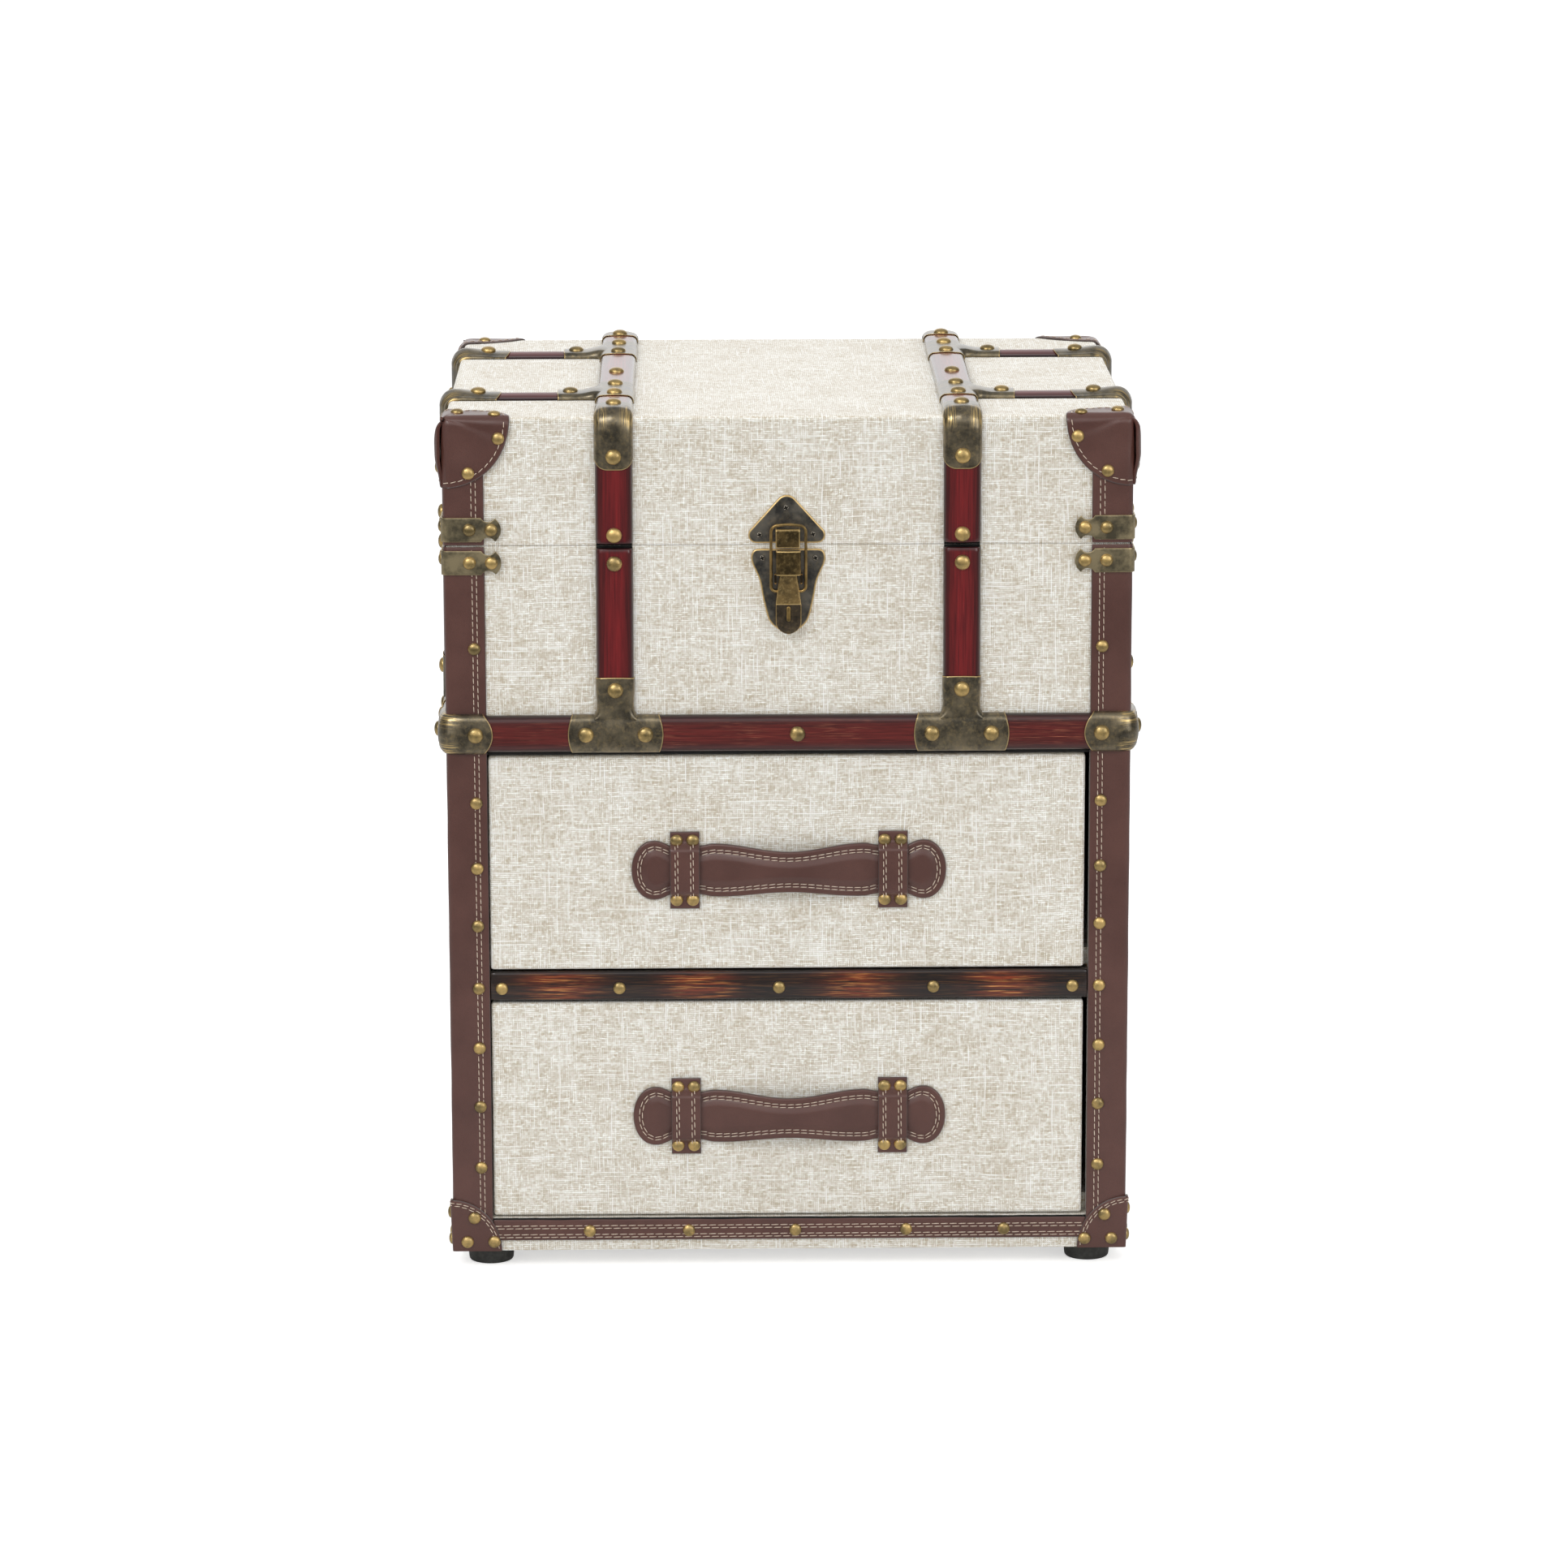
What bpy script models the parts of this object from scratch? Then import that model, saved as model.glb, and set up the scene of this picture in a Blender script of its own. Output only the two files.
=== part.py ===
"""A trunk with two drawers under a lift-up lid.

Linen-covered boards make the case and the lid. Wooden slats, leather edges and
antique brass caps are nailed over them. The lid turns on two rear hinges, the
drawers slide out of the front, and a draw latch closes the lid.

Metres, +Z up. The front faces -Y and the feet stand on Z = 0.
"""

import math

import bmesh
import bpy
from mathutils import Matrix, Vector

# Gaps between pieces
CLEARANCE = 0.0003
RUNNING_GAP = 0.0005
SEAM_GAP = 0.0006

# Case of linen-covered boards
CASE_WIDTH = 0.464
CASE_DEPTH = 0.376
BOARD = 0.009
CORNER_SOFTENING = 0.0015

# Heights of the case, from the floor up
FOOT_HEIGHT = 0.0125
BASE_HEIGHT = 0.0238
LOWER_OPENING_HEIGHT = 0.1557
DIVIDER_HEIGHT = 0.0205
UPPER_OPENING_HEIGHT = 0.1530
CHEST_HEIGHT = 0.1445
LID_HEIGHT = 0.0874

# Feet
FOOT_RADIUS = 0.016
FOOT_INSET_SIDE = 0.0235
FOOT_INSET_FRONT = 0.0240

# Front frame of the case
STILE_WIDTH = 0.0165
STILE_THICKNESS = 0.012
RUNNER_HEIGHT = 0.012
RUNNER_LEDGE = 0.010
GUIDE_HEIGHT = 0.012
DIVIDER_PROUD = 0.0015

# Drawers
DRAWER_FRONT_THICKNESS = 0.0115
DRAWER_FRONT_PROUD = 0.0005
DRAWER_SIDE_PLAY = 0.0045
DRAWER_DRIFT = 0.0012
DRAWER_PLAY_BELOW = 0.0013
DRAWER_PLAY_ABOVE = 0.0018
DRAWER_BOX_HEIGHT = 0.135
DRAWER_BOX_WALL = 0.009
DRAWER_BOX_BOTTOM = 0.006
DRAWER_REAR_ROOM = 0.0137
DRAWER_BOX_SIDE_ROOM = 0.0084

# Lid
LID_WALL = 0.009
LID_ROUNDING = 0.005

# Wooden slats
SLAT_WIDTH = 0.0254
SLAT_THICKNESS = 0.006
SLAT_FROM_SIDE = 0.114
SLAT_EDGE = 0.0018
SLAT_BEND = 0.004
CROSS_SPACING = 0.200
CROSS_OVERLAP = 0.004
CROSS_SINK = 0.0002
LID_SLAT_REAR_DROP = 0.040
SLAT_END_GAP = 0.0015
BELT_HEIGHT = 0.0255
BELT_RISE = 0.0020

# Leather
LEATHER = 0.0017
EDGE_LEATHER_WIDTH = 0.028
EDGE_LEATHER_ROUNDING = 0.0025
BASE_STRIP_HEIGHT = 0.0155
BASE_STRIP_DROP = 0.0008
BASE_CORNER_WIDTH = 0.037
BASE_CORNER_HEIGHT = 0.0375
LID_CORNER_WIDTH = 0.046
LID_CORNER_HEIGHT = 0.049
LID_CORNER_DEPTH = 0.042
LID_CORNER_THICKNESS = 0.0032
LID_CORNER_ROUNDING = 0.042
LID_CORNER_SOFTENING = 0.00256

# Antique brass sheet
SHEET = 0.0013
CAP_LIP = 0.0014
CORNER_CAP_LEG = 0.0365
CORNER_CAP_ROUNDING = 0.008
T_CAP_WIDTH = 0.065
T_CAP_STEM = 0.027
T_CAP_END_BULGE = 0.002
SLAT_CAP_DROP = 0.035
SLAT_CAP_TOP = 0.040
STRAP_HEIGHT = 0.0165
STRAP_LEG = 0.041
STRAP_FROM_SEAM = 0.0028
STRAP_NOTCH_RADIUS = 0.0053
STRAP_NOTCH_DEPTH = 0.0030
STRAP_NOTCH_FROM_END = 0.0088
STRAP_END_BULGE = 0.0042

# Domed nails
NAIL_RADIUS = 0.0055
NAIL_HEIGHT = 0.0026
NAIL_SINK = 0.0008
NAIL_FROM_CORNER = 0.0265
T_BAR_NAIL = 0.0202
T_STEM_NAIL = 0.0178
JOINT_NAIL = 0.018
CROSS_NAIL_FROM_SLAT = 0.028
CROSS_NAIL_FROM_SIDE = 0.020
REAR_NAIL_INSET = 0.0185
CAP_TOP_NAIL = 0.022
CAP_END_NAIL = 0.0094

# Rear hinges
HINGE_WIDTH = 0.050
HINGE_LEAF = 0.030
HINGE_LEAF_THICKNESS = 0.0015
KNUCKLE_RADIUS = 0.0032
KNUCKLE_MIDDLE = 0.0175
HINGE_PIN_RADIUS = 0.0013
HINGE_LEAF_FROM_AXIS = 0.0036

# Draw latch
CLASP_SHEET = 0.0012
CLASP_WIDTH = 0.0504
CLASP_LENGTH = 0.0588
CLASP_DROP = 0.0025
# The plate's corners, as shares of its half width and of its length
CLASP_CORNER_SHARE = ((0.20, 0.0), (0.54, 0.14), (0.72, 0.50), (1.0, 0.84), (0.98, 1.0))
CLASP_CORNER_RADIUS = (0.003, 0.006, 0.008, 0.006, 0.005)
HOOK_PLATE_HEIGHT = 0.0330
HOOK_WIDTH = 0.0176
HOOK_REACH = 0.0070
HOOK_HEIGHT = 0.0124
HOOK_SHEET = 0.0012
LEVER_WIDTH = 0.0168
LEVER_SHEET = 0.0012
LEVER_PIVOT_OUT = 0.0060
LEVER_PIVOT_DROP = 0.0045
LEVER_HEAD_RISE = 0.0042
LEVER_HEAD_OUT = 0.0032
LEVER_HEAD_LENGTH = 0.0165
LEVER_RAMP_LENGTH = 0.0200
LEVER_TAB_LENGTH = 0.0205
LEVER_RECESS = 0.0028
LEVER_RECESS_HALF = 0.0069
LEVER_KNEE_IN = 0.0004
LEVER_TIP_IN = 0.0048
LEVER_TIP_HALF = 0.0038
LEVER_TIP_TAPER = 0.0051
LEVER_PIN_RADIUS = 0.0012
EAR_THICKNESS = 0.0010
EAR_RADIUS = 0.0029
BAIL_WIRE = 0.0010
BAIL_WIDTH = 0.0240
BAIL_LENGTH = 0.0465
BAIL_BELOW_PIVOT = 0.0240
BAIL_PIVOT_OUT = 0.0038
BAIL_CORNER = 0.004
STAPLE_THICKNESS = 0.0020
STAPLE_HEIGHT = 0.0100
STAPLE_OUT = 0.0095
STAPLE_WALL = 0.0016
STAPLE_SLOT_PLAY = 0.0012
STAPLE_FROM_TIP = 0.0120

# Leather handles of the drawers
HANDLE_LENGTH = 0.216
HANDLE_LOBE_HEIGHT = 0.043
HANDLE_WAIST_HEIGHT = 0.029
HANDLE_EDGE = 0.0025
HANDLE_CROWN = 0.0055
HANDLE_CROWN_SHARE = 0.72
HANDLE_PINCH_HEIGHT = 0.0344
HANDLE_SHOULDER_HEIGHT = 0.0383
HANDLE_LOBE_SWELL = 0.4
HANDLE_BOW = 0.008
HANDLE_DROP = 0.0045
KEEPER_SPACING = 0.143
KEEPER_WIDTH = 0.020
KEEPER_HEIGHT = 0.057
KEEPER_THICKNESS = 0.0022
KEEPER_SHOULDER = 0.0085

# Places worked out from the sizes above
HALF_WIDTH = CASE_WIDTH / 2
HALF_DEPTH = CASE_DEPTH / 2
BASE_TOP = FOOT_HEIGHT + BASE_HEIGHT
DIVIDER_BOTTOM = BASE_TOP + LOWER_OPENING_HEIGHT
DIVIDER_TOP = DIVIDER_BOTTOM + DIVIDER_HEIGHT
OPENING_TOP = DIVIDER_TOP + UPPER_OPENING_HEIGHT
SEAM = OPENING_TOP + CHEST_HEIGHT
LID_BOTTOM = SEAM + SEAM_GAP
LID_TOP = LID_BOTTOM + LID_HEIGHT
HALF_INSIDE = HALF_WIDTH - BOARD
PANEL_END = HALF_INSIDE - CLEARANCE
REAR_INSIDE = HALF_DEPTH - BOARD
STILE_INNER = HALF_INSIDE - STILE_WIDTH
STILE_BACK = -HALF_DEPTH + STILE_THICKNESS
LEATHER_OUT = CLEARANCE + LEATHER
EDGE_LEATHER_END = HALF_WIDTH + LEATHER_OUT - EDGE_LEATHER_WIDTH
DIVIDER_HALF = min(STILE_INNER, EDGE_LEATHER_END) - CLEARANCE
SLAT_OUT = CLEARANCE + SLAT_THICKNESS
CAP_OUT = SLAT_OUT + CLEARANCE + SHEET
SLAT_X = HALF_WIDTH - SLAT_FROM_SIDE
CROSS_Y = CROSS_SPACING / 2
BELT_BOTTOM = OPENING_TOP + BELT_RISE
BELT_TOP = BELT_BOTTOM + BELT_HEIGHT
BELT_MIDDLE = (BELT_BOTTOM + BELT_TOP) / 2
DRAWER_HALF = STILE_INNER - DRAWER_SIDE_PLAY / 2
BOX_HALF = STILE_INNER - DRAWER_BOX_SIDE_ROOM
GUIDE_INNER = BOX_HALF + RUNNING_GAP
DRAWER_FACE = -HALF_DEPTH - DRAWER_FRONT_PROUD
DRAWER_FRONT_BACK = DRAWER_FACE + DRAWER_FRONT_THICKNESS
BOX_FRONT = DRAWER_FRONT_BACK + CLEARANCE
BOX_REAR = REAR_INSIDE - DRAWER_REAR_ROOM
HINGE_Y = HALF_DEPTH + CLEARANCE + KNUCKLE_RADIUS
HINGE_Z = SEAM + SEAM_GAP / 2
CLASP_FACE = -HALF_DEPTH - CLEARANCE - CLASP_SHEET
CLASP_TOP = SEAM - CLASP_DROP
PIVOT_Y = CLASP_FACE - LEVER_PIVOT_OUT
PIVOT_Z = CLASP_TOP - LEVER_PIVOT_DROP
BAIL_Y = CLASP_FACE - BAIL_PIVOT_OUT
BAIL_Z = PIVOT_Z - BAIL_BELOW_PIVOT
REAR_REACH = HALF_DEPTH + CAP_OUT + NAIL_HEIGHT
HANDLE_REACH = -DRAWER_FACE + CLEARANCE + HANDLE_BOW + HANDLE_CROWN
BODY_SHIFT = (max(HANDLE_REACH, REAR_REACH) - REAR_REACH) / 2

# Colours, roughness and metal of each finish
FINISHES = {
    "linen": ((0.74, 0.69, 0.61), 0.95, 0.0),
    "bare_board": ((0.48, 0.36, 0.24), 0.80, 0.0),
    "red_lacquer": ((0.21, 0.016, 0.018), 0.25, 0.0),
    "burnished_slat": ((0.10, 0.025, 0.012), 0.30, 0.0),
    "brown_leather": ((0.10, 0.042, 0.032), 0.50, 0.0),
    "antique_brass": ((0.12, 0.095, 0.055), 0.42, 1.0),
    "clasp_bronze": ((0.09, 0.070, 0.045), 0.35, 1.0),
    "black_foot": ((0.02, 0.02, 0.02), 0.60, 0.0),
}


def clear_scene():
    for old in list(bpy.data.objects):
        bpy.data.objects.remove(old, do_unlink=True)


def solid_from(bm):
    """Put a closed mesh into the scene as an unnamed working solid."""
    bmesh.ops.remove_doubles(bm, verts=bm.verts, dist=1e-7)
    bmesh.ops.recalc_face_normals(bm, faces=bm.faces)
    mesh = bpy.data.meshes.new("solid")
    bm.to_mesh(mesh)
    bm.free()
    solid = bpy.data.objects.new("solid", mesh)
    bpy.context.collection.objects.link(solid)
    return solid


def combine(solid, operation, *tools):
    """Join or cut a solid with others by exact Booleans, and drop the others."""
    for tool in tools:
        step = solid.modifiers.new(operation.title(), "BOOLEAN")
        step.object = tool
        step.operation = operation
        step.solver = "EXACT"
    bpy.context.view_layer.update()
    graph = bpy.context.evaluated_depsgraph_get()
    joined = bpy.data.meshes.new_from_object(solid.evaluated_get(graph))
    solid.modifiers.clear()
    solid.data = joined
    for tool in tools:
        bpy.data.objects.remove(tool, do_unlink=True)
    return solid


def join(solid, *others):
    return combine(solid, "UNION", *others)


def cut(solid, *tools):
    return combine(solid, "DIFFERENCE", *tools)


def add_rings(bm, rings, closed=False):
    """Skin a list of equal rings of points, with a flat cap at each open end."""
    loops = [[bm.verts.new(point) for point in ring] for ring in rings]
    count = len(loops[0])
    last = len(loops) if closed else len(loops) - 1
    for row in range(last):
        here, there = loops[row], loops[(row + 1) % len(loops)]
        for i in range(count):
            j = (i + 1) % count
            bm.faces.new((here[i], here[j], there[j], there[i]))
    if not closed:
        bm.faces.new(loops[0])
        bm.faces.new(loops[-1][::-1])


def rings_solid(rings, closed=False):
    bm = bmesh.new()
    add_rings(bm, rings, closed)
    return solid_from(bm)


def block(low, high, softening=0.0):
    """A box between two corners, its edges rounded by a small bevel if asked."""
    bm = bmesh.new()
    bmesh.ops.create_cube(bm, size=1.0)
    centre = (Vector(low) + Vector(high)) / 2
    size = Vector(high) - Vector(low)
    for vert in bm.verts:
        vert.co = Vector([centre[i] + vert.co[i] * size[i] for i in range(3)])
    if softening:
        bmesh.ops.bevel(bm, geom=bm.edges, offset=softening, segments=2, profile=0.5,
                        affect="EDGES")
    return solid_from(bm)


def corner_block(side, end, x, y, z, softening=0.0):
    """A box given by distances from the middle, in the quarter named by its signs."""
    xs = sorted((side * x[0], side * x[1]))
    ys = sorted((end * y[0], end * y[1]))
    return block((xs[0], ys[0], z[0]), (xs[1], ys[1], z[1]), softening)


def prism(outline, axis, low, high):
    """An outline extruded along X, Y or Z. Its two values are the other two axes."""
    place = {
        "X": lambda a, b, t: (t, a, b),
        "Y": lambda a, b, t: (a, t, b),
        "Z": lambda a, b, t: (a, b, t),
    }[axis]
    return rings_solid([[place(a, b, t) for a, b in outline] for t in (low, high)])


def rod(axis, centre, radius, low, high, sides=12):
    """A round bar along X, Y or Z about a centre given by the other two axes."""
    outline = []
    for i in range(sides):
        angle = math.tau * (i + 0.5) / sides
        outline.append((centre[0] + radius * math.cos(angle), centre[1] + radius * math.sin(angle)))
    return prism(outline, axis, low, high)


def rounded(corners, steps=4):
    """An outline whose corners (a, b, radius) are arcs that touch both edges."""
    outline = []
    for i, (a, b, radius) in enumerate(corners):
        here = Vector((a, b))
        before = (Vector(corners[i - 1][:2]) - here).normalized()
        after = (Vector(corners[(i + 1) % len(corners)][:2]) - here).normalized()
        if radius == 0:
            outline.append((a, b))
            continue
        half = before.angle(after) / 2
        centre = here + (before + after).normalized() * radius / math.sin(half)
        start = here + before * radius / math.tan(half) - centre
        finish = here + after * radius / math.tan(half) - centre
        turn = start.angle_signed(finish)
        for step in range(steps + 1):
            angle = -turn * step / steps
            spoke = Vector((start.x * math.cos(angle) - start.y * math.sin(angle),
                            start.x * math.sin(angle) + start.y * math.cos(angle)))
            outline.append(tuple(centre + spoke))
    return outline


def wrap_path(corners, bend, steps=4):
    """Stations of a strap that is wrapped round convex corners.

    Each station is a point of the strap's inner face and the direction away
    from what it lies on. The inner face turns on an arc of radius bend.
    """
    points = [Vector(corner) for corner in corners]
    runs = [(points[i + 1] - points[i]).normalized() for i in range(len(points) - 1)]
    middle = sum(points, Vector((0.0, 0.0))) / len(points)

    def outward(run, at):
        normal = Vector((run.y, -run.x))
        return normal if normal.dot(at - middle) > 0 else -normal

    normals = [outward(run, (points[i] + points[i + 1]) / 2) for i, run in enumerate(runs)]
    stations = [(points[0], normals[0])]
    for i in range(1, len(points) - 1):
        centre = points[i] - (normals[i - 1] + normals[i]) * bend
        for step in range(steps + 1):
            angle = math.pi / 2 * step / steps
            spoke = normals[i - 1] * math.cos(angle) + normals[i] * math.sin(angle)
            stations.append((centre + spoke * bend, spoke))
    stations.append((points[-1], normals[-1]))
    return stations


def strap(stations, across, section):
    """Carry a section of (sideways, outward) values along a wrapped path.

    across is "X" or "Y", the direction in which the strap is wide.
    """
    rings = []
    for point, normal in stations:
        ring = []
        for sideways, outward in section:
            spot = point + normal * outward
            ring.append((sideways, spot.x, spot.y) if across == "X" else (spot.x, sideways, spot.y))
        rings.append(ring)
    return rings_solid(rings)


def slat_section(centre, width, thickness, edge):
    """A slat's end view: flat back, and both outer edges eased."""
    low, high = centre - width / 2, centre + width / 2
    return [(low, 0.0), (low, thickness - edge), (low + edge, thickness),
            (high - edge, thickness), (high, thickness - edge), (high, 0.0)]


def nails(places, radius=NAIL_RADIUS, height=NAIL_HEIGHT, sides=10):
    """Domed nail heads as one tool: each place is a point and the way it faces."""
    bm = bmesh.new()
    for point, facing in places:
        up = Vector(facing)
        turn = up.to_track_quat("Z", "Y")
        rings = []
        for level, share in ((-NAIL_SINK, 1.0), (height * 0.35, 0.94), (height * 0.8, 0.6)):
            ring = []
            for i in range(sides):
                angle = math.tau * i / sides
                spot = Vector((radius * share * math.cos(angle),
                               radius * share * math.sin(angle), level))
                ring.append(Vector(point) + turn @ spot)
            rings.append(ring)
        loops = [[bm.verts.new(spot) for spot in ring] for ring in rings]
        tip = bm.verts.new(Vector(point) + up * height)
        bm.faces.new(loops[0][::-1])
        for low, high in zip(loops, loops[1:]):
            for i in range(sides):
                j = (i + 1) % sides
                bm.faces.new((low[i], low[j], high[j], high[i]))
        for i in range(sides):
            bm.faces.new((loops[-1][i], loops[-1][(i + 1) % sides], tip))
    return solid_from(bm)


def material_for(name, finish):
    colour, roughness, metallic = FINISHES[finish]
    material = bpy.data.materials.new(name)
    material.use_nodes = True
    shader = material.node_tree.nodes["Principled BSDF"]
    shader.inputs["Base Color"].default_value = (*colour, 1.0)
    shader.inputs["Roughness"].default_value = roughness
    shader.inputs["Metallic"].default_value = metallic
    material.diffuse_color = (*colour, 1.0)
    return material


def pivot(name, parent, point):
    """An empty on a joint's axis. Its point is measured from the case's middle."""
    empty = bpy.data.objects.new(name, None)
    empty.empty_display_size = 0.05
    empty.parent = parent
    empty.location = Vector(point) - (pivot_point(parent) if parent else Vector((0, 0, 0)))
    bpy.context.collection.objects.link(empty)
    return empty


def pivot_point(empty):
    """Where an empty lies, measured from the case's middle at the floor."""
    point = Vector((0.0, 0.0, 0.0))
    while empty.parent:
        point += empty.location
        empty = empty.parent
    return point


def place(solid, name, finish, parent):
    """Name a finished solid, give it its material and hang it on its pivot."""
    solid.name = name
    solid.data.name = name
    solid.data.materials.clear()
    solid.data.materials.append(material_for(name, finish))
    for polygon in solid.data.polygons:
        polygon.material_index = 0
    solid.data.transform(Matrix.Translation(-pivot_point(parent)))
    solid.data.shade_smooth()
    solid.data.set_sharp_from_angle(angle=math.radians(32))
    solid.parent = parent
    return solid


def quarters():
    """Each corner's name with its side and end signs: left is -X, front is -Y."""
    for end_name, end in (("front", -1), ("back", 1)):
        for side_name, side in (("left", -1), ("right", 1)):
            yield f"{end_name}_{side_name}", side, end


def sides():
    return (("left", -1), ("right", 1))


def build_case(trunk):
    """Boards of the case: base, sides, back, chest front, chest floor and shelf."""
    base = block((-PANEL_END, -HALF_DEPTH, FOOT_HEIGHT),
                 (PANEL_END, REAR_INSIDE - CLEARANCE, FOOT_HEIGHT + BOARD))
    rail = block((-PANEL_END, -HALF_DEPTH, FOOT_HEIGHT + BOARD / 2), (PANEL_END, STILE_BACK, BASE_TOP))
    place(join(base, rail), "base_board", "bare_board", trunk)
    for name, side in sides():
        panel = corner_block(side, 1, (HALF_INSIDE, HALF_WIDTH), (-HALF_DEPTH, HALF_DEPTH),
                             (FOOT_HEIGHT, SEAM))
        into_board = HALF_INSIDE + BOARD / 3
        stile = corner_block(side, 1, (STILE_INNER, into_board), (-HALF_DEPTH + CLEARANCE, STILE_BACK),
                             (BASE_TOP + CLEARANCE, OPENING_TOP - CLEARANCE))
        behind = (STILE_BACK + CLEARANCE, REAR_INSIDE - CLEARANCE)
        ledge = BOX_HALF - RUNNER_LEDGE
        runner = prism([(side * a, b) for a, b in (
            (ledge, BASE_TOP - RUNNER_HEIGHT), (into_board, BASE_TOP - RUNNER_HEIGHT),
            (into_board, BASE_TOP + GUIDE_HEIGHT), (GUIDE_INNER, BASE_TOP + GUIDE_HEIGHT),
            (GUIDE_INNER, BASE_TOP), (ledge, BASE_TOP))], "Y", *behind)
        guide = corner_block(side, 1, (GUIDE_INNER, into_board), behind,
                             (DIVIDER_TOP + CLEARANCE, DIVIDER_TOP + GUIDE_HEIGHT))
        place(join(panel, stile, runner, guide), f"side_panel_{name}", "linen", trunk)
    place(block((-PANEL_END, REAR_INSIDE, FOOT_HEIGHT), (PANEL_END, HALF_DEPTH, SEAM)),
          "back_panel", "linen", trunk)
    place(block((-PANEL_END, -HALF_DEPTH, OPENING_TOP), (PANEL_END, -HALF_DEPTH + BOARD, SEAM)),
          "chest_front_panel", "linen", trunk)
    floor_low = OPENING_TOP + CLEARANCE
    place(block((-PANEL_END, -REAR_INSIDE + CLEARANCE, floor_low),
                (PANEL_END, REAR_INSIDE - CLEARANCE, floor_low + BOARD)),
          "chest_floor", "bare_board", trunk)
    place(block((-PANEL_END, STILE_BACK + CLEARANCE, DIVIDER_TOP - BOARD),
                (PANEL_END, REAR_INSIDE - CLEARANCE, DIVIDER_TOP)),
          "drawer_shelf", "bare_board", trunk)
    divider = block((-DIVIDER_HALF, -HALF_DEPTH - DIVIDER_PROUD, DIVIDER_BOTTOM),
                    (DIVIDER_HALF, STILE_BACK, DIVIDER_TOP), CORNER_SOFTENING)
    place(divider, "divider_slat", "burnished_slat", trunk)


def build_feet(trunk):
    """Four turned feet with an eased lower edge."""
    top = FOOT_HEIGHT - CLEARANCE
    profile = [(FOOT_RADIUS * 0.90, 0.0), (FOOT_RADIUS * 0.97, FOOT_HEIGHT * 0.14), (FOOT_RADIUS, top)]
    for name, side, end in quarters():
        x = side * (HALF_WIDTH - FOOT_INSET_SIDE)
        y = end * (HALF_DEPTH - FOOT_INSET_FRONT)
        rings = []
        for radius, z in profile:
            rings.append([(x + radius * math.cos(math.tau * i / 24),
                           y + radius * math.sin(math.tau * i / 24), z) for i in range(24)])
        place(rings_solid(rings), f"foot_{name}", "black_foot", trunk)


def edge_wrap(side, end, low, high):
    """An angle of leather wrapped round one upright corner, its outer edge rounded."""
    inner_x, inner_y = HALF_WIDTH + CLEARANCE, HALF_DEPTH + CLEARANCE
    outer_x, outer_y = HALF_WIDTH + LEATHER_OUT, HALF_DEPTH + LEATHER_OUT
    end_x, end_y = outer_x - EDGE_LEATHER_WIDTH, outer_y - EDGE_LEATHER_WIDTH
    plan = rounded([(outer_x, outer_y, EDGE_LEATHER_ROUNDING), (outer_x, end_y, 0), (inner_x, end_y, 0),
                    (inner_x, inner_y, 0), (end_x, inner_y, 0), (end_x, outer_y, 0)])
    return prism([(side * a, end * b) for a, b in plan], "Z", low, high)


def build_edge_leathers(trunk):
    """Leather on the four upright edges of the case."""
    for name, side, end in quarters():
        leather = edge_wrap(side, end, FOOT_HEIGHT, SEAM - CLEARANCE)
        place(leather, f"edge_leather_{name}", "brown_leather", trunk)


def build_base_leathers(trunk):
    """Rounded leather corners at the foot of the case and the strip between them."""
    inner = LEATHER_OUT + CLEARANCE
    outer = inner + LEATHER
    reach = BASE_CORNER_WIDTH
    for name, side, end in quarters():
        corner = corner_block(side, end, (HALF_WIDTH + outer - reach, HALF_WIDTH + outer),
                              (HALF_DEPTH + outer - reach, HALF_DEPTH + outer),
                              (FOOT_HEIGHT, FOOT_HEIGHT + BASE_CORNER_HEIGHT))
        arc = []
        for i in range(9):
            angle = math.pi / 2 * i / 8
            arc.append((reach * math.cos(angle), BASE_CORNER_HEIGHT * math.sin(angle)))
        waste = [(reach * 1.2, 0.0)] + arc + [(0.0, BASE_CORNER_HEIGHT * 1.2),
                                              (reach * 1.2, BASE_CORNER_HEIGHT * 1.2)]
        front_waste = prism([(side * (HALF_WIDTH + outer - a), FOOT_HEIGHT + b) for a, b in waste], "Y",
                            *sorted((end * HALF_DEPTH, end * (HALF_DEPTH + outer * 2))))
        side_waste = prism([(end * (HALF_DEPTH + outer - a), FOOT_HEIGHT + b) for a, b in waste], "X",
                           *sorted((side * HALF_WIDTH, side * (HALF_WIDTH + outer * 2))))
        room = corner_block(side, end, (0, HALF_WIDTH + inner), (0, HALF_DEPTH + inner),
                            (0, SEAM))
        place(cut(corner, front_waste, side_waste, room), f"base_corner_leather_{name}",
              "brown_leather", trunk)
    inside = EDGE_LEATHER_END - CLEARANCE
    strip_top = BASE_TOP - BASE_STRIP_DROP
    strip = block((-inside, -HALF_DEPTH - LEATHER_OUT, strip_top - BASE_STRIP_HEIGHT),
                  (inside, -HALF_DEPTH - CLEARANCE, strip_top))
    place(strip, "base_strip_leather", "brown_leather", trunk)


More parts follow.
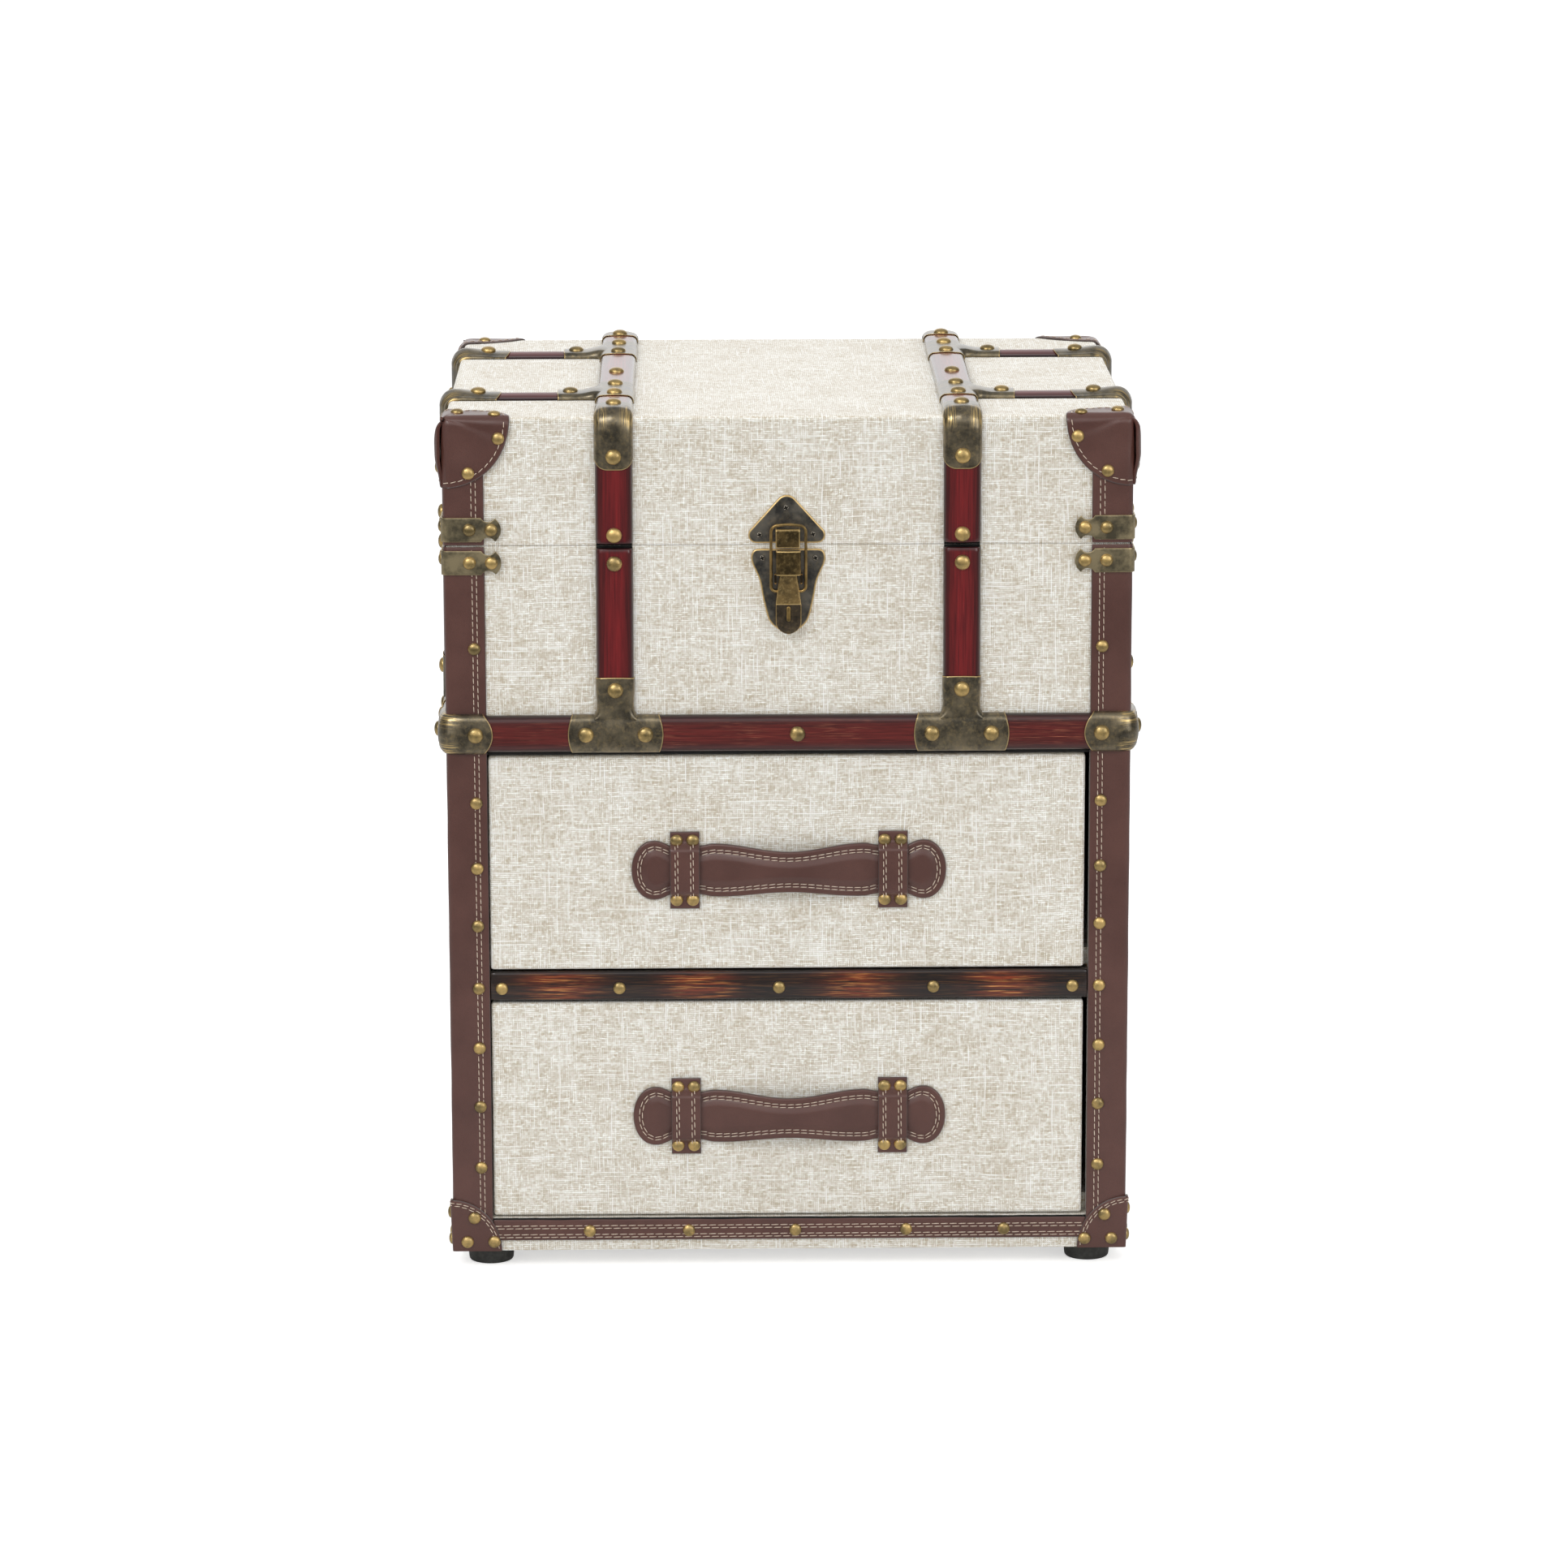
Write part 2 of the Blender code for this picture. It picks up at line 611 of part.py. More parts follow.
def belt_bar(across, end, reach):
    """One bar of the belt with eased outer edges, notched over the edge leathers."""
    face = HALF_DEPTH if across == "X" else HALF_WIDTH
    corner = HALF_WIDTH if across == "X" else HALF_DEPTH
    low, high = face + CLEARANCE, face + SLAT_OUT
    section = [(end * low, BELT_BOTTOM), (end * (high - SLAT_EDGE), BELT_BOTTOM),
               (end * high, BELT_BOTTOM + SLAT_EDGE), (end * high, BELT_TOP - SLAT_EDGE),
               (end * (high - SLAT_EDGE), BELT_TOP), (end * low, BELT_TOP)]
    if across == "X":
        bar = prism(section, "X", -reach, reach)
    else:
        bar = prism(section, "Y", -reach, reach)
    notch_start = corner + LEATHER_OUT - EDGE_LEATHER_WIDTH - CLEARANCE
    notch_face = face + LEATHER_OUT + CLEARANCE
    notches = []
    for side in (-1, 1):
        along = (notch_start, corner * 2)
        out = (0, notch_face)
        if across == "X":
            notches.append(corner_block(side, end, along, out, (0, SEAM)))
        else:
            notches.append(corner_block(end, side, out, along, (0, SEAM)))
    return cut(bar, *notches)


def build_belt(trunk):
    """The wooden belt round the case, and the upright slats that rise from it."""
    front_reach = HALF_WIDTH + LEATHER_OUT + CLEARANCE
    place(belt_bar("X", -1, front_reach), "belt_front", "red_lacquer", trunk)
    place(belt_bar("X", 1, front_reach), "belt_back", "red_lacquer", trunk)
    slat_top = SEAM - SLAT_END_GAP
    for name, side in sides():
        frame = belt_bar("Y", side, HALF_DEPTH + LEATHER_OUT)
        low, high = HALF_WIDTH + CLEARANCE + CROSS_SINK, HALF_WIDTH + SLAT_OUT - CROSS_SINK
        for end in (-1, 1):
            section = [(side * (low + b), end * CROSS_Y + a)
                       for a, b in slat_section(0.0, SLAT_WIDTH, high - low, SLAT_EDGE)]
            frame = join(frame, prism(section, "Z", BELT_TOP - CROSS_OVERLAP, slat_top))
        place(frame, f"side_slats_{name}", "red_lacquer", trunk)
        section = [(side * SLAT_X + a, -HALF_DEPTH - CLEARANCE - b)
                   for a, b in slat_section(0.0, SLAT_WIDTH, SLAT_THICKNESS, SLAT_EDGE)]
        place(prism(section, "Z", BELT_TOP + CLEARANCE, slat_top), f"front_slat_{name}",
              "red_lacquer", trunk)


def build_belt_caps(trunk):
    """Brass caps that fold over the belt's corners, each with a nail on both legs."""
    out_x, out_y = HALF_WIDTH + CAP_OUT, HALF_DEPTH + CAP_OUT
    slat_x, slat_y = HALF_WIDTH + SLAT_OUT + CLEARANCE, HALF_DEPTH + SLAT_OUT + CLEARANCE
    in_x, in_y = HALF_WIDTH + LEATHER_OUT + CLEARANCE, HALF_DEPTH + LEATHER_OUT + CLEARANCE
    end_x, end_y = out_x - CORNER_CAP_LEG, out_y - CORNER_CAP_LEG
    for name, side, end in quarters():
        shell = rounded([(out_x, out_y, CORNER_CAP_ROUNDING - SHEET), (out_x, end_y, 0), (in_x, end_y, 0),
                         (in_x, in_y, 0), (end_x, in_y, 0), (end_x, out_y, 0)])
        cap = prism([(side * a, end * b) for a, b in shell], "Z", BELT_BOTTOM - CAP_LIP,
                    BELT_TOP + CAP_LIP)
        room = rounded([(slat_x, slat_y, SLAT_BEND), (slat_x, 0, 0), (0, 0, 0), (0, slat_y, 0)])
        hollow = prism([(side * a, end * b) for a, b in room], "Z", BELT_BOTTOM - CLEARANCE,
                       BELT_TOP + CLEARANCE)
        heads = nails([((side * (out_x - NAIL_FROM_CORNER), end * out_y, BELT_MIDDLE), (0, end, 0)),
                       ((side * out_x, end * (out_y - NAIL_FROM_CORNER), BELT_MIDDLE), (side, 0, 0))])
        place(join(cut(cap, hollow), heads), f"belt_corner_cap_{name}", "antique_brass", trunk)


def build_t_caps(trunk):
    """Brass T-shaped caps where the front slats meet the belt."""
    face = -HALF_DEPTH - CAP_OUT
    stem = SLAT_WIDTH / 2 + CAP_LIP
    low, high = BELT_BOTTOM - CAP_LIP, BELT_TOP + CAP_LIP
    tip = BELT_TOP + T_CAP_STEM
    half = T_CAP_WIDTH / 2
    shoulder = half - T_CAP_END_BULGE
    right = [(shoulder, low), (half - T_CAP_END_BULGE / 4, (low * 3 + high) / 4),
             (half, (low + high) / 2), (half - T_CAP_END_BULGE / 4, (low + high * 3) / 4),
             (shoulder, high), (stem + SHEET * 2, high), (stem, high + SHEET * 2), (stem, tip)]
    outline = right + [(-a, b) for a, b in reversed(right)]
    for name, side in sides():
        centre = side * SLAT_X
        cap = prism([(centre + a, b) for a, b in outline], "Y", face, -HALF_DEPTH - CLEARANCE)
        belt_room = block((centre - half * 2, face + SHEET, BELT_BOTTOM - CLEARANCE),
                          (centre + half * 2, 0, BELT_TOP + CLEARANCE))
        slat_room = block((centre - SLAT_WIDTH / 2 - CLEARANCE, face + SHEET, BELT_TOP - CLEARANCE),
                          (centre + SLAT_WIDTH / 2 + CLEARANCE, 0, tip + SHEET))
        heads = nails([((centre - T_BAR_NAIL, face, BELT_MIDDLE), (0, -1, 0)),
                       ((centre + T_BAR_NAIL, face, BELT_MIDDLE), (0, -1, 0)),
                       ((centre, face, BELT_TOP + T_STEM_NAIL), (0, -1, 0))])
        place(join(cut(cap, belt_room, slat_room), heads), f"t_cap_{name}", "antique_brass", trunk)


def build_corner_straps(trunk, lid):
    """Notched brass straps round the front corners, above and below the seam."""
    low_out = LEATHER_OUT + CLEARANCE
    high_out = low_out + SHEET
    out_x, out_y = HALF_WIDTH + high_out, HALF_DEPTH + high_out
    in_x, in_y = HALF_WIDTH + low_out, HALF_DEPTH + low_out
    end_x, end_y = out_x - STRAP_LEG, out_y - STRAP_LEG
    plan = rounded([(out_x, out_y, EDGE_LEATHER_ROUNDING + SHEET), (out_x, end_y, 0), (in_x, end_y, 0),
                    (in_x, in_y, EDGE_LEATHER_ROUNDING), (end_x, in_y, 0), (end_x, out_y, 0)])
    notch_x, notch_y = end_x + STRAP_NOTCH_FROM_END, end_y + STRAP_NOTCH_FROM_END
    levels = (("body", SEAM - STRAP_FROM_SEAM - STRAP_HEIGHT, trunk),
              ("lid", LID_BOTTOM + STRAP_FROM_SEAM, lid))
    for level, bottom, parent in levels:
        past = STRAP_NOTCH_RADIUS - STRAP_NOTCH_DEPTH
        bow = [(STRAP_END_BULGE * (1 - (i / 3) ** 2), bottom + STRAP_HEIGHT * (0.5 + i / 6))
               for i in range(-3, 4)]
        beyond = [(STRAP_END_BULGE * 2, bottom + STRAP_HEIGHT), (STRAP_END_BULGE * 2, bottom)]
        waste = [(end_x + STRAP_END_BULGE - a, b) for a, b in bow + beyond]
        waste_y = [(end_y + STRAP_END_BULGE - a, b) for a, b in bow + beyond]
        for name, side in sides():
            flank_span = sorted((side * (in_x - SHEET), side * (out_x + SHEET)))
            front_span = (-out_y - SHEET, -in_y + SHEET)
            tools = [prism([(side * a, b) for a, b in waste], "Y", *front_span),
                     prism([(-a, b) for a, b in waste_y], "X", *flank_span)]
            for edge in (bottom - past, bottom + STRAP_HEIGHT + past):
                tools.append(rod("Y", (side * notch_x, edge), STRAP_NOTCH_RADIUS, *front_span))
                tools.append(rod("X", (-notch_y, edge), STRAP_NOTCH_RADIUS, *flank_span))
            band = prism([(side * a, -b) for a, b in plan], "Z", bottom, bottom + STRAP_HEIGHT)
            place(cut(band, *tools), f"corner_strap_{level}_{name}", "antique_brass", parent)


def build_lid(lid):
    """The linen-covered lid: four walls and a top, open below."""
    bm = bmesh.new()
    bmesh.ops.create_cube(bm, size=1.0)
    for vert in bm.verts:
        vert.co = Vector((vert.co.x * CASE_WIDTH, vert.co.y * CASE_DEPTH,
                          LID_BOTTOM + (vert.co.z + 0.5) * LID_HEIGHT))
    middle = LID_BOTTOM + LID_HEIGHT / 4
    upper = [edge for edge in bm.edges if (edge.verts[0].co.z + edge.verts[1].co.z) / 2 > middle]
    bmesh.ops.bevel(bm, geom=upper, offset=LID_ROUNDING, segments=3, profile=0.5, affect="EDGES")
    shell = solid_from(bm)
    hollow = block((-HALF_WIDTH + LID_WALL, -HALF_DEPTH + LID_WALL, SEAM - BOARD),
                   (HALF_WIDTH - LID_WALL, HALF_DEPTH - LID_WALL, LID_TOP - LID_WALL))
    place(cut(shell, hollow), "lid_shell", "linen", lid)


def lid_cap_stations():
    """The path of a front cap, from the lid's front up and back over its top."""
    face = HALF_DEPTH + CLEARANCE
    top = LID_TOP + CLEARANCE
    corners = [(-face, LID_TOP - SLAT_CAP_DROP), (-face, top), (-face + SLAT_CAP_TOP, top)]
    return wrap_path(corners, SLAT_BEND)


def build_lid_slats(lid):
    """A long slat over the lid from front to back, with two cross slats to the side."""
    face_y, face_x = HALF_DEPTH + CLEARANCE, HALF_WIDTH + CLEARANCE
    top = LID_TOP + CLEARANCE
    bottom = LID_BOTTOM + SLAT_END_GAP
    crown = LID_TOP + SLAT_OUT
    for name, side in sides():
        centre = side * SLAT_X
        path = wrap_path([(-face_y, bottom), (-face_y, top), (face_y, top),
                          (face_y, LID_TOP - LID_SLAT_REAR_DROP)], SLAT_BEND)
        frame = strap(path, "X", slat_section(centre, SLAT_WIDTH, SLAT_THICKNESS, SLAT_EDGE))
        heads = [((centre, 0.0, crown), (0, 0, 1)),
                 ((centre, HALF_DEPTH - REAR_NAIL_INSET, crown), (0, 0, 1))]
        for end in (-1, 1):
            inner = SLAT_X + SLAT_WIDTH / 2 - CROSS_OVERLAP
            flank, roof = side * (face_x + CROSS_SINK), top + CROSS_SINK
            cross = wrap_path([(side * inner, roof), (flank, roof), (flank, bottom)], SLAT_BEND)
            section = slat_section(end * CROSS_Y, SLAT_WIDTH, SLAT_THICKNESS - CROSS_SINK * 2, SLAT_EDGE)
            frame = join(frame, strap(cross, "Y", section))
            for nudge in (-JOINT_NAIL, JOINT_NAIL):
                heads.append(((centre, end * CROSS_Y + nudge, crown), (0, 0, 1)))
            for x in (SLAT_X + CROSS_NAIL_FROM_SLAT, HALF_WIDTH - CROSS_NAIL_FROM_SIDE):
                heads.append(((side * x, end * CROSS_Y, crown - CROSS_SINK), (0, 0, 1)))
        place(join(frame, nails(heads)), f"lid_slats_{name}", "red_lacquer", lid)


def build_slat_caps(lid):
    """Brass caps folded over the front ends of the two long lid slats."""
    stations = lid_cap_stations()
    first, last = stations[0], stations[-1]
    longer = ([(first[0] - Vector((0, SHEET * 2)), first[1])] + stations[1:-1]
              + [(last[0] + Vector((SHEET * 2, 0)), last[1])])
    front_nail = LID_TOP - SLAT_CAP_DROP + CAP_END_NAIL
    top_nail = -HALF_DEPTH + CAP_TOP_NAIL
    for name, side in sides():
        centre = side * SLAT_X
        cover = strap(stations, "X", slat_section(centre, SLAT_WIDTH + CAP_LIP * 2,
                                                  SLAT_THICKNESS + CLEARANCE + SHEET, SLAT_EDGE))
        room = strap([(p - n * SHEET, n) for p, n in longer], "X",
                     [(a, b + SHEET) if b else (a, b) for a, b in
                      slat_section(centre, SLAT_WIDTH + CLEARANCE * 2, SLAT_THICKNESS + CLEARANCE,
                                   SLAT_EDGE)])
        heads = nails([((centre, -HALF_DEPTH - CAP_OUT, front_nail), (0, -1, 0)),
                       ((centre, top_nail, LID_TOP + CAP_OUT), (0, 0, 1))])
        place(cut(join(cover, heads), room), f"lid_slat_cap_{name}", "antique_brass", lid)


def build_lid_corners(lid):
    """Leather corners of the lid: three rounded flaps and the strip below them."""
    out = CLEARANCE + LID_CORNER_THICKNESS
    arc = rounded([(LID_CORNER_WIDTH, 0, 0), (LID_CORNER_WIDTH, -LID_CORNER_HEIGHT, LID_CORNER_ROUNDING),
                   (0, -LID_CORNER_HEIGHT, 0)], 7)[1:-1]
    far = 1.3
    waste = arc + [(arc[-1][0], -LID_CORNER_HEIGHT * far),
                   (LID_CORNER_WIDTH * far, -LID_CORNER_HEIGHT * far), (LID_CORNER_WIDTH * far, arc[0][1])]
    for name, side, end in quarters():
        x_out, y_out, z_out = HALF_WIDTH + out, HALF_DEPTH + out, LID_TOP + out
        corner = corner_block(side, end, (x_out - LID_CORNER_WIDTH, x_out),
                              (y_out - LID_CORNER_DEPTH, y_out), (z_out - LID_CORNER_HEIGHT, z_out),
                              LID_CORNER_SOFTENING)
        front_waste = prism([(side * (x_out - a), z_out + b) for a, b in waste], "Y",
                            *sorted((end * (HALF_DEPTH - BOARD / 4), end * (y_out + BOARD))))
        scale = LID_CORNER_DEPTH / LID_CORNER_WIDTH
        flank_waste = prism([(end * (y_out - a * scale), z_out + b) for a, b in waste], "X",
                            *sorted((side * (HALF_WIDTH - BOARD / 4), side * (x_out + BOARD))))
        turn = LID_CORNER_DEPTH / LID_CORNER_HEIGHT
        top_waste = prism([(side * (x_out - a), end * (y_out + b * turn)) for a, b in waste], "Z",
                          LID_TOP - BOARD / 4, z_out + BOARD)
        strip = edge_wrap(side, end, LID_BOTTOM + CLEARANCE, z_out - LID_CORNER_HEIGHT / 2)
        room = corner_block(side, end, (0, HALF_WIDTH + CLEARANCE), (0, HALF_DEPTH + CLEARANCE),
                            (SEAM - BOARD, LID_TOP + CLEARANCE))
        leather = join(cut(corner, front_waste, flank_waste, top_waste), strip)
        place(cut(leather, room), f"lid_corner_leather_{name}", "brown_leather", lid)


def hinge_leaf(centre, up):
    """One leaf with its knuckles: the lower has the outer two, the upper the middle."""
    half = HINGE_WIDTH / 2
    middle = KNUCKLE_MIDDLE / 2
    near, far = HALF_DEPTH + CLEARANCE, HALF_DEPTH + CLEARANCE + HINGE_LEAF_THICKNESS
    heights = sorted((HINGE_Z + up * HINGE_LEAF_FROM_AXIS, HINGE_Z + up * HINGE_LEAF))
    leaf = block((centre - half, near, heights[0]), (centre + half, far, heights[1]))
    spans = [(-middle, middle)] if up > 0 else [(-half, -middle - CLEARANCE), (middle + CLEARANCE, half)]
    bore = HINGE_PIN_RADIUS + CLEARANCE
    for low, high in spans:
        reach = sorted((HINGE_Z, HINGE_Z + up * (HINGE_LEAF_FROM_AXIS + HINGE_LEAF_THICKNESS)))
        neck = block((centre + low + CLEARANCE, near + CLEARANCE / 2, reach[0]),
                     (centre + high - CLEARANCE, far - CLEARANCE / 2, reach[1]))
        knuckle = rod("X", (HINGE_Y, HINGE_Z), KNUCKLE_RADIUS, centre + low, centre + high, 16)
        leaf = join(leaf, neck, knuckle)
        if up < 0:
            leaf = cut(leaf, rod("X", (HINGE_Y, HINGE_Z), bore, centre + low - BOARD,
                                 centre + high + BOARD, 12))
    if up > 0:
        leaf = join(leaf, rod("X", (HINGE_Y, HINGE_Z), HINGE_PIN_RADIUS, centre - half,
                              centre + half, 12))
    return leaf


def build_hinges(trunk, lid):
    for name, side in sides():
        place(hinge_leaf(side * SLAT_X, -1), f"hinge_lower_{name}", "antique_brass", trunk)
        place(hinge_leaf(side * SLAT_X, 1), f"hinge_upper_{name}", "antique_brass", lid)


def drawer_body(low, parent, name):
    """An open-topped box: two sides, a back, an inner front and a bottom."""
    outer = block((-BOX_HALF, BOX_FRONT, low), (BOX_HALF, BOX_REAR, low + DRAWER_BOX_HEIGHT))
    inner = block((-BOX_HALF + DRAWER_BOX_WALL, BOX_FRONT + DRAWER_BOX_WALL, low + DRAWER_BOX_BOTTOM),
                  (BOX_HALF - DRAWER_BOX_WALL, BOX_REAR - DRAWER_BOX_WALL, low + DRAWER_BOX_HEIGHT + BOARD))
    place(cut(outer, inner), f"drawer_box_{name}", "bare_board", parent)


def handle_half_height(along):
    """Half the strap's height at a distance along it from the middle.

    A slow waist between the keepers, a pinch under each keeper and a round lobe
    beyond it.
    """
    half_length = HANDLE_LENGTH / 2
    keeper = KEEPER_SPACING / 2
    inner = keeper - KEEPER_WIDTH / 2
    lobe = HANDLE_LOBE_HEIGHT / 2
    pinch = HANDLE_PINCH_HEIGHT / 2
    shoulder = HANDLE_SHOULDER_HEIGHT / 2
    waist = HANDLE_WAIST_HEIGHT / 2
    distance = abs(along)
    if distance <= inner - KEEPER_SHOULDER:
        share = distance / (inner - KEEPER_SHOULDER)
        return waist + (shoulder - waist) * (1 - math.cos(math.pi * share)) / 2
    if distance <= inner:
        share = (distance - inner + KEEPER_SHOULDER) / KEEPER_SHOULDER
        return shoulder + (pinch - shoulder) * share ** 2
    outer = keeper + KEEPER_WIDTH / 2
    if distance <= outer:
        return pinch
    share = (distance - outer) / (half_length - outer)
    if share < HANDLE_LOBE_SWELL:
        return pinch + (lobe - pinch) * math.sin(math.pi / 2 * share / HANDLE_LOBE_SWELL)
    past = (share - HANDLE_LOBE_SWELL) / (1 - HANDLE_LOBE_SWELL)
    return lobe * math.sqrt(max(0.02, 1 - past ** 2.2))


def handle_lift(along):
    """How far the strap stands off the drawer at a distance from its middle."""
    span = KEEPER_SPACING / 2 - KEEPER_WIDTH / 2
    share = min(1.0, abs(along) / span)
    return HANDLE_BOW * (1 + math.cos(math.pi * share)) / 2


def handle_strap(height):
    """The padded dog-bone strap: thin stitched edges and a raised middle."""
    inner = KEEPER_SPACING / 2 - KEEPER_WIDTH / 2
    outer = KEEPER_SPACING / 2 + KEEPER_WIDTH / 2
    half = [0.0, inner * 0.17, inner * 0.34, inner * 0.5, inner * 0.64, inner * 0.76,
            inner - KEEPER_SHOULDER, inner - KEEPER_SHOULDER / 2, inner, outer]
    beyond = HANDLE_LENGTH / 2 - outer
    half += [outer + beyond * share for share in (0.14, 0.28, 0.45, 0.62, 0.77, 0.88, 0.95, 1.0)]
    along = [-value for value in reversed(half[1:])] + half
    back = DRAWER_FACE - CLEARANCE
    rings = []
    for x in along:
        tall = handle_half_height(x)
        crown_half = tall * HANDLE_CROWN_SHARE
        foot = back - handle_lift(x)
        rings.append([(x, foot, height - tall), (x, foot - HANDLE_EDGE, height - tall),
                      (x, foot - HANDLE_CROWN, height - crown_half),
                      (x, foot - HANDLE_CROWN, height + crown_half),
                      (x, foot - HANDLE_EDGE, height + tall), (x, foot, height + tall)])
    return rings_solid(rings)


def handle_keeper(centre, height):
    """A leather loop nailed above and below the strap and bent over it."""
    back = DRAWER_FACE - CLEARANCE
    tall = KEEPER_HEIGHT / 2
    over = HANDLE_CROWN - CLEARANCE
    strap_half = handle_half_height(KEEPER_SPACING / 2)
    right = [(0.0, tall), (KEEPER_THICKNESS, tall), (KEEPER_THICKNESS, strap_half + KEEPER_THICKNESS * 2),
             (HANDLE_EDGE + KEEPER_THICKNESS, strap_half + KEEPER_THICKNESS * 0.6),
             (over + KEEPER_THICKNESS, strap_half * HANDLE_CROWN_SHARE),
             (over + KEEPER_THICKNESS, -strap_half * HANDLE_CROWN_SHARE),
             (HANDLE_EDGE + KEEPER_THICKNESS, -strap_half - KEEPER_THICKNESS * 0.6),
             (KEEPER_THICKNESS, -strap_half - KEEPER_THICKNESS * 2), (KEEPER_THICKNESS, -tall), (0.0, -tall)]
    outline = [(back - a, height + b) for a, b in right]
    return prism(outline, "X", centre - KEEPER_WIDTH / 2, centre + KEEPER_WIDTH / 2)


def build_drawer(name, opening_low, opening_high, parent):
    """A drawer: a linen-covered front, a box behind it and a leather handle."""
    low = opening_low + DRAWER_PLAY_BELOW
    high = opening_high - DRAWER_PLAY_ABOVE
    front = block((-DRAWER_HALF - DRAWER_DRIFT, DRAWER_FACE, low),
                  (DRAWER_HALF - DRAWER_DRIFT, DRAWER_FRONT_BACK, high), CORNER_SOFTENING)
    place(front, f"drawer_front_{name}", "linen", parent)
    drawer_body(opening_low + CLEARANCE, parent, name)
    height = (low + high) / 2 - HANDLE_DROP
    keepers = [handle_keeper(side * KEEPER_SPACING / 2, height) for side in (-1, 1)]
    place(join(handle_strap(height), *keepers), f"drawer_handle_{name}", "brown_leather", parent)


def build_clasp_plate(trunk):
    """The latch's lower plate with two pivot ears and the padlock staple."""
    half = CLASP_WIDTH / 2
    foot = CLASP_TOP - CLASP_LENGTH
    corners = zip(CLASP_CORNER_SHARE, CLASP_CORNER_RADIUS)
    right = [(half * across, foot + CLASP_LENGTH * up, radius) for (across, up), radius in corners]
    outline = rounded(right + [(-a, b, r) for a, b, r in reversed(right)], 3)
    back = -HALF_DEPTH - CLEARANCE
    plate = prism(outline, "Y", CLASP_FACE, back)
    ear_inner = LEVER_WIDTH / 2 + CLEARANCE
    for side in (-1, 1):
        span = sorted((side * ear_inner, side * (ear_inner + EAR_THICKNESS)))
        arc = [(PIVOT_Y + EAR_RADIUS * math.cos(a), PIVOT_Z + EAR_RADIUS * math.sin(a))
               for a in [math.pi / 2 + math.pi * i / 6 for i in range(7)]]
        into_plate = CLASP_FACE + CLASP_SHEET / 2
        ear = prism([(into_plate, PIVOT_Z + EAR_RADIUS)] + arc + [(into_plate, PIVOT_Z - EAR_RADIUS)],
                    "X", *span)
        bore = rod("X", (PIVOT_Y, PIVOT_Z), LEVER_PIN_RADIUS + CLEARANCE, span[0] - BOARD,
                   span[1] + BOARD)
        plate = join(plate, cut(ear, bore))
    low = foot + STAPLE_FROM_TIP - STAPLE_HEIGHT / 2
    high = low + STAPLE_HEIGHT
    staple = block((-STAPLE_THICKNESS / 2, CLASP_FACE - STAPLE_OUT, low),
                   (STAPLE_THICKNESS / 2, CLASP_FACE + CLASP_SHEET / 2, high))
    eye = block((-STAPLE_THICKNESS, CLASP_FACE - STAPLE_OUT + STAPLE_WALL, low + STAPLE_WALL),
                (STAPLE_THICKNESS, CLASP_FACE - STAPLE_WALL, high - STAPLE_WALL))
    place(join(plate, cut(staple, eye)), "clasp_plate", "clasp_bronze", trunk)


def build_hook_plate(lid):
    """The latch's upper plate with the hook that the bail is drawn over."""
    half = CLASP_WIDTH / 2
    low = LID_BOTTOM + CLEARANCE * 3
    outline = rounded([(0.0, low + HOOK_PLATE_HEIGHT, 0.006), (-half, low + HOOK_PLATE_HEIGHT * 0.20, 0.005),
                       (-half * 0.94, low, 0.002), (half * 0.94, low, 0.002),
                       (half, low + HOOK_PLATE_HEIGHT * 0.20, 0.005)], 4)
    plate = prism(outline, "Y", CLASP_FACE, -HALF_DEPTH - CLEARANCE)
    out = CLASP_FACE - HOOK_REACH
    base = low + HOOK_SHEET / 2
    tip = low + HOOK_HEIGHT - HOOK_SHEET * 2
    foot = low - HOOK_SHEET * 1.6
    hook = prism([(CLASP_FACE + CLASP_SHEET / 2, base), (out + HOOK_SHEET, base), (out + HOOK_SHEET, foot),
                  (out, foot), (out, tip), (out + HOOK_SHEET, tip), (out + HOOK_SHEET, base + HOOK_SHEET),
                  (CLASP_FACE + CLASP_SHEET / 2, base + HOOK_SHEET)],
                 "X", -HOOK_WIDTH / 2, HOOK_WIDTH / 2)
    place(join(plate, hook), "clasp_hook_plate", "clasp_bronze", lid)


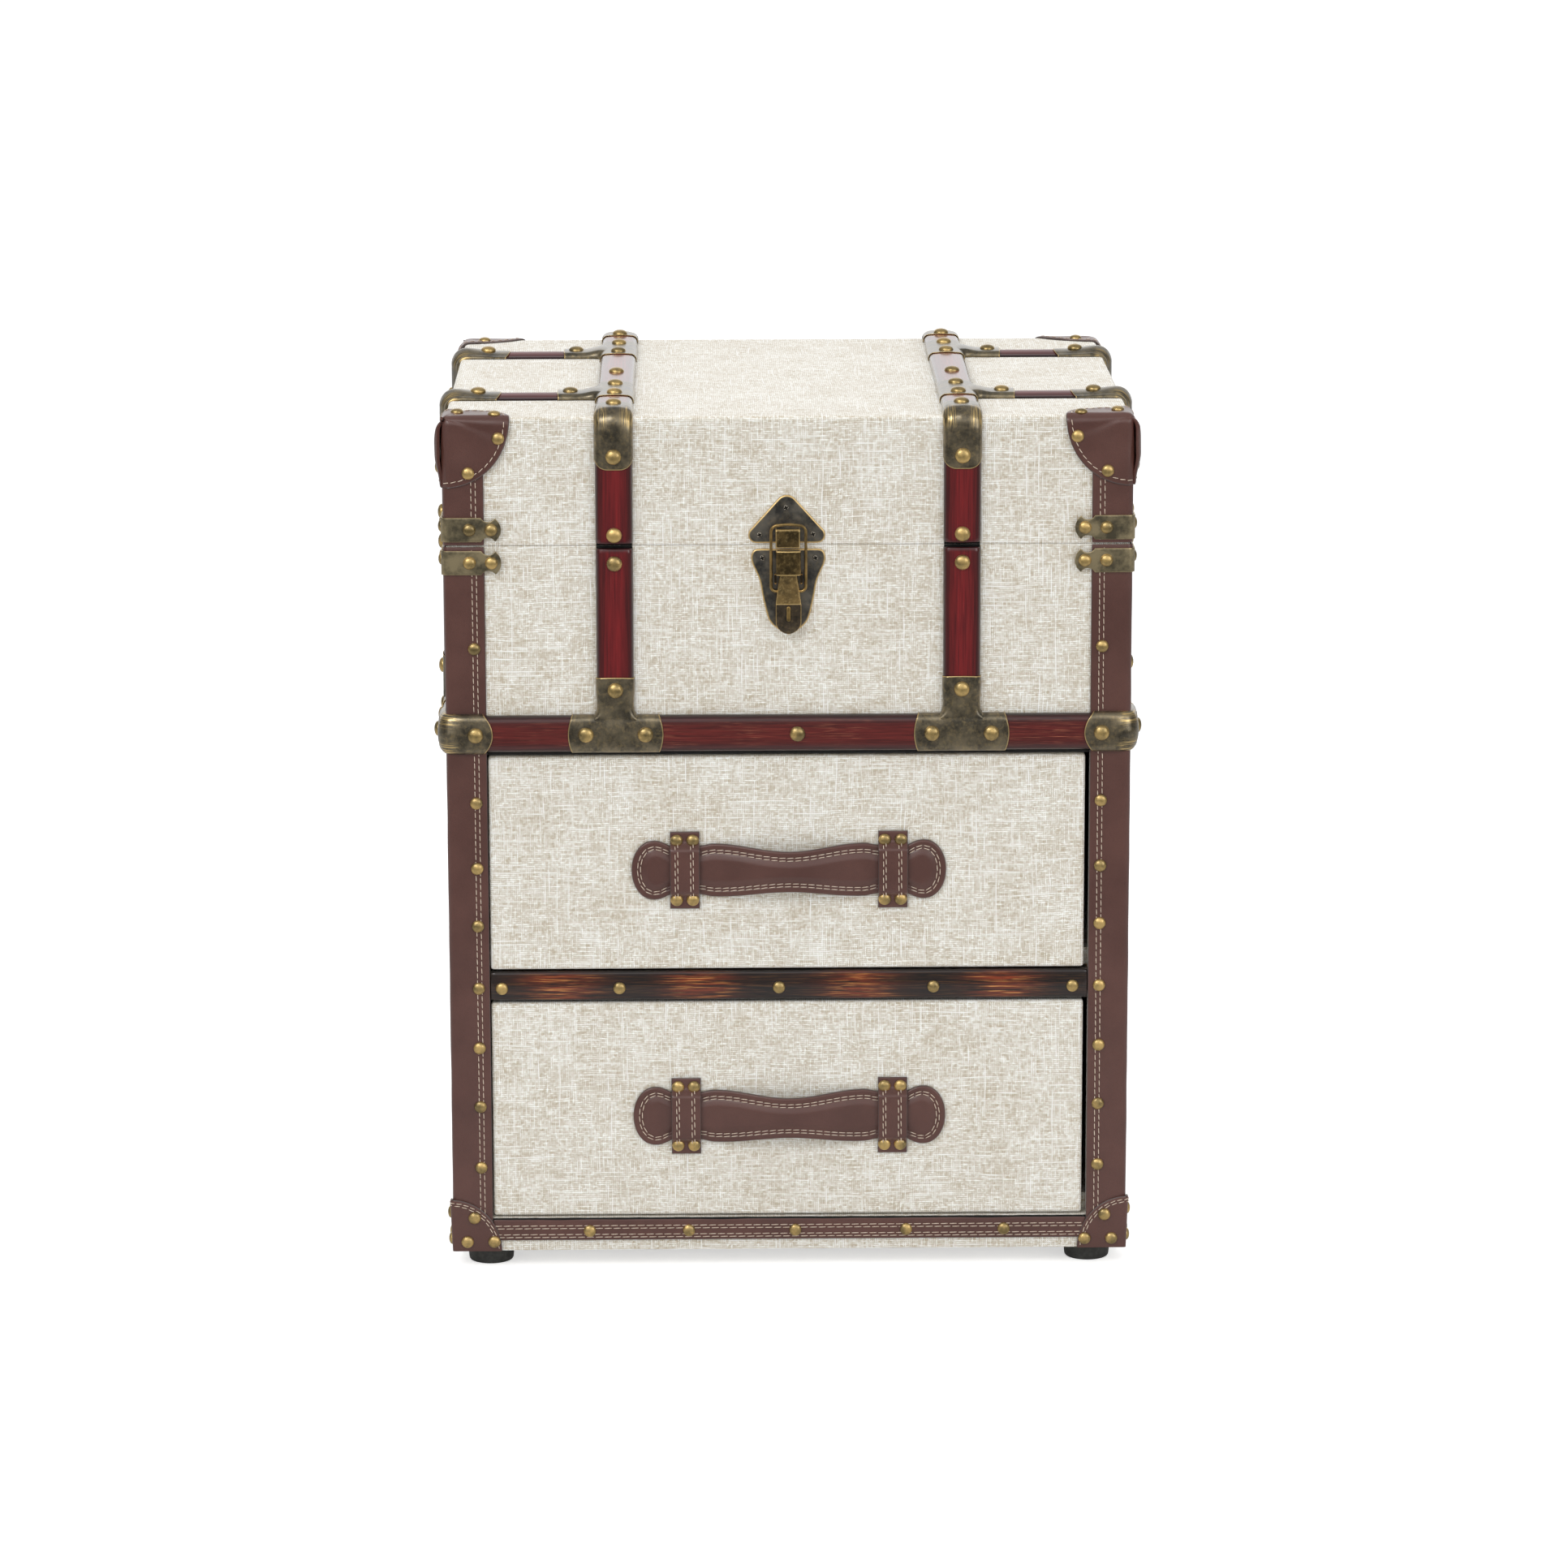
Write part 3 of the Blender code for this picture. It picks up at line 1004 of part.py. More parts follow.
def build_lever(lever):
    """The latch lever: a folded sheet, two side flanges and the pivot pin."""
    half = LEVER_WIDTH / 2
    head_y = PIVOT_Y - LEVER_HEAD_OUT
    head_top = PIVOT_Z + LEVER_HEAD_RISE
    head_low = head_top - LEVER_HEAD_LENGTH
    knee_z = head_low - LEVER_RAMP_LENGTH
    tip_z = knee_z - LEVER_TAB_LENGTH
    recess_y = head_y + LEVER_RECESS
    knee_y = head_y + LEVER_KNEE_IN
    tip_y = head_y + LEVER_TIP_IN
    outside = [(head_y, head_top, half), (head_y, head_low, half),
               (recess_y, head_low - LEVER_SHEET, LEVER_RECESS_HALF), (knee_y, knee_z, half),
               (tip_y - LEVER_SHEET, tip_z + LEVER_TIP_TAPER, half), (tip_y, tip_z, LEVER_TIP_HALF)]
    bm = bmesh.new()
    rings = []
    for y, z, wide in outside:
        rings.append([(-wide, y, z), (wide, y, z), (wide, y + LEVER_SHEET, z), (-wide, y + LEVER_SHEET, z)])
    add_rings(bm, rings)
    sheet = solid_from(bm)
    slot_middle = CLASP_TOP - CLASP_LENGTH + STAPLE_FROM_TIP
    slot_half = STAPLE_THICKNESS / 2 + CLEARANCE * 2
    slot_reach = STAPLE_HEIGHT / 2 + STAPLE_SLOT_PLAY
    slot = block((-slot_half, tip_y - BOARD, slot_middle - slot_reach),
                 (slot_half, tip_y + BOARD, slot_middle + slot_reach))
    sheet = cut(sheet, slot)
    back = CLASP_FACE - LEVER_SHEET * 1.5
    bury = LEVER_SHEET / 2
    flange = [(head_y + bury, head_top - bury), (head_y + bury, head_low),
              (recess_y + bury, head_low - LEVER_SHEET), (knee_y + bury, knee_z + bury),
              (PIVOT_Y, knee_z + bury), (BAIL_Y + LEVER_SHEET * 1.5, BAIL_Z - BAIL_WIRE * 2.5),
              (back, BAIL_Z + BAIL_WIRE * 2), (back, PIVOT_Z - LEVER_PIN_RADIUS * 2),
              (PIVOT_Y + LEVER_PIN_RADIUS * 2, PIVOT_Z + LEVER_PIN_RADIUS),
              (PIVOT_Y + LEVER_PIN_RADIUS * 2, head_top - bury)]
    for side in (-1, 1):
        wall = prism(flange, "X", *sorted((side * (half - LEVER_SHEET), side * (half - CLEARANCE / 6))))
        bore_span = sorted((side * (half - BOARD / 2), side * BOARD * 2))
        bore = rod("X", (BAIL_Y, BAIL_Z), BAIL_WIRE + CLEARANCE * 1.2, *bore_span)
        sheet = join(sheet, cut(wall, bore))
    pin_half = half + CLEARANCE + EAR_THICKNESS + CLEARANCE
    pin = rod("X", (PIVOT_Y, PIVOT_Z), LEVER_PIN_RADIUS, -pin_half, pin_half)
    place(join(sheet, pin), "latch_lever", "clasp_bronze", lever)


def build_bail(bail):
    """The wire loop: it turns in the lever's flanges and leans out over the hook."""
    top_y = CLASP_FACE - HOOK_REACH - BAIL_WIRE - CLEARANCE * 1.4
    lean = top_y - BAIL_Y
    half = BAIL_WIDTH / 2
    outline = rounded([(-half, 0.0, BAIL_CORNER * 0.75), (half, 0.0, BAIL_CORNER * 0.75),
                       (half, BAIL_LENGTH, BAIL_CORNER), (0.0, BAIL_LENGTH + BAIL_WIRE * 0.6, 0),
                       (-half, BAIL_LENGTH, BAIL_CORNER)], 4)
    slope = Vector((0.0, lean, BAIL_LENGTH)).normalized()
    facing = Vector((1.0, 0.0, 0.0)).cross(slope)
    points = [Vector((a, BAIL_Y, BAIL_Z)) + slope * b for a, b in outline]
    rings = []
    for i, point in enumerate(points):
        run = (points[(i + 1) % len(points)] - points[i - 1]).normalized()
        sideways = run.cross(facing)
        rings.append([point + (facing * math.cos(a) + sideways * math.sin(a)) * BAIL_WIRE
                      for a in [math.tau * k / 8 for k in range(8)]])
    place(rings_solid(rings, closed=True), "latch_bail", "clasp_bronze", bail)


def main():
    clear_scene()
    trunk = pivot("trunk", None, (0.0, BODY_SHIFT, 0.0))
    lid = pivot("lid_hinge_axis", trunk, (0.0, HINGE_Y, HINGE_Z))
    lever = pivot("latch_lever_axis", trunk, (0.0, PIVOT_Y, PIVOT_Z))
    bail = pivot("latch_bail_axis", lever, (0.0, BAIL_Y, BAIL_Z))
    lower = pivot("drawer_lower_slide", trunk, (0.0, DRAWER_FACE, BASE_TOP))
    upper = pivot("drawer_upper_slide", trunk, (0.0, DRAWER_FACE, DIVIDER_TOP))
    build_case(trunk)
    build_feet(trunk)
    build_edge_leathers(trunk)
    build_base_leathers(trunk)
    build_belt(trunk)
    build_belt_caps(trunk)
    build_t_caps(trunk)
    build_corner_straps(trunk, lid)
    build_lid(lid)
    build_lid_slats(lid)
    build_slat_caps(lid)
    build_lid_corners(lid)
    build_hinges(trunk, lid)
    build_drawer("lower", BASE_TOP, DIVIDER_BOTTOM, lower)
    build_drawer("upper", DIVIDER_TOP, OPENING_TOP, upper)
    build_clasp_plate(trunk)
    build_hook_plate(lid)
    build_lever(lever)
    build_bail(bail)


main()
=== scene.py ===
"""Looks of the trunk with two drawers: linen, leather, lacquered slats and old brass.

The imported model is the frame. The linen boards, drawer boxes and hinges keep
their CAD solids. Everything else that shows is a surface worked out here, in
metres, in the frame's own place.
"""

import math

import bmesh
import bpy
import numpy as np
from mathutils import Matrix, Vector


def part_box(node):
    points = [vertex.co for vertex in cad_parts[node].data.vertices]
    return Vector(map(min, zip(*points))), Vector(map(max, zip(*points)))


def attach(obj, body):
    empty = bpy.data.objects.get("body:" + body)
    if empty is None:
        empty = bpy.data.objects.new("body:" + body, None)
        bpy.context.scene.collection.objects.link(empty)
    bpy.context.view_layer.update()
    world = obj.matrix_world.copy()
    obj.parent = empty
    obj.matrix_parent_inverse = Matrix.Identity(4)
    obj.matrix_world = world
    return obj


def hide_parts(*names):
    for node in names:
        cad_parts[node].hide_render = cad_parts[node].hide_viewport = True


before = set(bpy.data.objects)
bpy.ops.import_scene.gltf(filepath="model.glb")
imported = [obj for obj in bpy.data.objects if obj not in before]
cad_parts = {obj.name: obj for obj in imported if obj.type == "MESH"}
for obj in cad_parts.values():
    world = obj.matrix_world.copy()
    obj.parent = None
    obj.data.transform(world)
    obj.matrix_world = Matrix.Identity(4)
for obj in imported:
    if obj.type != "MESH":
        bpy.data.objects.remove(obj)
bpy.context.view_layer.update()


def box_of(node):
    """The low and the high corner of a CAD node's box."""
    low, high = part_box(node)
    return np.array(low), np.array(high)


# Places read from the frame
side_low, side_high = box_of("side_panel_right")
lid_low, lid_high = box_of("lid_shell")
belt_low, belt_high = box_of("belt_front")
slat_low, slat_high = box_of("front_slat_right")
strip_low, strip_high = box_of("base_strip_leather")
rail_low, rail_high = box_of("divider_slat")
body_strap_low, body_strap_high = box_of("corner_strap_body_right")
lid_strap_low, lid_strap_high = box_of("corner_strap_lid_right")
HALF_X = side_high[0]
FRONT = box_of("chest_front_panel")[0][1]
BACK = box_of("back_panel")[1][1]
MID_Y = (FRONT + BACK) / 2
HALF_Y = (BACK - FRONT) / 2
FLOOR_Z = side_low[2]
SEAM = side_high[2]
LID_BOTTOM = lid_low[2]
LID_TOP = lid_high[2]
SLAT_X = (slat_low[0] + slat_high[0]) / 2
SLAT_HALF = (slat_high[0] - slat_low[0]) / 2
SLAT_THICK = slat_high[1] - slat_low[1]
BELT_Z = (belt_low[2] + belt_high[2]) / 2
BELT_HALF = (belt_high[2] - belt_low[2]) / 2

# Sizes that the boxes do not give, in metres. Linen: threads to the metre, rounding of its edges
THREADS = 700.0
THICK_THREADS = 360.0
LINEN_EDGE = 0.0028

# Gaps and soft edges, and the level of the middle that open sheets face away from
GAP = 0.0003
ON_TOP = 0.0001
SOFT_EDGE = 0.0003
SHEET_MIDDLE_Z = 0.3

# Slats: their rounding and crown; the lid's cross slats, from the middle and by share of thickness
SLAT_BEND = 0.005
SLAT_EDGE = 0.0045
CROWN = 0.0005
CROSS_Y = 0.100
CROSS_THIN = 0.55
CROSS_CROWN = 0.0038

# Leather on the case's edges and at its foot, with the stitches' distances from a border
LEATHER = 0.0017
EDGE_WIDTH = 0.028
EDGE_BEND = 0.0035
EDGE_STITCH_INSETS = (0.0056, 0.0086)
BASE_WIDE = 0.036
BASE_TALL = 0.0375
BASE_TAPER = 0.0016
STITCH_PITCH = 0.0049
STITCH_LENGTH = 0.0041
STITCH_WIDTH = 0.00029
STRIP_STITCHES_Z = (0.0306, 0.0286, 0.0243, 0.0223)

# Brass straps, and caps folded over the slats: how far each reaches from its fold, its bowed
# end, its rounded corners, and its nails down the wall and over the top
STRAP_LEG = 0.041
STRAP_SHEET = 0.0012
COVER = 0.0004
COVER_LIP = 0.0006
COVER_RISE = SLAT_THICK + 0.0007
COVER_EDGE = 0.0050
CAP_ROWS = 90
CAP_BALL = 0.3
CAP_BOW = 0.0030
CAP_ROUND = 0.009
CAP_DOWN = 0.0345
CAP_OVER = 0.022
CAP_NAILS = (0.0255, 0.0185)
SIDE_CAP_DOWN = 0.036
SIDE_CAP_OVER = 0.032
SIDE_CAP_NAILS = (0.0265, 0.019)
BELT_CAP_LEG = 0.0305
BELT_CAP_NAIL = 0.0187
T_BAR_HALF = 0.0325
T_BAR_NAIL = 0.0203
T_STEM = 0.027
T_STEM_NAIL = 0.018

# Hinge screws
HINGE_SHEET = 0.0015
HINGE_SCREW_RISE = 0.018
HINGE_SCREWS_X = (-0.011, 0.0, 0.011)

# Nails: radius of their heads, and their places; a base corner's by distance from the edge and height
LARGE_NAIL = 0.0054
SMALL_NAIL = 0.0044
EDGE_NAIL_INSET = 0.0202
EDGE_NAIL_HEIGHTS = (0.0729, 0.1166, 0.1586, 0.2011, 0.2452, 0.2859, 0.3318, 0.4393)
BASE_NAILS = ((0.0171, 0.0370), (0.0120, 0.0195), (0.0306, 0.0195))
STRIP_NAILS_X = (-0.1390, -0.0700, 0.0040, 0.0810, 0.1490)
STRIP_NAILS_Z = 0.0268
STRAP_NAILS = (0.0194, 0.0342)
RAIL_NAILS_X = (-0.198, -0.117, -0.007, 0.0995, 0.1955)
BELT_NAIL_X = 0.006
BACK_NAILS_X = (-0.12, 0.0, 0.12)
SEAM_NAIL_DROP = 0.0115

X_AXIS, Y_AXIS, Z_AXIS = np.eye(3)
SIDES = (("left", -1), ("right", 1))
ENDS = (("front", -1), ("back", 1))
LEVELS = ("upper", "lower")
WHITE = (1.0, 1.0, 1.0, 1.0)


def feed(tree, sockets, values):
    """Set each named input to its value, or link it to the socket given for it."""
    for key, value in values.items():
        if isinstance(value, bpy.types.NodeSocket):
            tree.links.new(value, sockets[key])
        else:
            sockets[key].default_value = value


def add(tree, kind, settings=None, inputs=None):
    """A node with its settings, and its inputs set to values or linked to sockets."""
    node = tree.nodes.new(kind)
    for key, value in (settings or {}).items():
        setattr(node, key, value)
    feed(tree, node.inputs, inputs or {})
    return node


def split(tree, vector):
    """The three parts of a vector."""
    return add(tree, "ShaderNodeSeparateXYZ", None, {0: vector}).outputs


def vector_of(tree, *parts):
    """A vector put together from its parts."""
    return add(tree, "ShaderNodeCombineXYZ", None, dict(enumerate(parts))).outputs[0]


def calc(tree, operation, *values, clamp=False):
    """One step of arithmetic."""
    node = add(tree, "ShaderNodeMath", {"operation": operation, "use_clamp": clamp},
               dict(enumerate(values)))
    return node.outputs[0]


def weighted(tree, *pairs):
    """A sum of values, each times its weight."""
    total = 0.0
    for value, weight in pairs:
        total = calc(tree, "MULTIPLY_ADD", value, weight, total)
    return total


def blend(tree, factor, first, second):
    """A value between two values."""
    return add(tree, "ShaderNodeMix", None, {0: factor, 2: first, 3: second}).outputs[0]


def between(tree, factor, first, second):
    """A colour between two colours."""
    node = add(tree, "ShaderNodeMix", {"data_type": "RGBA"}, {0: factor, 6: first, 7: second})
    return node.outputs[2]


def times(tree, first, second):
    """Two colours multiplied."""
    node = add(tree, "ShaderNodeMix", {"data_type": "RGBA", "blend_type": "MULTIPLY"},
               {0: 1.0, 6: first, 7: second})
    return node.outputs[2]


def band(tree, value, low, high, out_low=0.0, out_high=1.0):
    """A value stretched from one range to another and held at its ends."""
    node = add(tree, "ShaderNodeMapRange", {"clamp": True},
               {0: value, 1: low, 2: high, 3: out_low, 4: out_high})
    return node.outputs[0]


def cloud(tree, vector, scale, detail=3.0, roughness=0.55):
    """Soft cloudy noise from 0 to 1."""
    node = add(tree, "ShaderNodeTexNoise", None,
               {"Vector": vector, "Scale": scale, "Detail": detail, "Roughness": roughness})
    return node.outputs["Fac"]


def stretched(tree, vector, scale):
    """A place scaled by a different number each way."""
    node = add(tree, "ShaderNodeMapping", None, {"Vector": vector, "Scale": scale})
    return node.outputs[0]


def flat_map(tree):
    """Place along and across a piece, with a third value that differs from piece to piece."""
    flat = split(tree, add(tree, "ShaderNodeUVMap", {"uv_map": "flat"}).outputs[0])
    spot = split(tree, object_place(tree))
    return vector_of(tree, flat[0], flat[1], weighted(tree, (spot[0], 20.0), (spot[1], 1.0)))


def object_place(tree):
    """The place of a point on its object, in metres."""
    return add(tree, "ShaderNodeTexCoord").outputs["Object"]


def rgba(red, green, blue):
    """A colour written as it looks on screen, 0 to 255, as linear values."""
    screen = np.array([red, green, blue]) / 255.0
    linear = np.where(screen <= 0.04045, screen / 12.92, ((screen + 0.055) / 1.055) ** 2.4)
    return (*[float(value) for value in linear], 1.0)


def new_group(name, inputs, outputs):
    """An empty node group with named value and colour sockets."""
    group = bpy.data.node_groups.new(name, "ShaderNodeTree")
    for label, kind, value in inputs:
        socket = group.interface.new_socket(label, in_out="INPUT", socket_type=kind)
        socket.default_value = value
    for label, kind in outputs:
        group.interface.new_socket(label, in_out="OUTPUT", socket_type=kind)
    given = group.nodes.new("NodeGroupInput").outputs
    return group, given, group.nodes.new("NodeGroupOutput").inputs


def thread_run(group, thread, other, shift):
    """One set of parallel threads: their round tops, tone, flecks and thick slubs."""
    moved = calc(group, "ADD", thread, shift)

    def bowed(count):
        """0 on the middle line of each thread and 1 at its borders."""
        return calc(group, "ABSOLUTE", calc(group, "MULTIPLY_ADD", calc(group, "FRACT", count), 2.0, -1.0))

    def seat(number, apart, stretch, layer):
        """A place that differs from thread to thread and runs on along each thread."""
        return vector_of(group, calc(group, "MULTIPLY", number, apart),
                         calc(group, "MULTIPLY", other, stretch), layer)

    count = calc(group, "MULTIPLY", moved, THREADS)
    number = calc(group, "FLOOR", count)
    top = calc(group, "SUBTRACT", 1.0, calc(group, "POWER", bowed(count), 1.2))
    tone = cloud(group, seat(number, 7.31, 60.0, 0.0), 1.0, 3.0, 0.7)
    fleck = cloud(group, seat(number, 3.77, 300.0, 4.0), 1.0, 2.0, 0.6)
    thick = calc(group, "MULTIPLY", moved, THICK_THREADS)
    swollen = cloud(group, seat(calc(group, "FLOOR", thick), 5.3, 24.0, 9.0), 1.0, 2.0, 0.6)
    slub = calc(group, "MULTIPLY", band(group, swollen, 0.54, 0.66),
                band(group, bowed(thick), 0.22, 0.50, 1.0, 0.0))
    return number, top, tone, fleck, slub


def weave_group():
    """Plain weave laid flat on whichever way a face looks, with slubs and flecks."""
    group, _, out = new_group("linen_weave", [],
                              [("Color", "NodeSocketColor"), ("Height", "NodeSocketFloat")])
    place = add(group, "ShaderNodeTexCoord").outputs
    spot, facing = split(group, place["Object"]), split(group, place["Normal"])
    to_side = calc(group, "GREATER_THAN", calc(group, "ABSOLUTE", facing[0]), 0.7)
    to_top = calc(group, "GREATER_THAN", calc(group, "ABSOLUTE", facing[2]), 0.7)
    first = blend(group, to_side, spot[0], spot[1])
    second = blend(group, to_top, spot[2], spot[1])
    sway = cloud(group, place["Object"], 14.0, 2.0)
    shift = calc(group, "MULTIPLY_ADD", sway, 0.006, -0.003)
    warp, weft = thread_run(group, first, second, shift), thread_run(group, second, first, shift)
    above = calc(group, "PINGPONG", calc(group, "ADD", warp[0], weft[0]), 1.0)
    over = calc(group, "GREATER_THAN", weft[1], calc(group, "MULTIPLY_ADD", above, -0.25, warp[1]))
    patches = cloud(group, place["Object"], 26.0, 4.0, 0.6)
    seen, flecks = (blend(group, over, warp[k], weft[k]) for k in (2, 3))
    tone = weighted(group, (seen, 0.40), (flecks, 0.38), (patches, 0.09))
    cream = between(group, band(group, tone, 0.35, 0.52), rgba(200, 187, 165), rgba(255, 255, 250))
    slub = calc(group, "MAXIMUM", warp[4], weft[4])
    lit = between(group, calc(group, "MULTIPLY", slub, 0.85), cream, rgba(252, 251, 247))
    pit = calc(group, "MAXIMUM", warp[1], weft[1])
    shade = between(group, band(group, pit, 0.12, 0.62), (0.46, 0.43, 0.34, 1.0), WHITE)
    feed(group, out, {"Color": times(group, lit, shade),
                      "Height": weighted(group, (pit, 0.8), (seen, 0.5), (slub, 0.7))})
    return group


def hide_group():
    """Fine pebbled leather with a cloudy tone and grey cut edges."""
    group, given, out = new_group(
        "leather_hide",
        [("Tone", "NodeSocketColor", rgba(92, 60, 53)), ("Rim", "NodeSocketFloat", 1.0)],
        [("Color", "NodeSocketColor"), ("Roughness", "NodeSocketFloat"), ("Height", "NodeSocketFloat")])
    place = object_place(group)
    pebble = add(group, "ShaderNodeTexVoronoi", {"feature": "DISTANCE_TO_EDGE"},
                 {"Vector": place, "Scale": 1150.0}).outputs["Distance"]
    crease = cloud(group, place, 420.0, 4.0, 0.65)
    mottle = cloud(group, place, 30.0, 4.0)
    dark = times(group, given["Tone"], (0.78, 0.75, 0.75, 1.0))
    tone = between(group, band(group, mottle, 0.34, 0.66), dark, given["Tone"])
    grained = between(group, band(group, pebble, 0.0, 0.14, 0.25, 0.0), tone, rgba(42, 26, 24))
    ragged = calc(group, "ADD", given["Rim"], calc(group, "MULTIPLY_ADD", crease, 0.0006, -0.0003))
    edge = band(group, ragged, 0.00025, 0.0007, 0.75, 0.0)
    feed(group, out, {"Color": between(group, edge, grained, rgba(70, 64, 61)),
                      "Roughness": band(group, mottle, 0.3, 0.7, 0.34, 0.44),
                      "Height": weighted(group, (band(group, pebble, 0.0, 0.22), 0.6), (crease, 0.8))})
    return group


def patina_group():
    """Old brass: a dark skin with soft mottling, worn to gold at rims and creases."""
    group, given, out = new_group(
        "brass_patina",
        [("Skin", "NodeSocketColor", rgba(92, 86, 66)), ("Gold", "NodeSocketColor", rgba(196, 164, 96)),
         ("Rim", "NodeSocketFloat", 1.0), ("Crease", "NodeSocketFloat", 0.0),
         ("Rim width", "NodeSocketFloat", 0.0004), ("Mottle", "NodeSocketFloat", 0.4)],
        [("Color", "NodeSocketColor"), ("Roughness", "NodeSocketFloat"), ("Height", "NodeSocketFloat")])
    place = object_place(group)
    patches = cloud(group, place, 75.0, 5.0, 0.65)
    specks = cloud(group, place, 1000.0, 3.0, 0.7)
    wear = cloud(group, place, 380.0, 5.0, 0.7)
    lines = cloud(group, stretched(group, flat_map(group), (130.0, 1300.0, 1.0)), 1.0, 3.0, 0.6)
    dark = times(group, given["Skin"], (0.38, 0.40, 0.44, 1.0))
    skin = between(group, band(group, patches, 0.38, 0.60), dark, given["Skin"])
    ragged = calc(group, "ADD", given["Rim"], calc(group, "MULTIPLY_ADD", specks, 0.0006, -0.0003))
    rim = band(group, calc(group, "DIVIDE", ragged, given["Rim width"]), 0.5, 1.4, 0.9, 0.0)
    ridge = calc(group, "MULTIPLY", band(group, lines, 0.47, 0.58), given["Crease"])
    rubbed = calc(group, "MULTIPLY", band(group, wear, 0.50, 0.74), given["Mottle"])
    worn = calc(group, "MAXIMUM", calc(group, "MAXIMUM", rim, ridge), rubbed, clamp=True)
    scored = calc(group, "MULTIPLY", lines, given["Crease"])
    feed(group, out, {"Color": between(group, worn, skin, given["Gold"]),
                      "Roughness": band(group, patches, 0.3, 0.7, 0.30, 0.42),
                      "Height": weighted(group, (specks, 0.5), (patches, 0.8), (scored, 1.0))})
    return group


WEAVE = weave_group()
HIDE = hide_group()
PATINA = patina_group()


def new_material(name):
    """A new material with its node tree and its shader."""
    material = bpy.data.materials.new(name)
    material.use_nodes = True
    return material, material.node_tree, material.node_tree.nodes["Principled BSDF"]


def mark(tree, name):
    """A mark that the mesh holds at its points."""
    return add(tree, "ShaderNodeAttribute", {"attribute_name": name}).outputs["Fac"]


def rough_up(tree, shader, height, distance, strength):
    """Relief from a height."""
    bump = add(tree, "ShaderNodeBump", None, {"Height": height, "Distance": distance, "Strength": strength})
    tree.links.new(bump.outputs[0], shader.inputs["Normal"])


def linen():
    """Matt woven cloth with a soft sheen."""
    material, tree, shader = new_material("cream_linen")
    cloth = add(tree, "ShaderNodeGroup", {"node_tree": WEAVE})
    feed(tree, shader.inputs, {"Base Color": cloth.outputs["Color"], "Roughness": 0.92,
                               "Specular IOR Level": 0.1, "Sheen Weight": 0.40})
    rough_up(tree, shader, cloth.outputs["Height"], 0.00025, 0.8)
    return material


def leather(name, tone):
    """Leather under a soft wax coat, grey where the mesh marks a cut rim."""
    material, tree, shader = new_material(name)
    hide = add(tree, "ShaderNodeGroup", {"node_tree": HIDE}, {"Tone": tone, "Rim": mark(tree, "rim")})
    feed(tree, shader.inputs, {"Base Color": hide.outputs["Color"], "Roughness": hide.outputs["Roughness"],
                               "Specular IOR Level": 0.4, "Coat Weight": 0.7, "Coat Roughness": 0.28})
    rough_up(tree, shader, hide.outputs["Height"], 0.00008, 0.6)
    return material


def brass(name, skin, gold, rim_width, mottle=0.3, coat=1.0, dull=1.0, marked=True):
    """Old brass; dull multiplies its roughness, and only a marked mesh has rims and creases."""
    material, tree, shader = new_material(name)
    marks = {"Rim": mark(tree, "rim"), "Crease": mark(tree, "crease")} if marked else {}
    patina = add(tree, "ShaderNodeGroup", {"node_tree": PATINA},
                 {"Skin": skin, "Gold": gold, "Rim width": rim_width, "Mottle": mottle, **marks})
    roughness = calc(tree, "MULTIPLY", patina.outputs["Roughness"], dull)
    feed(tree, shader.inputs, {"Base Color": patina.outputs["Color"], "Roughness": roughness, "Metallic": 1.0,
                               "Coat Weight": coat, "Coat Roughness": 0.22, "Coat IOR": 1.35})
    rough_up(tree, shader, patina.outputs["Height"], 0.00010, 0.4)
    return material


def coated(tree, shader, colour, roughness, coat=1.0):
    """Wood under a clear coat that hardly shows from straight ahead and mirrors at a flat angle."""
    feed(tree, shader.inputs, {"Base Color": colour, "Roughness": roughness, "Specular IOR Level": 0.25,
                               "Coat Weight": coat, "Coat Roughness": 0.12, "Coat IOR": 1.45})


def lacquer(name, tone, deep, fleck, amount, coat=1.0):
    """Lacquered wood: fine grain along the slat, darker towards its edges and ends, partly a dark stain and
    partly painted shade of the rounded edges.
    """
    material, tree, shader = new_material(name)
    flat = flat_map(tree)
    grain = cloud(tree, stretched(tree, flat, (22.0, 700.0, 1.0)), 1.0, 4.0, 0.6)
    hairs = cloud(tree, stretched(tree, flat, (46.0, 2600.0, 1.0)), 1.0, 2.0, 0.6)
    drift = cloud(tree, stretched(tree, flat, (9.0, 18.0, 1.0)), 1.0, 2.0)
    body = between(tree, band(tree, grain, 0.36, 0.66), deep, tone)
    shown = calc(tree, "MULTIPLY", band(tree, hairs, 0.56, 0.72, 0.0, amount), band(tree, drift, 0.40, 0.60))
    flecked = between(tree, shown, body, fleck)
    # Partly a dark stain, partly painted shade: the colour darkens towards the rounded long edges and near
    # the ends.
    side = calc(tree, "ABSOLUTE", mark(tree, "side"))
    uneven = calc(tree, "ADD", side, calc(tree, "MULTIPLY_ADD", drift, 0.16, -0.08))
    side_stain_and_shade = calc(tree, "POWER", band(tree, uneven, 0.16, 1.02), 1.5)
    ends = band(tree, mark(tree, "rim"), 0.0, 0.0035, 0.8, 0.0)
    edge_stain_and_shade = calc(tree, "MAXIMUM", side_stain_and_shade, ends, clamp=True)
    coated(tree, shader, between(tree, edge_stain_and_shade, flecked, rgba(24, 12, 12)), 0.30, coat)
    rough_up(tree, shader, grain, 0.00004, 0.4)
    return material


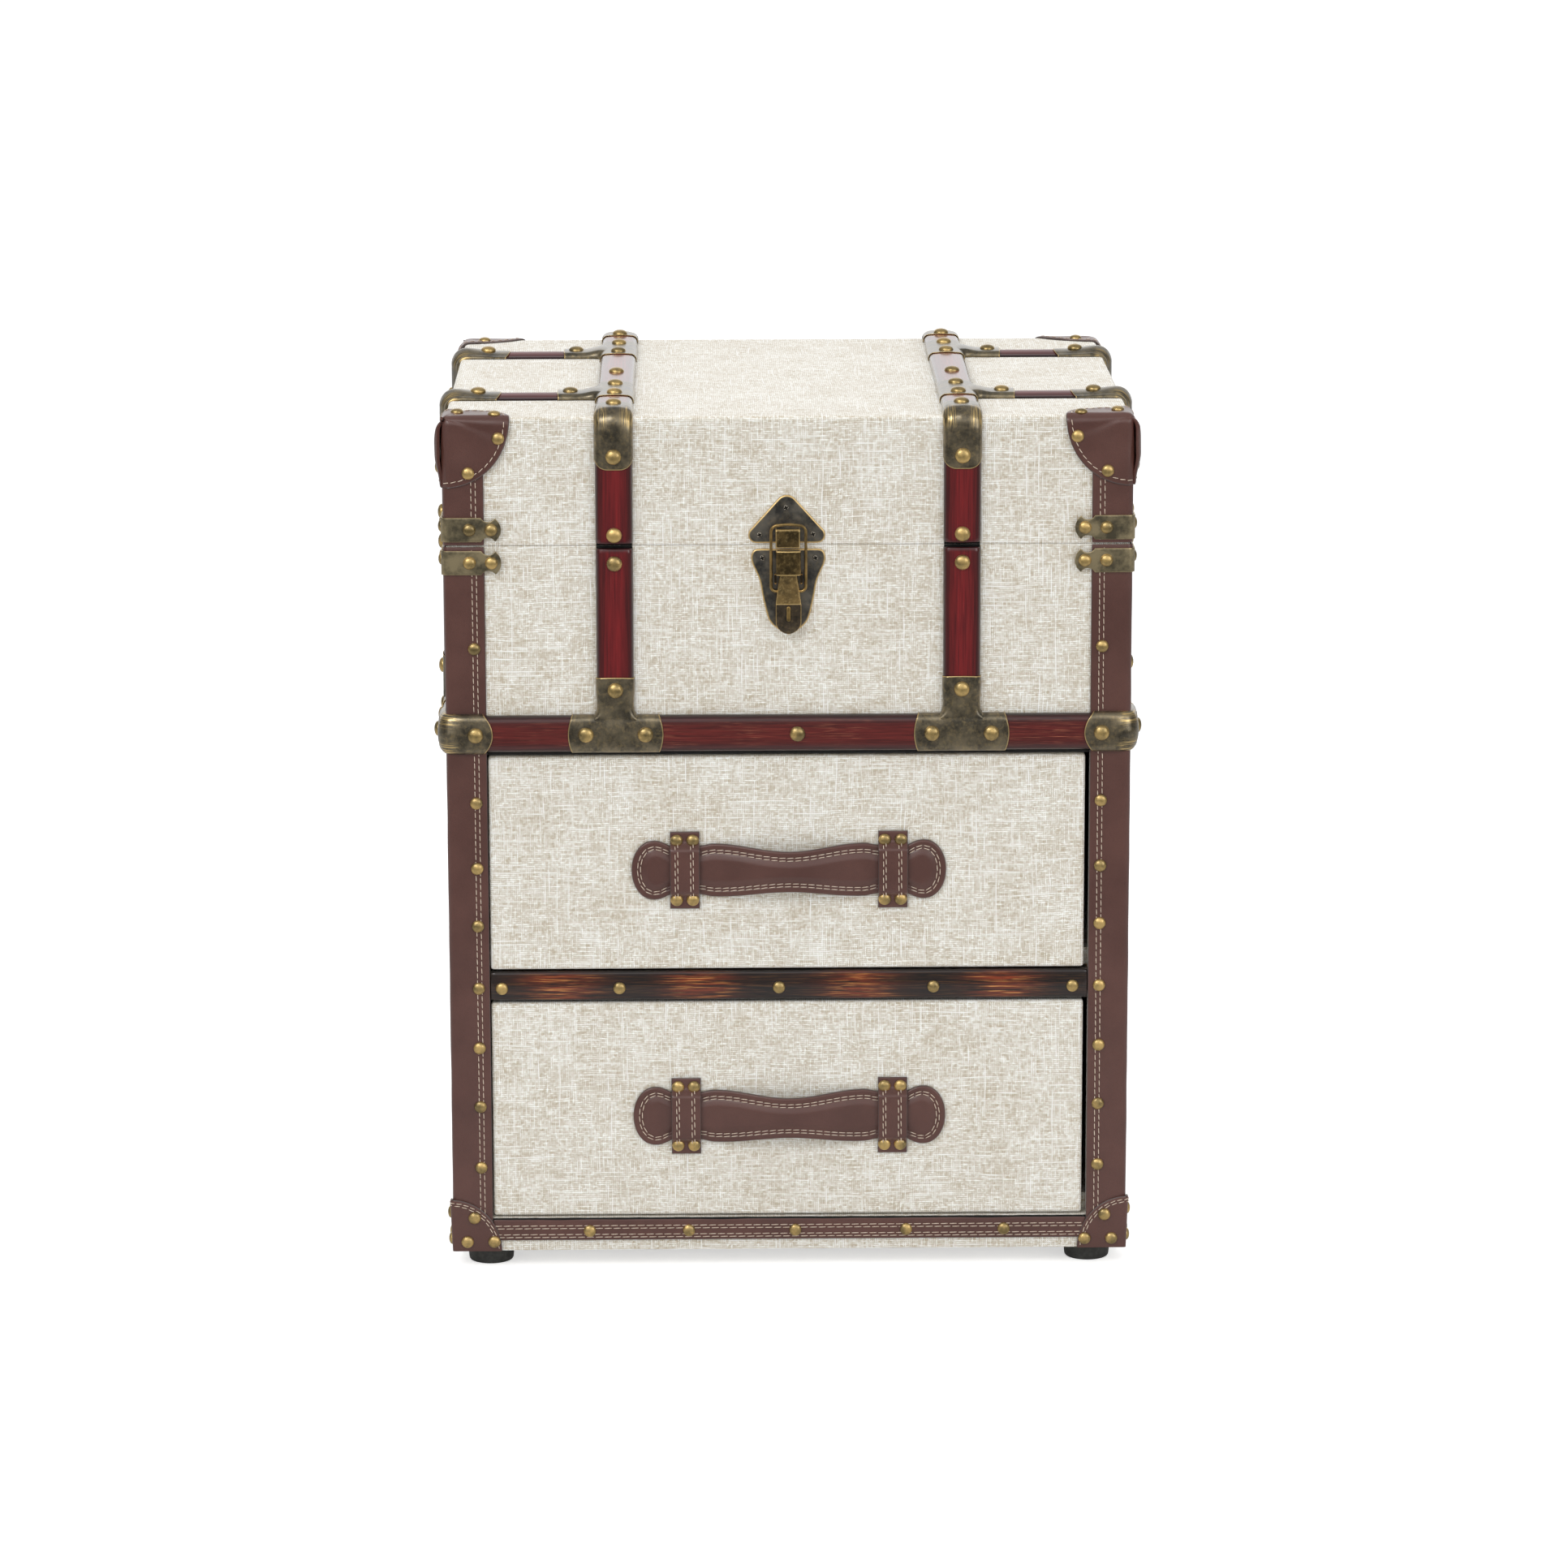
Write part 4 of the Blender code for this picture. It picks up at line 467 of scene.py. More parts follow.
def worn_wood():
    """A burnished rail: near black, with orange glows and fine golden scratches."""
    material, tree, shader = new_material("worn_rail")
    flat = flat_map(tree)
    grain = cloud(tree, stretched(tree, flat, (16.0, 520.0, 1.0)), 1.0, 5.0, 0.62)
    hairs = cloud(tree, stretched(tree, flat, (34.0, 1500.0, 1.0)), 1.0, 2.0, 0.6)
    glow = calc(tree, "MULTIPLY", mark(tree, "glow"), band(tree, grain, 0.38, 0.66, 0.06, 0.85))
    dark = between(tree, band(tree, grain, 0.40, 0.66), rgba(26, 20, 18), rgba(44, 29, 24))
    warm = between(tree, glow, dark, rgba(158, 66, 30))
    scratches = calc(tree, "MULTIPLY", band(tree, hairs, 0.54, 0.66), band(tree, glow, 0.05, 0.45, 0.08, 1.0))
    scratched = between(tree, scratches, warm, rgba(214, 146, 78))
    side = calc(tree, "ABSOLUTE", mark(tree, "side"))
    edged = between(tree, band(tree, side, 0.70, 0.98, 0.0, 0.9), scratched, rgba(20, 13, 12))
    coated(tree, shader, edged, 0.34)
    rough_up(tree, shader, grain, 0.00006, 0.5)
    return material


def board():
    """Plain pale wood with fine dark pores."""
    material, tree, shader = new_material("plain_board")
    place = object_place(tree)
    grain = cloud(tree, stretched(tree, place, (60.0, 4.0, 60.0)), 2.0, 5.0, 0.6)
    pores = cloud(tree, stretched(tree, place, (700.0, 30.0, 700.0)), 1.0, 2.0)
    tone = between(tree, band(tree, grain, 0.35, 0.65), rgba(150, 118, 84), rgba(188, 156, 118))
    pored = between(tree, band(tree, pores, 0.56, 0.72, 0.0, 0.45), tone, rgba(112, 84, 58))
    feed(tree, shader.inputs, {"Base Color": pored, "Roughness": band(tree, grain, 0.3, 0.7, 0.55, 0.72)})
    rough_up(tree, shader, pores, 0.00010, 0.4)
    return material


def speckled(name, scale, first, second, roughness):
    """A plain dull stuff with a fine cloudy tone: thread, rubber, or the black that paints shadow into gaps.
    """
    material, tree, shader = new_material(name)
    fine = cloud(tree, object_place(tree), scale, 3.0, 0.6)
    feed(tree, shader.inputs, {"Base Color": between(tree, band(tree, fine, 0.34, 0.68), first, second),
                               "Roughness": band(tree, fine, 0.3, 0.7, roughness - 0.08, roughness),
                               "Specular IOR Level": 0.3})
    rough_up(tree, shader, fine, 0.0001, 0.4)
    return material


# Each finish with the record's material slot it belongs to
FINISHES = {
    "linen": ("linen", linen()),
    "leather": ("brown_leather", leather("brown_leather", rgba(96, 58, 49))),
    "cap": ("antique_brass",
            brass("cap_brass", rgba(142, 130, 106), rgba(226, 196, 134), 0.0006)),
    "hinge": ("antique_brass",
              brass("hinge_brass", rgba(150, 138, 112), rgba(212, 184, 124), 0.0002, 0.2, 0.6, marked=False)),
    "strap": ("antique_brass",
              brass("strap_brass", rgba(188, 172, 136), rgba(200, 180, 134), 0.0002, 0.1, 0.4)),
    "clasp": ("clasp_bronze",
              brass("clasp_bronze", rgba(134, 129, 119), rgba(252, 216, 148), 0.0010, 0.12, 0.3)),
    "lever": ("clasp_bronze",
              brass("lever_bronze", rgba(138, 114, 72), rgba(255, 220, 150), 0.0006, 0.3, 0.3)),
    "nail": ("antique_brass",
             brass("nail_brass", rgba(228, 194, 124), rgba(238, 210, 150), 0.0001, 0.1, dull=1.1)),
    # A darker copy of the clasp's bronze: painted shade for the tab, which curls back and faces down
    "tab": ("clasp_bronze",
            brass("tab_bronze_shaded", rgba(108, 95, 78), rgba(246, 208, 138), 0.0005, 0.15, 0.3)),
    "wire": ("clasp_bronze",
             brass("wire_bronze", rgba(188, 154, 94), rgba(244, 208, 136), 0.0001, 0.2, 0.5)),
    # The screws' second colour is near black: the painted shade in their cross and round their edge
    "screw": ("clasp_bronze",
              brass("screw_steel", rgba(168, 160, 146), rgba(16, 15, 14), 0.0004, 0.0, 0.0)),
    "red_slat": ("red_lacquer",
                 lacquer("red_slat", rgba(128, 27, 30), rgba(90, 17, 22), rgba(170, 60, 56), 0.4)),
    "cross": ("red_lacquer",
              lacquer("cross_red", rgba(104, 30, 32), rgba(74, 18, 22), rgba(130, 60, 56), 0.3, coat=0.15)),
    "belt": ("red_lacquer",
             lacquer("belt_red", rgba(108, 36, 32), rgba(76, 24, 23), rgba(190, 112, 84), 0.8)),
    "rail": ("burnished_slat", worn_wood()),
    "board": ("bare_board", board()),
    "thread": ("brown_leather",
               speckled("cream_thread", 1600.0, rgba(196, 172, 150), rgba(236, 222, 204), 0.8)),
    "foot": ("black_foot",
             speckled("charcoal_foot", 260.0, rgba(54, 54, 52), rgba(70, 70, 67), 0.6)),
    # Near black that paints the shadow in gaps, at the seam and in the clasp's slot
    "shadow_black": ("black_foot",
             speckled("painted_shadow_black", 500.0, rgba(12, 12, 11), rgba(32, 32, 29), 0.8)),
}


def quads(rows, columns, close_rows=False, close_columns=False):
    """Corner numbers of every square in a grid of points, four to a row."""
    row = np.arange(rows if close_rows else rows - 1)[:, None]
    column = np.arange(columns if close_columns else columns - 1)[None, :]
    next_row, next_column = (row + 1) % rows, (column + 1) % columns
    corners = (row * columns + column, row * columns + next_column,
               next_row * columns + next_column, next_row * columns + column)
    return np.stack(np.broadcast_arrays(*corners), -1).reshape(-1, 4)


def xyz(x, y, z):
    """Points from their three coordinates, spread to one shape."""
    return np.stack(np.broadcast_arrays(x, y, z), -1)


def unit(vectors):
    """Vectors brought to a length of one."""
    return vectors / np.linalg.norm(vectors, axis=-1, keepdims=True)


def mesh_of(name, points, faces, flat, marks):
    """A mesh from arrays of points and square faces, with a flat map and marks per point."""
    mesh = bpy.data.meshes.new(name)
    mesh.vertices.add(len(points))
    mesh.vertices.foreach_set("co", points.astype(np.float32).ravel())
    mesh.loops.add(faces.size)
    mesh.loops.foreach_set("vertex_index", faces.astype(np.int32).ravel())
    mesh.polygons.add(len(faces))
    mesh.polygons.foreach_set("loop_start", np.arange(0, faces.size, 4, dtype=np.int32))
    mesh.update(calc_edges=True)
    for label, values in marks.items():
        layer = mesh.attributes.new(label, "FLOAT", "POINT")
        layer.data.foreach_set("value", values.astype(np.float32).ravel())
    layer = mesh.uv_layers.new(name="flat")
    layer.data.foreach_set("uv", flat[faces.ravel()].astype(np.float32).ravel())
    return mesh


def tidy_mesh(mesh, is_sheet, weld=0.000002):
    """Close poles and seams, and turn the faces outwards.

    A closed shape is turned by its own inside, an open sheet away from the
    middle of the trunk.
    """
    bm = bmesh.new()
    bm.from_mesh(mesh)
    bmesh.ops.remove_doubles(bm, verts=bm.verts, dist=weld)
    bmesh.ops.dissolve_degenerate(bm, edges=bm.edges, dist=weld / 4)
    bmesh.ops.recalc_face_normals(bm, faces=bm.faces)
    if is_sheet:
        middle = Vector((0.0, MID_Y, SHEET_MIDDLE_Z))
        outward = sum(face.normal.dot(face.calc_center_median() - middle) * face.calc_area()
                      for face in bm.faces)
        if outward < 0:
            bmesh.ops.reverse_faces(bm, faces=bm.faces)
    bm.to_mesh(mesh)
    bm.free()
    mesh.shade_smooth()


def finish_piece(name, mesh, finish, body, stands_for=None, sheet=0.0, bevel=0.0):
    """Put a mesh into the scene with its finish, on its body, for the CAD node it stands for."""
    thing = bpy.data.objects.new(name, mesh)
    bpy.context.scene.collection.objects.link(thing)
    slot, material = FINISHES[finish]
    mesh.materials.append(material)
    if sheet:
        wall = thing.modifiers.new("sheet", "SOLIDIFY")
        wall.thickness = sheet
        wall.offset = -1.0
    if bevel:
        soft = thing.modifiers.new("soft_edge", "BEVEL")
        soft.width = bevel
        soft.segments = 2
        soft.limit_method = "ANGLE"
        soft.angle_limit = math.radians(50)
    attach(thing, body)
    if stands_for:
        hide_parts(stands_for)


def piece(name, grid, finish, body, stands_for=None, close=(False, False), sheet=0.0, bevel=0.0,
          flat=(0.0, 0.0), marks=None):
    """A surface from a grid of points of shape rows, columns, 3."""
    shape = grid.shape[:2]
    marks = {"rim": 1.0, "crease": 0.0, **(marks or {})}
    spread = {label: np.broadcast_to(values, shape) for label, values in marks.items()}
    plan = np.stack([np.broadcast_to(part, shape) for part in flat], -1).reshape(-1, 2)
    mesh = mesh_of(name, grid.reshape(-1, 3), quads(*shape, *close), plan, spread)
    tidy_mesh(mesh, is_sheet=sheet > 0)
    finish_piece(name, mesh, finish, body, stands_for, sheet, bevel)


def copies(name, template, centres, runs, facings, finish, body, rim=1.0):
    """One mesh of many copies of a small grid that closes round.

    A template point (a, b, c) lands at its centre plus a times the run, b times
    the sideways direction and c times the facing.
    """
    shape = template.shape[:2]
    small = template.reshape(1, -1, 3)
    centres = np.asarray(centres, dtype=float)
    facings = unit(np.broadcast_to(facings, centres.shape))
    runs = unit(runs - facings * np.sum(runs * facings, axis=1, keepdims=True))
    sideways = np.cross(facings, runs)
    points = (centres[:, None] + small[..., :1] * runs[:, None] + small[..., 1:2] * sideways[:, None]
              + small[..., 2:] * facings[:, None]).reshape(-1, 3)
    steps = np.arange(len(centres))[:, None, None] * small.shape[1]
    faces = (quads(*shape, False, True)[None] + steps).reshape(-1, 4)
    rims = np.broadcast_to(np.broadcast_to(rim, shape), (len(centres), *shape))
    mesh = mesh_of(name, points, faces, np.zeros((len(points), 2)), {"rim": rims, "crease": 0.0 * rims})
    tidy_mesh(mesh, is_sheet=False)
    finish_piece(name, mesh, finish, body)


def polyline(points, facings):
    """A path: the length travelled to each point, the points and the way each faces."""
    points = np.asarray(points, dtype=float)
    steps = np.linalg.norm(np.diff(points, axis=0), axis=1)
    return np.concatenate([[0.0], np.cumsum(steps)]), points, np.broadcast_to(facings, points.shape)


def along(path, at):
    """The point and the facing at a travelled length, straight between path points."""
    travel, points, facings = path
    spot = np.stack([np.interp(at, travel, points[:, k]) for k in range(3)], -1)
    face = np.stack([np.interp(at, travel, facings[:, k]) for k in range(3)], -1)
    return spot, unit(face)


def folded(corners, facings, bend, steps=9):
    """A path of straight runs joined by quarter arcs of radius bend at each corner."""
    corners = [np.asarray(corner, dtype=float) for corner in corners]
    facings = [np.asarray(facing, dtype=float) for facing in facings]
    points, faces = [corners[0]], [facings[0]]
    for i, corner in enumerate(corners[1:-1]):
        centre = corner - (facings[i] + facings[i + 1]) * bend
        turn = np.linspace(0, math.pi / 2, steps)[:, None]
        spoke = facings[i] * np.cos(turn) + facings[i + 1] * np.sin(turn)
        points.extend(centre + spoke * bend)
        faces.extend(spoke)
    points.append(corners[-1])
    faces.append(facings[-1])
    return polyline(points, faces)


def corner_path(side, end, reach, leg, bend):
    """Level path round an upright corner, from the front or back leg to the side leg."""
    x, y = side * (HALF_X + reach), MID_Y + end * (HALF_Y + reach)
    return folded([(x - side * leg, y, 0.0), (x, y, 0.0), (x, y - end * leg, 0.0)],
                  [end * Y_AXIS, side * X_AXIS], bend)


def from_corner(path, distance, bend):
    """Travelled length at a distance from the corner: negative is on the first leg."""
    middle = path[0][-1] / 2
    straight = np.maximum(np.abs(distance) - bend * (1 - math.pi / 4), 0.0)
    return middle + np.sign(distance) * straight


def sheet_on(path, at, height, level):
    """Points of a sheet: a path's point, lifted by height along its facing, at a level."""
    at, height, level = np.broadcast_arrays(at, height, level)
    spot, face = along(path, at)
    return spot + face * height[..., None] + Z_AXIS * level[..., None]


def ease(value):
    """Smooth step from 0 to 1."""
    held = np.clip(value, 0.0, 1.0)
    return held * held * (3 - 2 * held)


def ripple(a, b, size, seed=0.0):
    """A soft wavy value near -1 to 1, from four crossed sines."""
    p, q = np.asarray(a) / size, np.asarray(b) / size
    return 0.25 * (np.sin(p * 5.1 + seed) + np.sin(q * 4.3 + 1.7 * seed)
                   + np.sin(p * 3.1 + q * 2.7 + 0.6 * seed) + np.sin(p * 1.9 - q * 3.7 + 2.3 * seed))


def rolled(border, drop=0.0005, reach=0.0007):
    """How far cut leather rolls back: a drop that fades with the distance from its border."""
    return drop * np.exp(-border / reach)


def section(half_width, height, edge, crown=CROWN, arc=7, flat=9):
    """Section over a slat: up a side, round an edge, over a slightly crowned top, and down.

    Gives the place across and the height of each point. The half width may be
    an array with one row for each cut along the slat.
    """
    turn = np.linspace(0.0, math.pi / 2, arc)
    share = np.concatenate([np.ones(arc + 1), np.linspace(1.0, -1.0, flat + 2)[1:-1], -np.ones(arc + 1)])
    round_part = edge * np.concatenate([[1.0], np.cos(turn), np.zeros(flat), -np.cos(turn[::-1]), [-1.0]])
    up = np.concatenate([[0.0], height - crown - edge + edge * np.sin(turn)])
    out = np.concatenate([up, np.full(flat, height - crown), up[::-1]]) + crown * (1 - share ** 2)
    return share * (half_width - edge) + round_part, out


def slat(name, path, across, half_width, finish, body, stands_for=None, height=SLAT_THICK, edge=SLAT_EDGE,
         thin=None, glow=None, crown=CROWN):
    """A wooden slat along a path: rounded edges, flat behind, closed at both ends.

    thin gives the share of the height at a travelled length, and glow how worn
    the wood is at a place from left to right.
    """
    stop = path[0][-1]
    rows = max(12, int(stop / 0.003))
    at = np.concatenate([[0.0, 0.0], np.linspace(0.0005, stop - 0.0005, rows), [stop, stop]])[:, None]
    full = np.concatenate([[0.0, 0.93], np.ones(rows), [0.93, 0.0]])[:, None]
    sideways, out = section(half_width, height, edge, crown)
    tall = height * (1.0 if thin is None else thin(at))
    raised = out * tall / height
    spot, face = along(path, at)
    level = tall / 2 + (raised - tall / 2) * full
    grid = spot + face * level[..., None] + across * (sideways * full)[..., None]
    marks = {"rim": np.minimum(at, stop - at), "side": (sideways / half_width)[None],
             "glow": 0.0 if glow is None else glow(spot[..., 0])}
    piece(name, grid, finish, body, stands_for, close=(False, True), flat=(at, sideways[None]), marks=marks)


def sleeve(name, path, across, half_width, finish, body, ends, stands_for=None, rise=COVER_RISE,
           edge=COVER_EDGE, crease_at=None, rows=60, thin=None, flare=None, ball=0.0, sheet=COVER,
           crown=CROWN, joined=False):
    """Sheet metal pressed over a slat, between two ends that may bow along the path.

    ends holds two functions of the place across (-1 to 1) that give the
    travelled length of each end. crease_at is a travelled length round which
    the metal is creased and rubbed bright, and ball rounds the section there.
    thin gives the share of the height and flare the added half width at a
    travelled length. joined is for a start that runs on into other metal.
    """
    place = section(half_width, rise, edge, crown, 9, 15)[0] / half_width
    first, last = ends[0](place)[None], ends[1](place)[None]
    at = first + (last - first) * np.linspace(0.0, 1.0, rows)[:, None]
    wide = half_width + (0.0 if flare is None else flare(at))
    sideways, out = section(np.broadcast_to(wide, at.shape), rise, edge, crown, 9, 15)
    near = np.zeros_like(at) if crease_at is None else np.exp(-((at - crease_at) / 0.0055) ** 2)
    out = out * (1 - ball * near * place ** 2) * (1.0 if thin is None else thin(at))
    dents = near * 0.00025 * ripple(at, sideways, 0.0045, 1.3) * (out > rise * 0.3)
    spot, face = along(path, at)
    grid = spot + face * (out + dents)[..., None] + across * sideways[..., None]
    marks = {"rim": last - at if joined else np.minimum(at - first, last - at),
             "crease": near * ease((np.abs(place) - 0.25) / 0.35) * 1.25}
    piece(name, grid, finish, body, stands_for, sheet=sheet, flat=(at, sideways), marks=marks)


def flat_end(at):
    """An end cut straight across."""
    return lambda place: at + 0.0 * place


def bowed_end(at, bulge):
    """An end that bulges by so much at the middle; a negative bulge bows the other way."""
    return lambda place: at + bulge * (1 - np.clip(np.abs(place), 0.0, 1.0) ** 2)


def rounded_end(at, radius, half_width):
    """An end with both corners rounded off by a radius."""
    def reach(place):
        """The travelled length of the end at a place across."""
        past = np.clip(np.abs(place) * half_width - (half_width - abs(radius)), 0, abs(radius) * 0.98)
        return at + math.copysign(1, radius) * (abs(radius) - np.sqrt(radius ** 2 - past ** 2))
    return reach


def dome(radius, height, rings=7, segments=16):
    """A nail head: rings that rise like a flattened ball, on a short straight rim."""
    turn = np.linspace(0.0, math.pi / 2, rings)
    reach = np.concatenate([[0.0, 1.0], np.cos(turn)]) * radius
    level = np.concatenate([[-0.0008, -0.0008], height * np.sin(turn) ** 0.9])
    around = np.linspace(0.0, math.tau, segments, endpoint=False)
    return xyz(reach[:, None] * np.cos(around), reach[:, None] * np.sin(around), level[:, None])


def nails(name, places, facings, body, radius=SMALL_NAIL):
    """Domed nail heads at places, each turned the way it faces."""
    places = np.asarray(places, dtype=float)
    facings = np.broadcast_to(facings, places.shape)
    guide = np.where(np.abs(facings[:, 2:]) > 0.7, X_AXIS, Z_AXIS)
    copies(name, dome(radius, radius * 0.56), places, guide, facings, "nail", body)


def nails_on(name, path, spots, body, radius=SMALL_NAIL):
    """Nails on a path; each spot is a travelled length, a lift off the path and a level."""
    at, lift, level = np.array(spots).T
    places, facings = along(path, at)
    nails(name, places + facings * lift[:, None] + Z_AXIS * level[:, None], facings, body, radius)


def stitches(name, rows, body, pitch=STITCH_PITCH, length=STITCH_LENGTH, slant=0.10):
    """Threads along rows, each row a path of points and facings.

    Every second row is half a stitch behind, and each thread lies a little slantwise.
    """
    centres, runs, facings = [], [], []
    for number, (points, faces) in enumerate(rows):
        path = polyline(points, faces)
        count = max(1, int(path[0][-1] // pitch))
        at = (np.arange(count) + 0.35 + 0.3 * (number % 2)) * path[0][-1] / count
        centre, face = along(path, at)
        run = unit(along(path, at + length / 3)[0] - along(path, at - length / 3)[0])
        centres.append(centre)
        facings.append(face)
        runs.append(run + slant * np.cross(face, run))
    turn = np.linspace(0.0, math.pi, 6)[:, None]
    around = np.linspace(0.0, math.tau, 6, endpoint=False)[None]
    thick = STITCH_WIDTH * np.sin(turn) ** 0.5
    template = xyz(-np.cos(turn) * length / 2, thick * np.cos(around),
                   thick * np.sin(around) * 0.8 + 0.00012 * np.sin(turn))
    copies(name, template, *(np.concatenate(part) for part in (centres, runs, facings)), "thread", body)


def quarters():
    """The four upright edges: a name, the side and the end as -1 or 1."""
    for end_name, end in ENDS:
        for side_name, side in SIDES:
            yield f"{end_name}_{side_name}", side, end


def edge_leather(name, side, end, low, high, body, stands_for=None, seed=0.0):
    """Leather folded round an upright edge, a little uneven, thinner at its borders."""
    path = corner_path(side, end, GAP + LEATHER, EDGE_WIDTH, EDGE_BEND)
    length = path[0][-1]
    at = np.linspace(0.0, length, 45)[None]
    level = np.linspace(low, high, max(12, int((high - low) / 0.004)))[:, None]
    border = np.minimum(at, length - at)
    grid = sheet_on(path, at, 0.00018 * ripple(level, at, 0.03, seed) - rolled(border), level)
    piece(name, grid, "leather", body, stands_for, sheet=LEATHER - SOFT_EDGE, bevel=SOFT_EDGE,
          flat=(level, at), marks={"rim": border})
    rows = []
    for leg in (-1, 1):
        for inset in EDGE_STITCH_INSETS:
            spot, face = along(path, np.full(2, from_corner(path, leg * (EDGE_WIDTH - inset), EDGE_BEND)))
            rows.append((spot + face * ON_TOP + Z_AXIS * np.array([[low + 0.002], [high - 0.002]]), face))
    stitches(f"{name}_stitches", rows, body, slant=0.05)
    return path


def edge_leathers():
    """The case's four upright edges with their nails on the front or the back."""
    for number, (name, side, end) in enumerate(quarters()):
        path = edge_leather(f"edge_leather_{name}_wrap", side, end, FLOOR_Z + 0.0002, SEAM - 0.0004, "case",
                            f"edge_leather_{name}", seed=number * 2.1)
        at = from_corner(path, -EDGE_NAIL_INSET, EDGE_BEND)
        nails_on(f"edge_nails_{name}", path, [(at, ON_TOP, height) for height in EDGE_NAIL_HEIGHTS], "case")


def base_tuck(level):
    """How far a base corner leans in at a level: most at the floor and nothing at its top."""
    return BASE_TAPER * np.clip(1 - (level - FLOOR_Z) / BASE_TALL, 0.0, 1.0)


def base_corners():
    """Rounded leather at the foot of each edge: a quarter ellipse on both legs."""
    for number, (name, side, end) in enumerate(quarters()):
        path = corner_path(side, end, GAP * 2 + LEATHER * 2, BASE_WIDE, EDGE_BEND)
        leg = path[0][-1] / 2
        at = leg - leg * np.cos(np.linspace(0.0, math.pi, 61))[None]
        top = BASE_TALL * np.sqrt(np.clip(1 - (np.abs(at - leg) / leg) ** 2, 0.0, 1.0))
        level = FLOOR_Z + 0.0001 + top * np.linspace(0.0, 1.0, 24)[:, None]
        away = leg - np.hypot(at - leg, (level - FLOOR_Z) * leg / BASE_TALL)
        height = 0.00016 * ripple(level, at, 0.02, number) - rolled(away) - base_tuck(level)
        piece(f"base_corner_{name}", sheet_on(path, at, height, level), "leather", "case",
              f"base_corner_leather_{name}", sheet=LEATHER - 0.0002, bevel=SOFT_EDGE, flat=(level, at),
              marks={"rim": away})
        rows = []
        turn = np.linspace(0.06, math.pi - 0.06, 50)
        for inset in (0.0022, 0.0040):
            line = FLOOR_Z + np.sin(turn) * (BASE_TALL - inset)
            around = leg - (leg - inset) * np.cos(turn)
            rows.append((sheet_on(path, around, ON_TOP - base_tuck(line), line), along(path, around)[1]))
        stitches(f"base_corner_{name}_stitches", rows, "case")
        spots = [(from_corner(path, sign * distance, EDGE_BEND), 2 * ON_TOP - base_tuck(height), height)
                 for sign in (-1, 1) for distance, height in BASE_NAILS]
        nails_on(f"base_corner_nails_{name}", path, spots, "case")


def base_strip():
    """The stitched strip along the foot of the front."""
    low, high = strip_low, strip_high
    across = np.linspace(low[0], high[0], 140)[None]
    level = np.linspace(low[2], high[2], 14)[:, None]
    border = np.minimum(level - low[2], high[2] - level)
    face_y = low[1] - 0.00012 * ripple(across, level, 0.03) + rolled(border)
    piece("base_strip", xyz(across, face_y, level), "leather", "case", "base_strip_leather",
          sheet=LEATHER - SOFT_EDGE, bevel=SOFT_EDGE, flat=(level, across), marks={"rim": border})
    tips = np.array([low[0] + 0.001, high[0] - 0.001])
    rows = [(xyz(tips, low[1] - ON_TOP, height), -Y_AXIS) for height in STRIP_STITCHES_Z]
    stitches("base_strip_stitches", rows, "case", 0.0062, 0.0054, 0.03)
    nails("base_strip_nails", xyz(np.array(STRIP_NAILS_X), low[1] - ON_TOP, STRIP_NAILS_Z), -Y_AXIS, "case")


def slat_seams():
    """Where slats cross the seam: a place on the wall, the way across and the way out."""
    for name, side in SIDES:
        yield f"front_{name}", np.array([side * SLAT_X, FRONT, 0.0]), X_AXIS, -Y_AXIS
        for end_name, end in ENDS:
            spot = np.array([side * HALF_X, MID_Y + end * CROSS_Y, 0.0])
            yield f"{end_name}_{name}", spot, Y_AXIS, side * X_AXIS


def shadow_strips():
    """Black strips that paint the shadow in the gaps over the base strip, under the belt and behind the slats
    at the seam.
    """
    inner = HALF_X - EDGE_WIDTH + 0.002
    across = np.linspace(-inner, inner, 90)[None]
    top = min(strip_high[2] + 0.0010, box_of("drawer_box_lower")[0][2] - 0.0013)
    low_y, belt_y = FRONT - 0.0012, FRONT - 0.0018
    runs = (("base_shadow_strip", [(low_y, strip_high[2] - 0.0012), (low_y, top), (FRONT + 0.011, top)]),
            ("belt_shadow_strip", [(belt_y, belt_low[2] - 0.0019), (belt_y, belt_low[2] + 0.0004)]))
    for name, corners in runs:
        part = np.linspace(0.0, len(corners) - 1.0, 16)[:, None]
        line_y, line_z = (np.interp(part, np.arange(len(corners)), line) for line in np.array(corners).T)
        wave = 0.00018 * ripple(across, line_z, 0.012, 2.0)
        piece(name, xyz(across, line_y, line_z + wave), "shadow_black", "case", sheet=0.0005, flat=(line_z, across))
    # Painted shadow in the seam's gap behind each slat, on the body and on the lid
    for name, spot, across, facing in slat_seams():
        for half, low, high, body in (("body", slat_high[2] - 0.001, SEAM, "case"),
                                      ("lid", LID_BOTTOM - 0.0003, LID_BOTTOM + 0.0025, "lid")):
            share = np.linspace(-0.96, 0.96, 24)[None, :, None]
            level = np.linspace(low, high, 4)[:, None, None]
            lift = 0.0006 + 0.0002 * ripple(share * 0.02, level, 0.004, 1.0)
            grid = spot + facing * lift + across * SLAT_HALF * share + Z_AXIS * level
            piece(f"seam_shadow_strip_{half}_{name}", grid, "shadow_black", body, sheet=0.0004)


def strap_half_height(distance, half, leg):
    """Half height of a brass strap: plain, a round notch, flared points, a bowed end."""
    notch_at, notch_radius, notch_depth = leg - 0.0088, 0.0053, 0.0030
    ring = np.sqrt(np.clip(notch_radius ** 2 - (distance - notch_at) ** 2, 0.0, None))
    sunk = ring - (notch_radius - notch_depth)
    tip = leg - 0.0042
    bowed = half * np.sqrt(np.clip((leg - distance) / (leg - tip), 0.0, 1.0))
    return np.where(distance > tip, bowed, half - np.clip(sunk, 0.0, None))


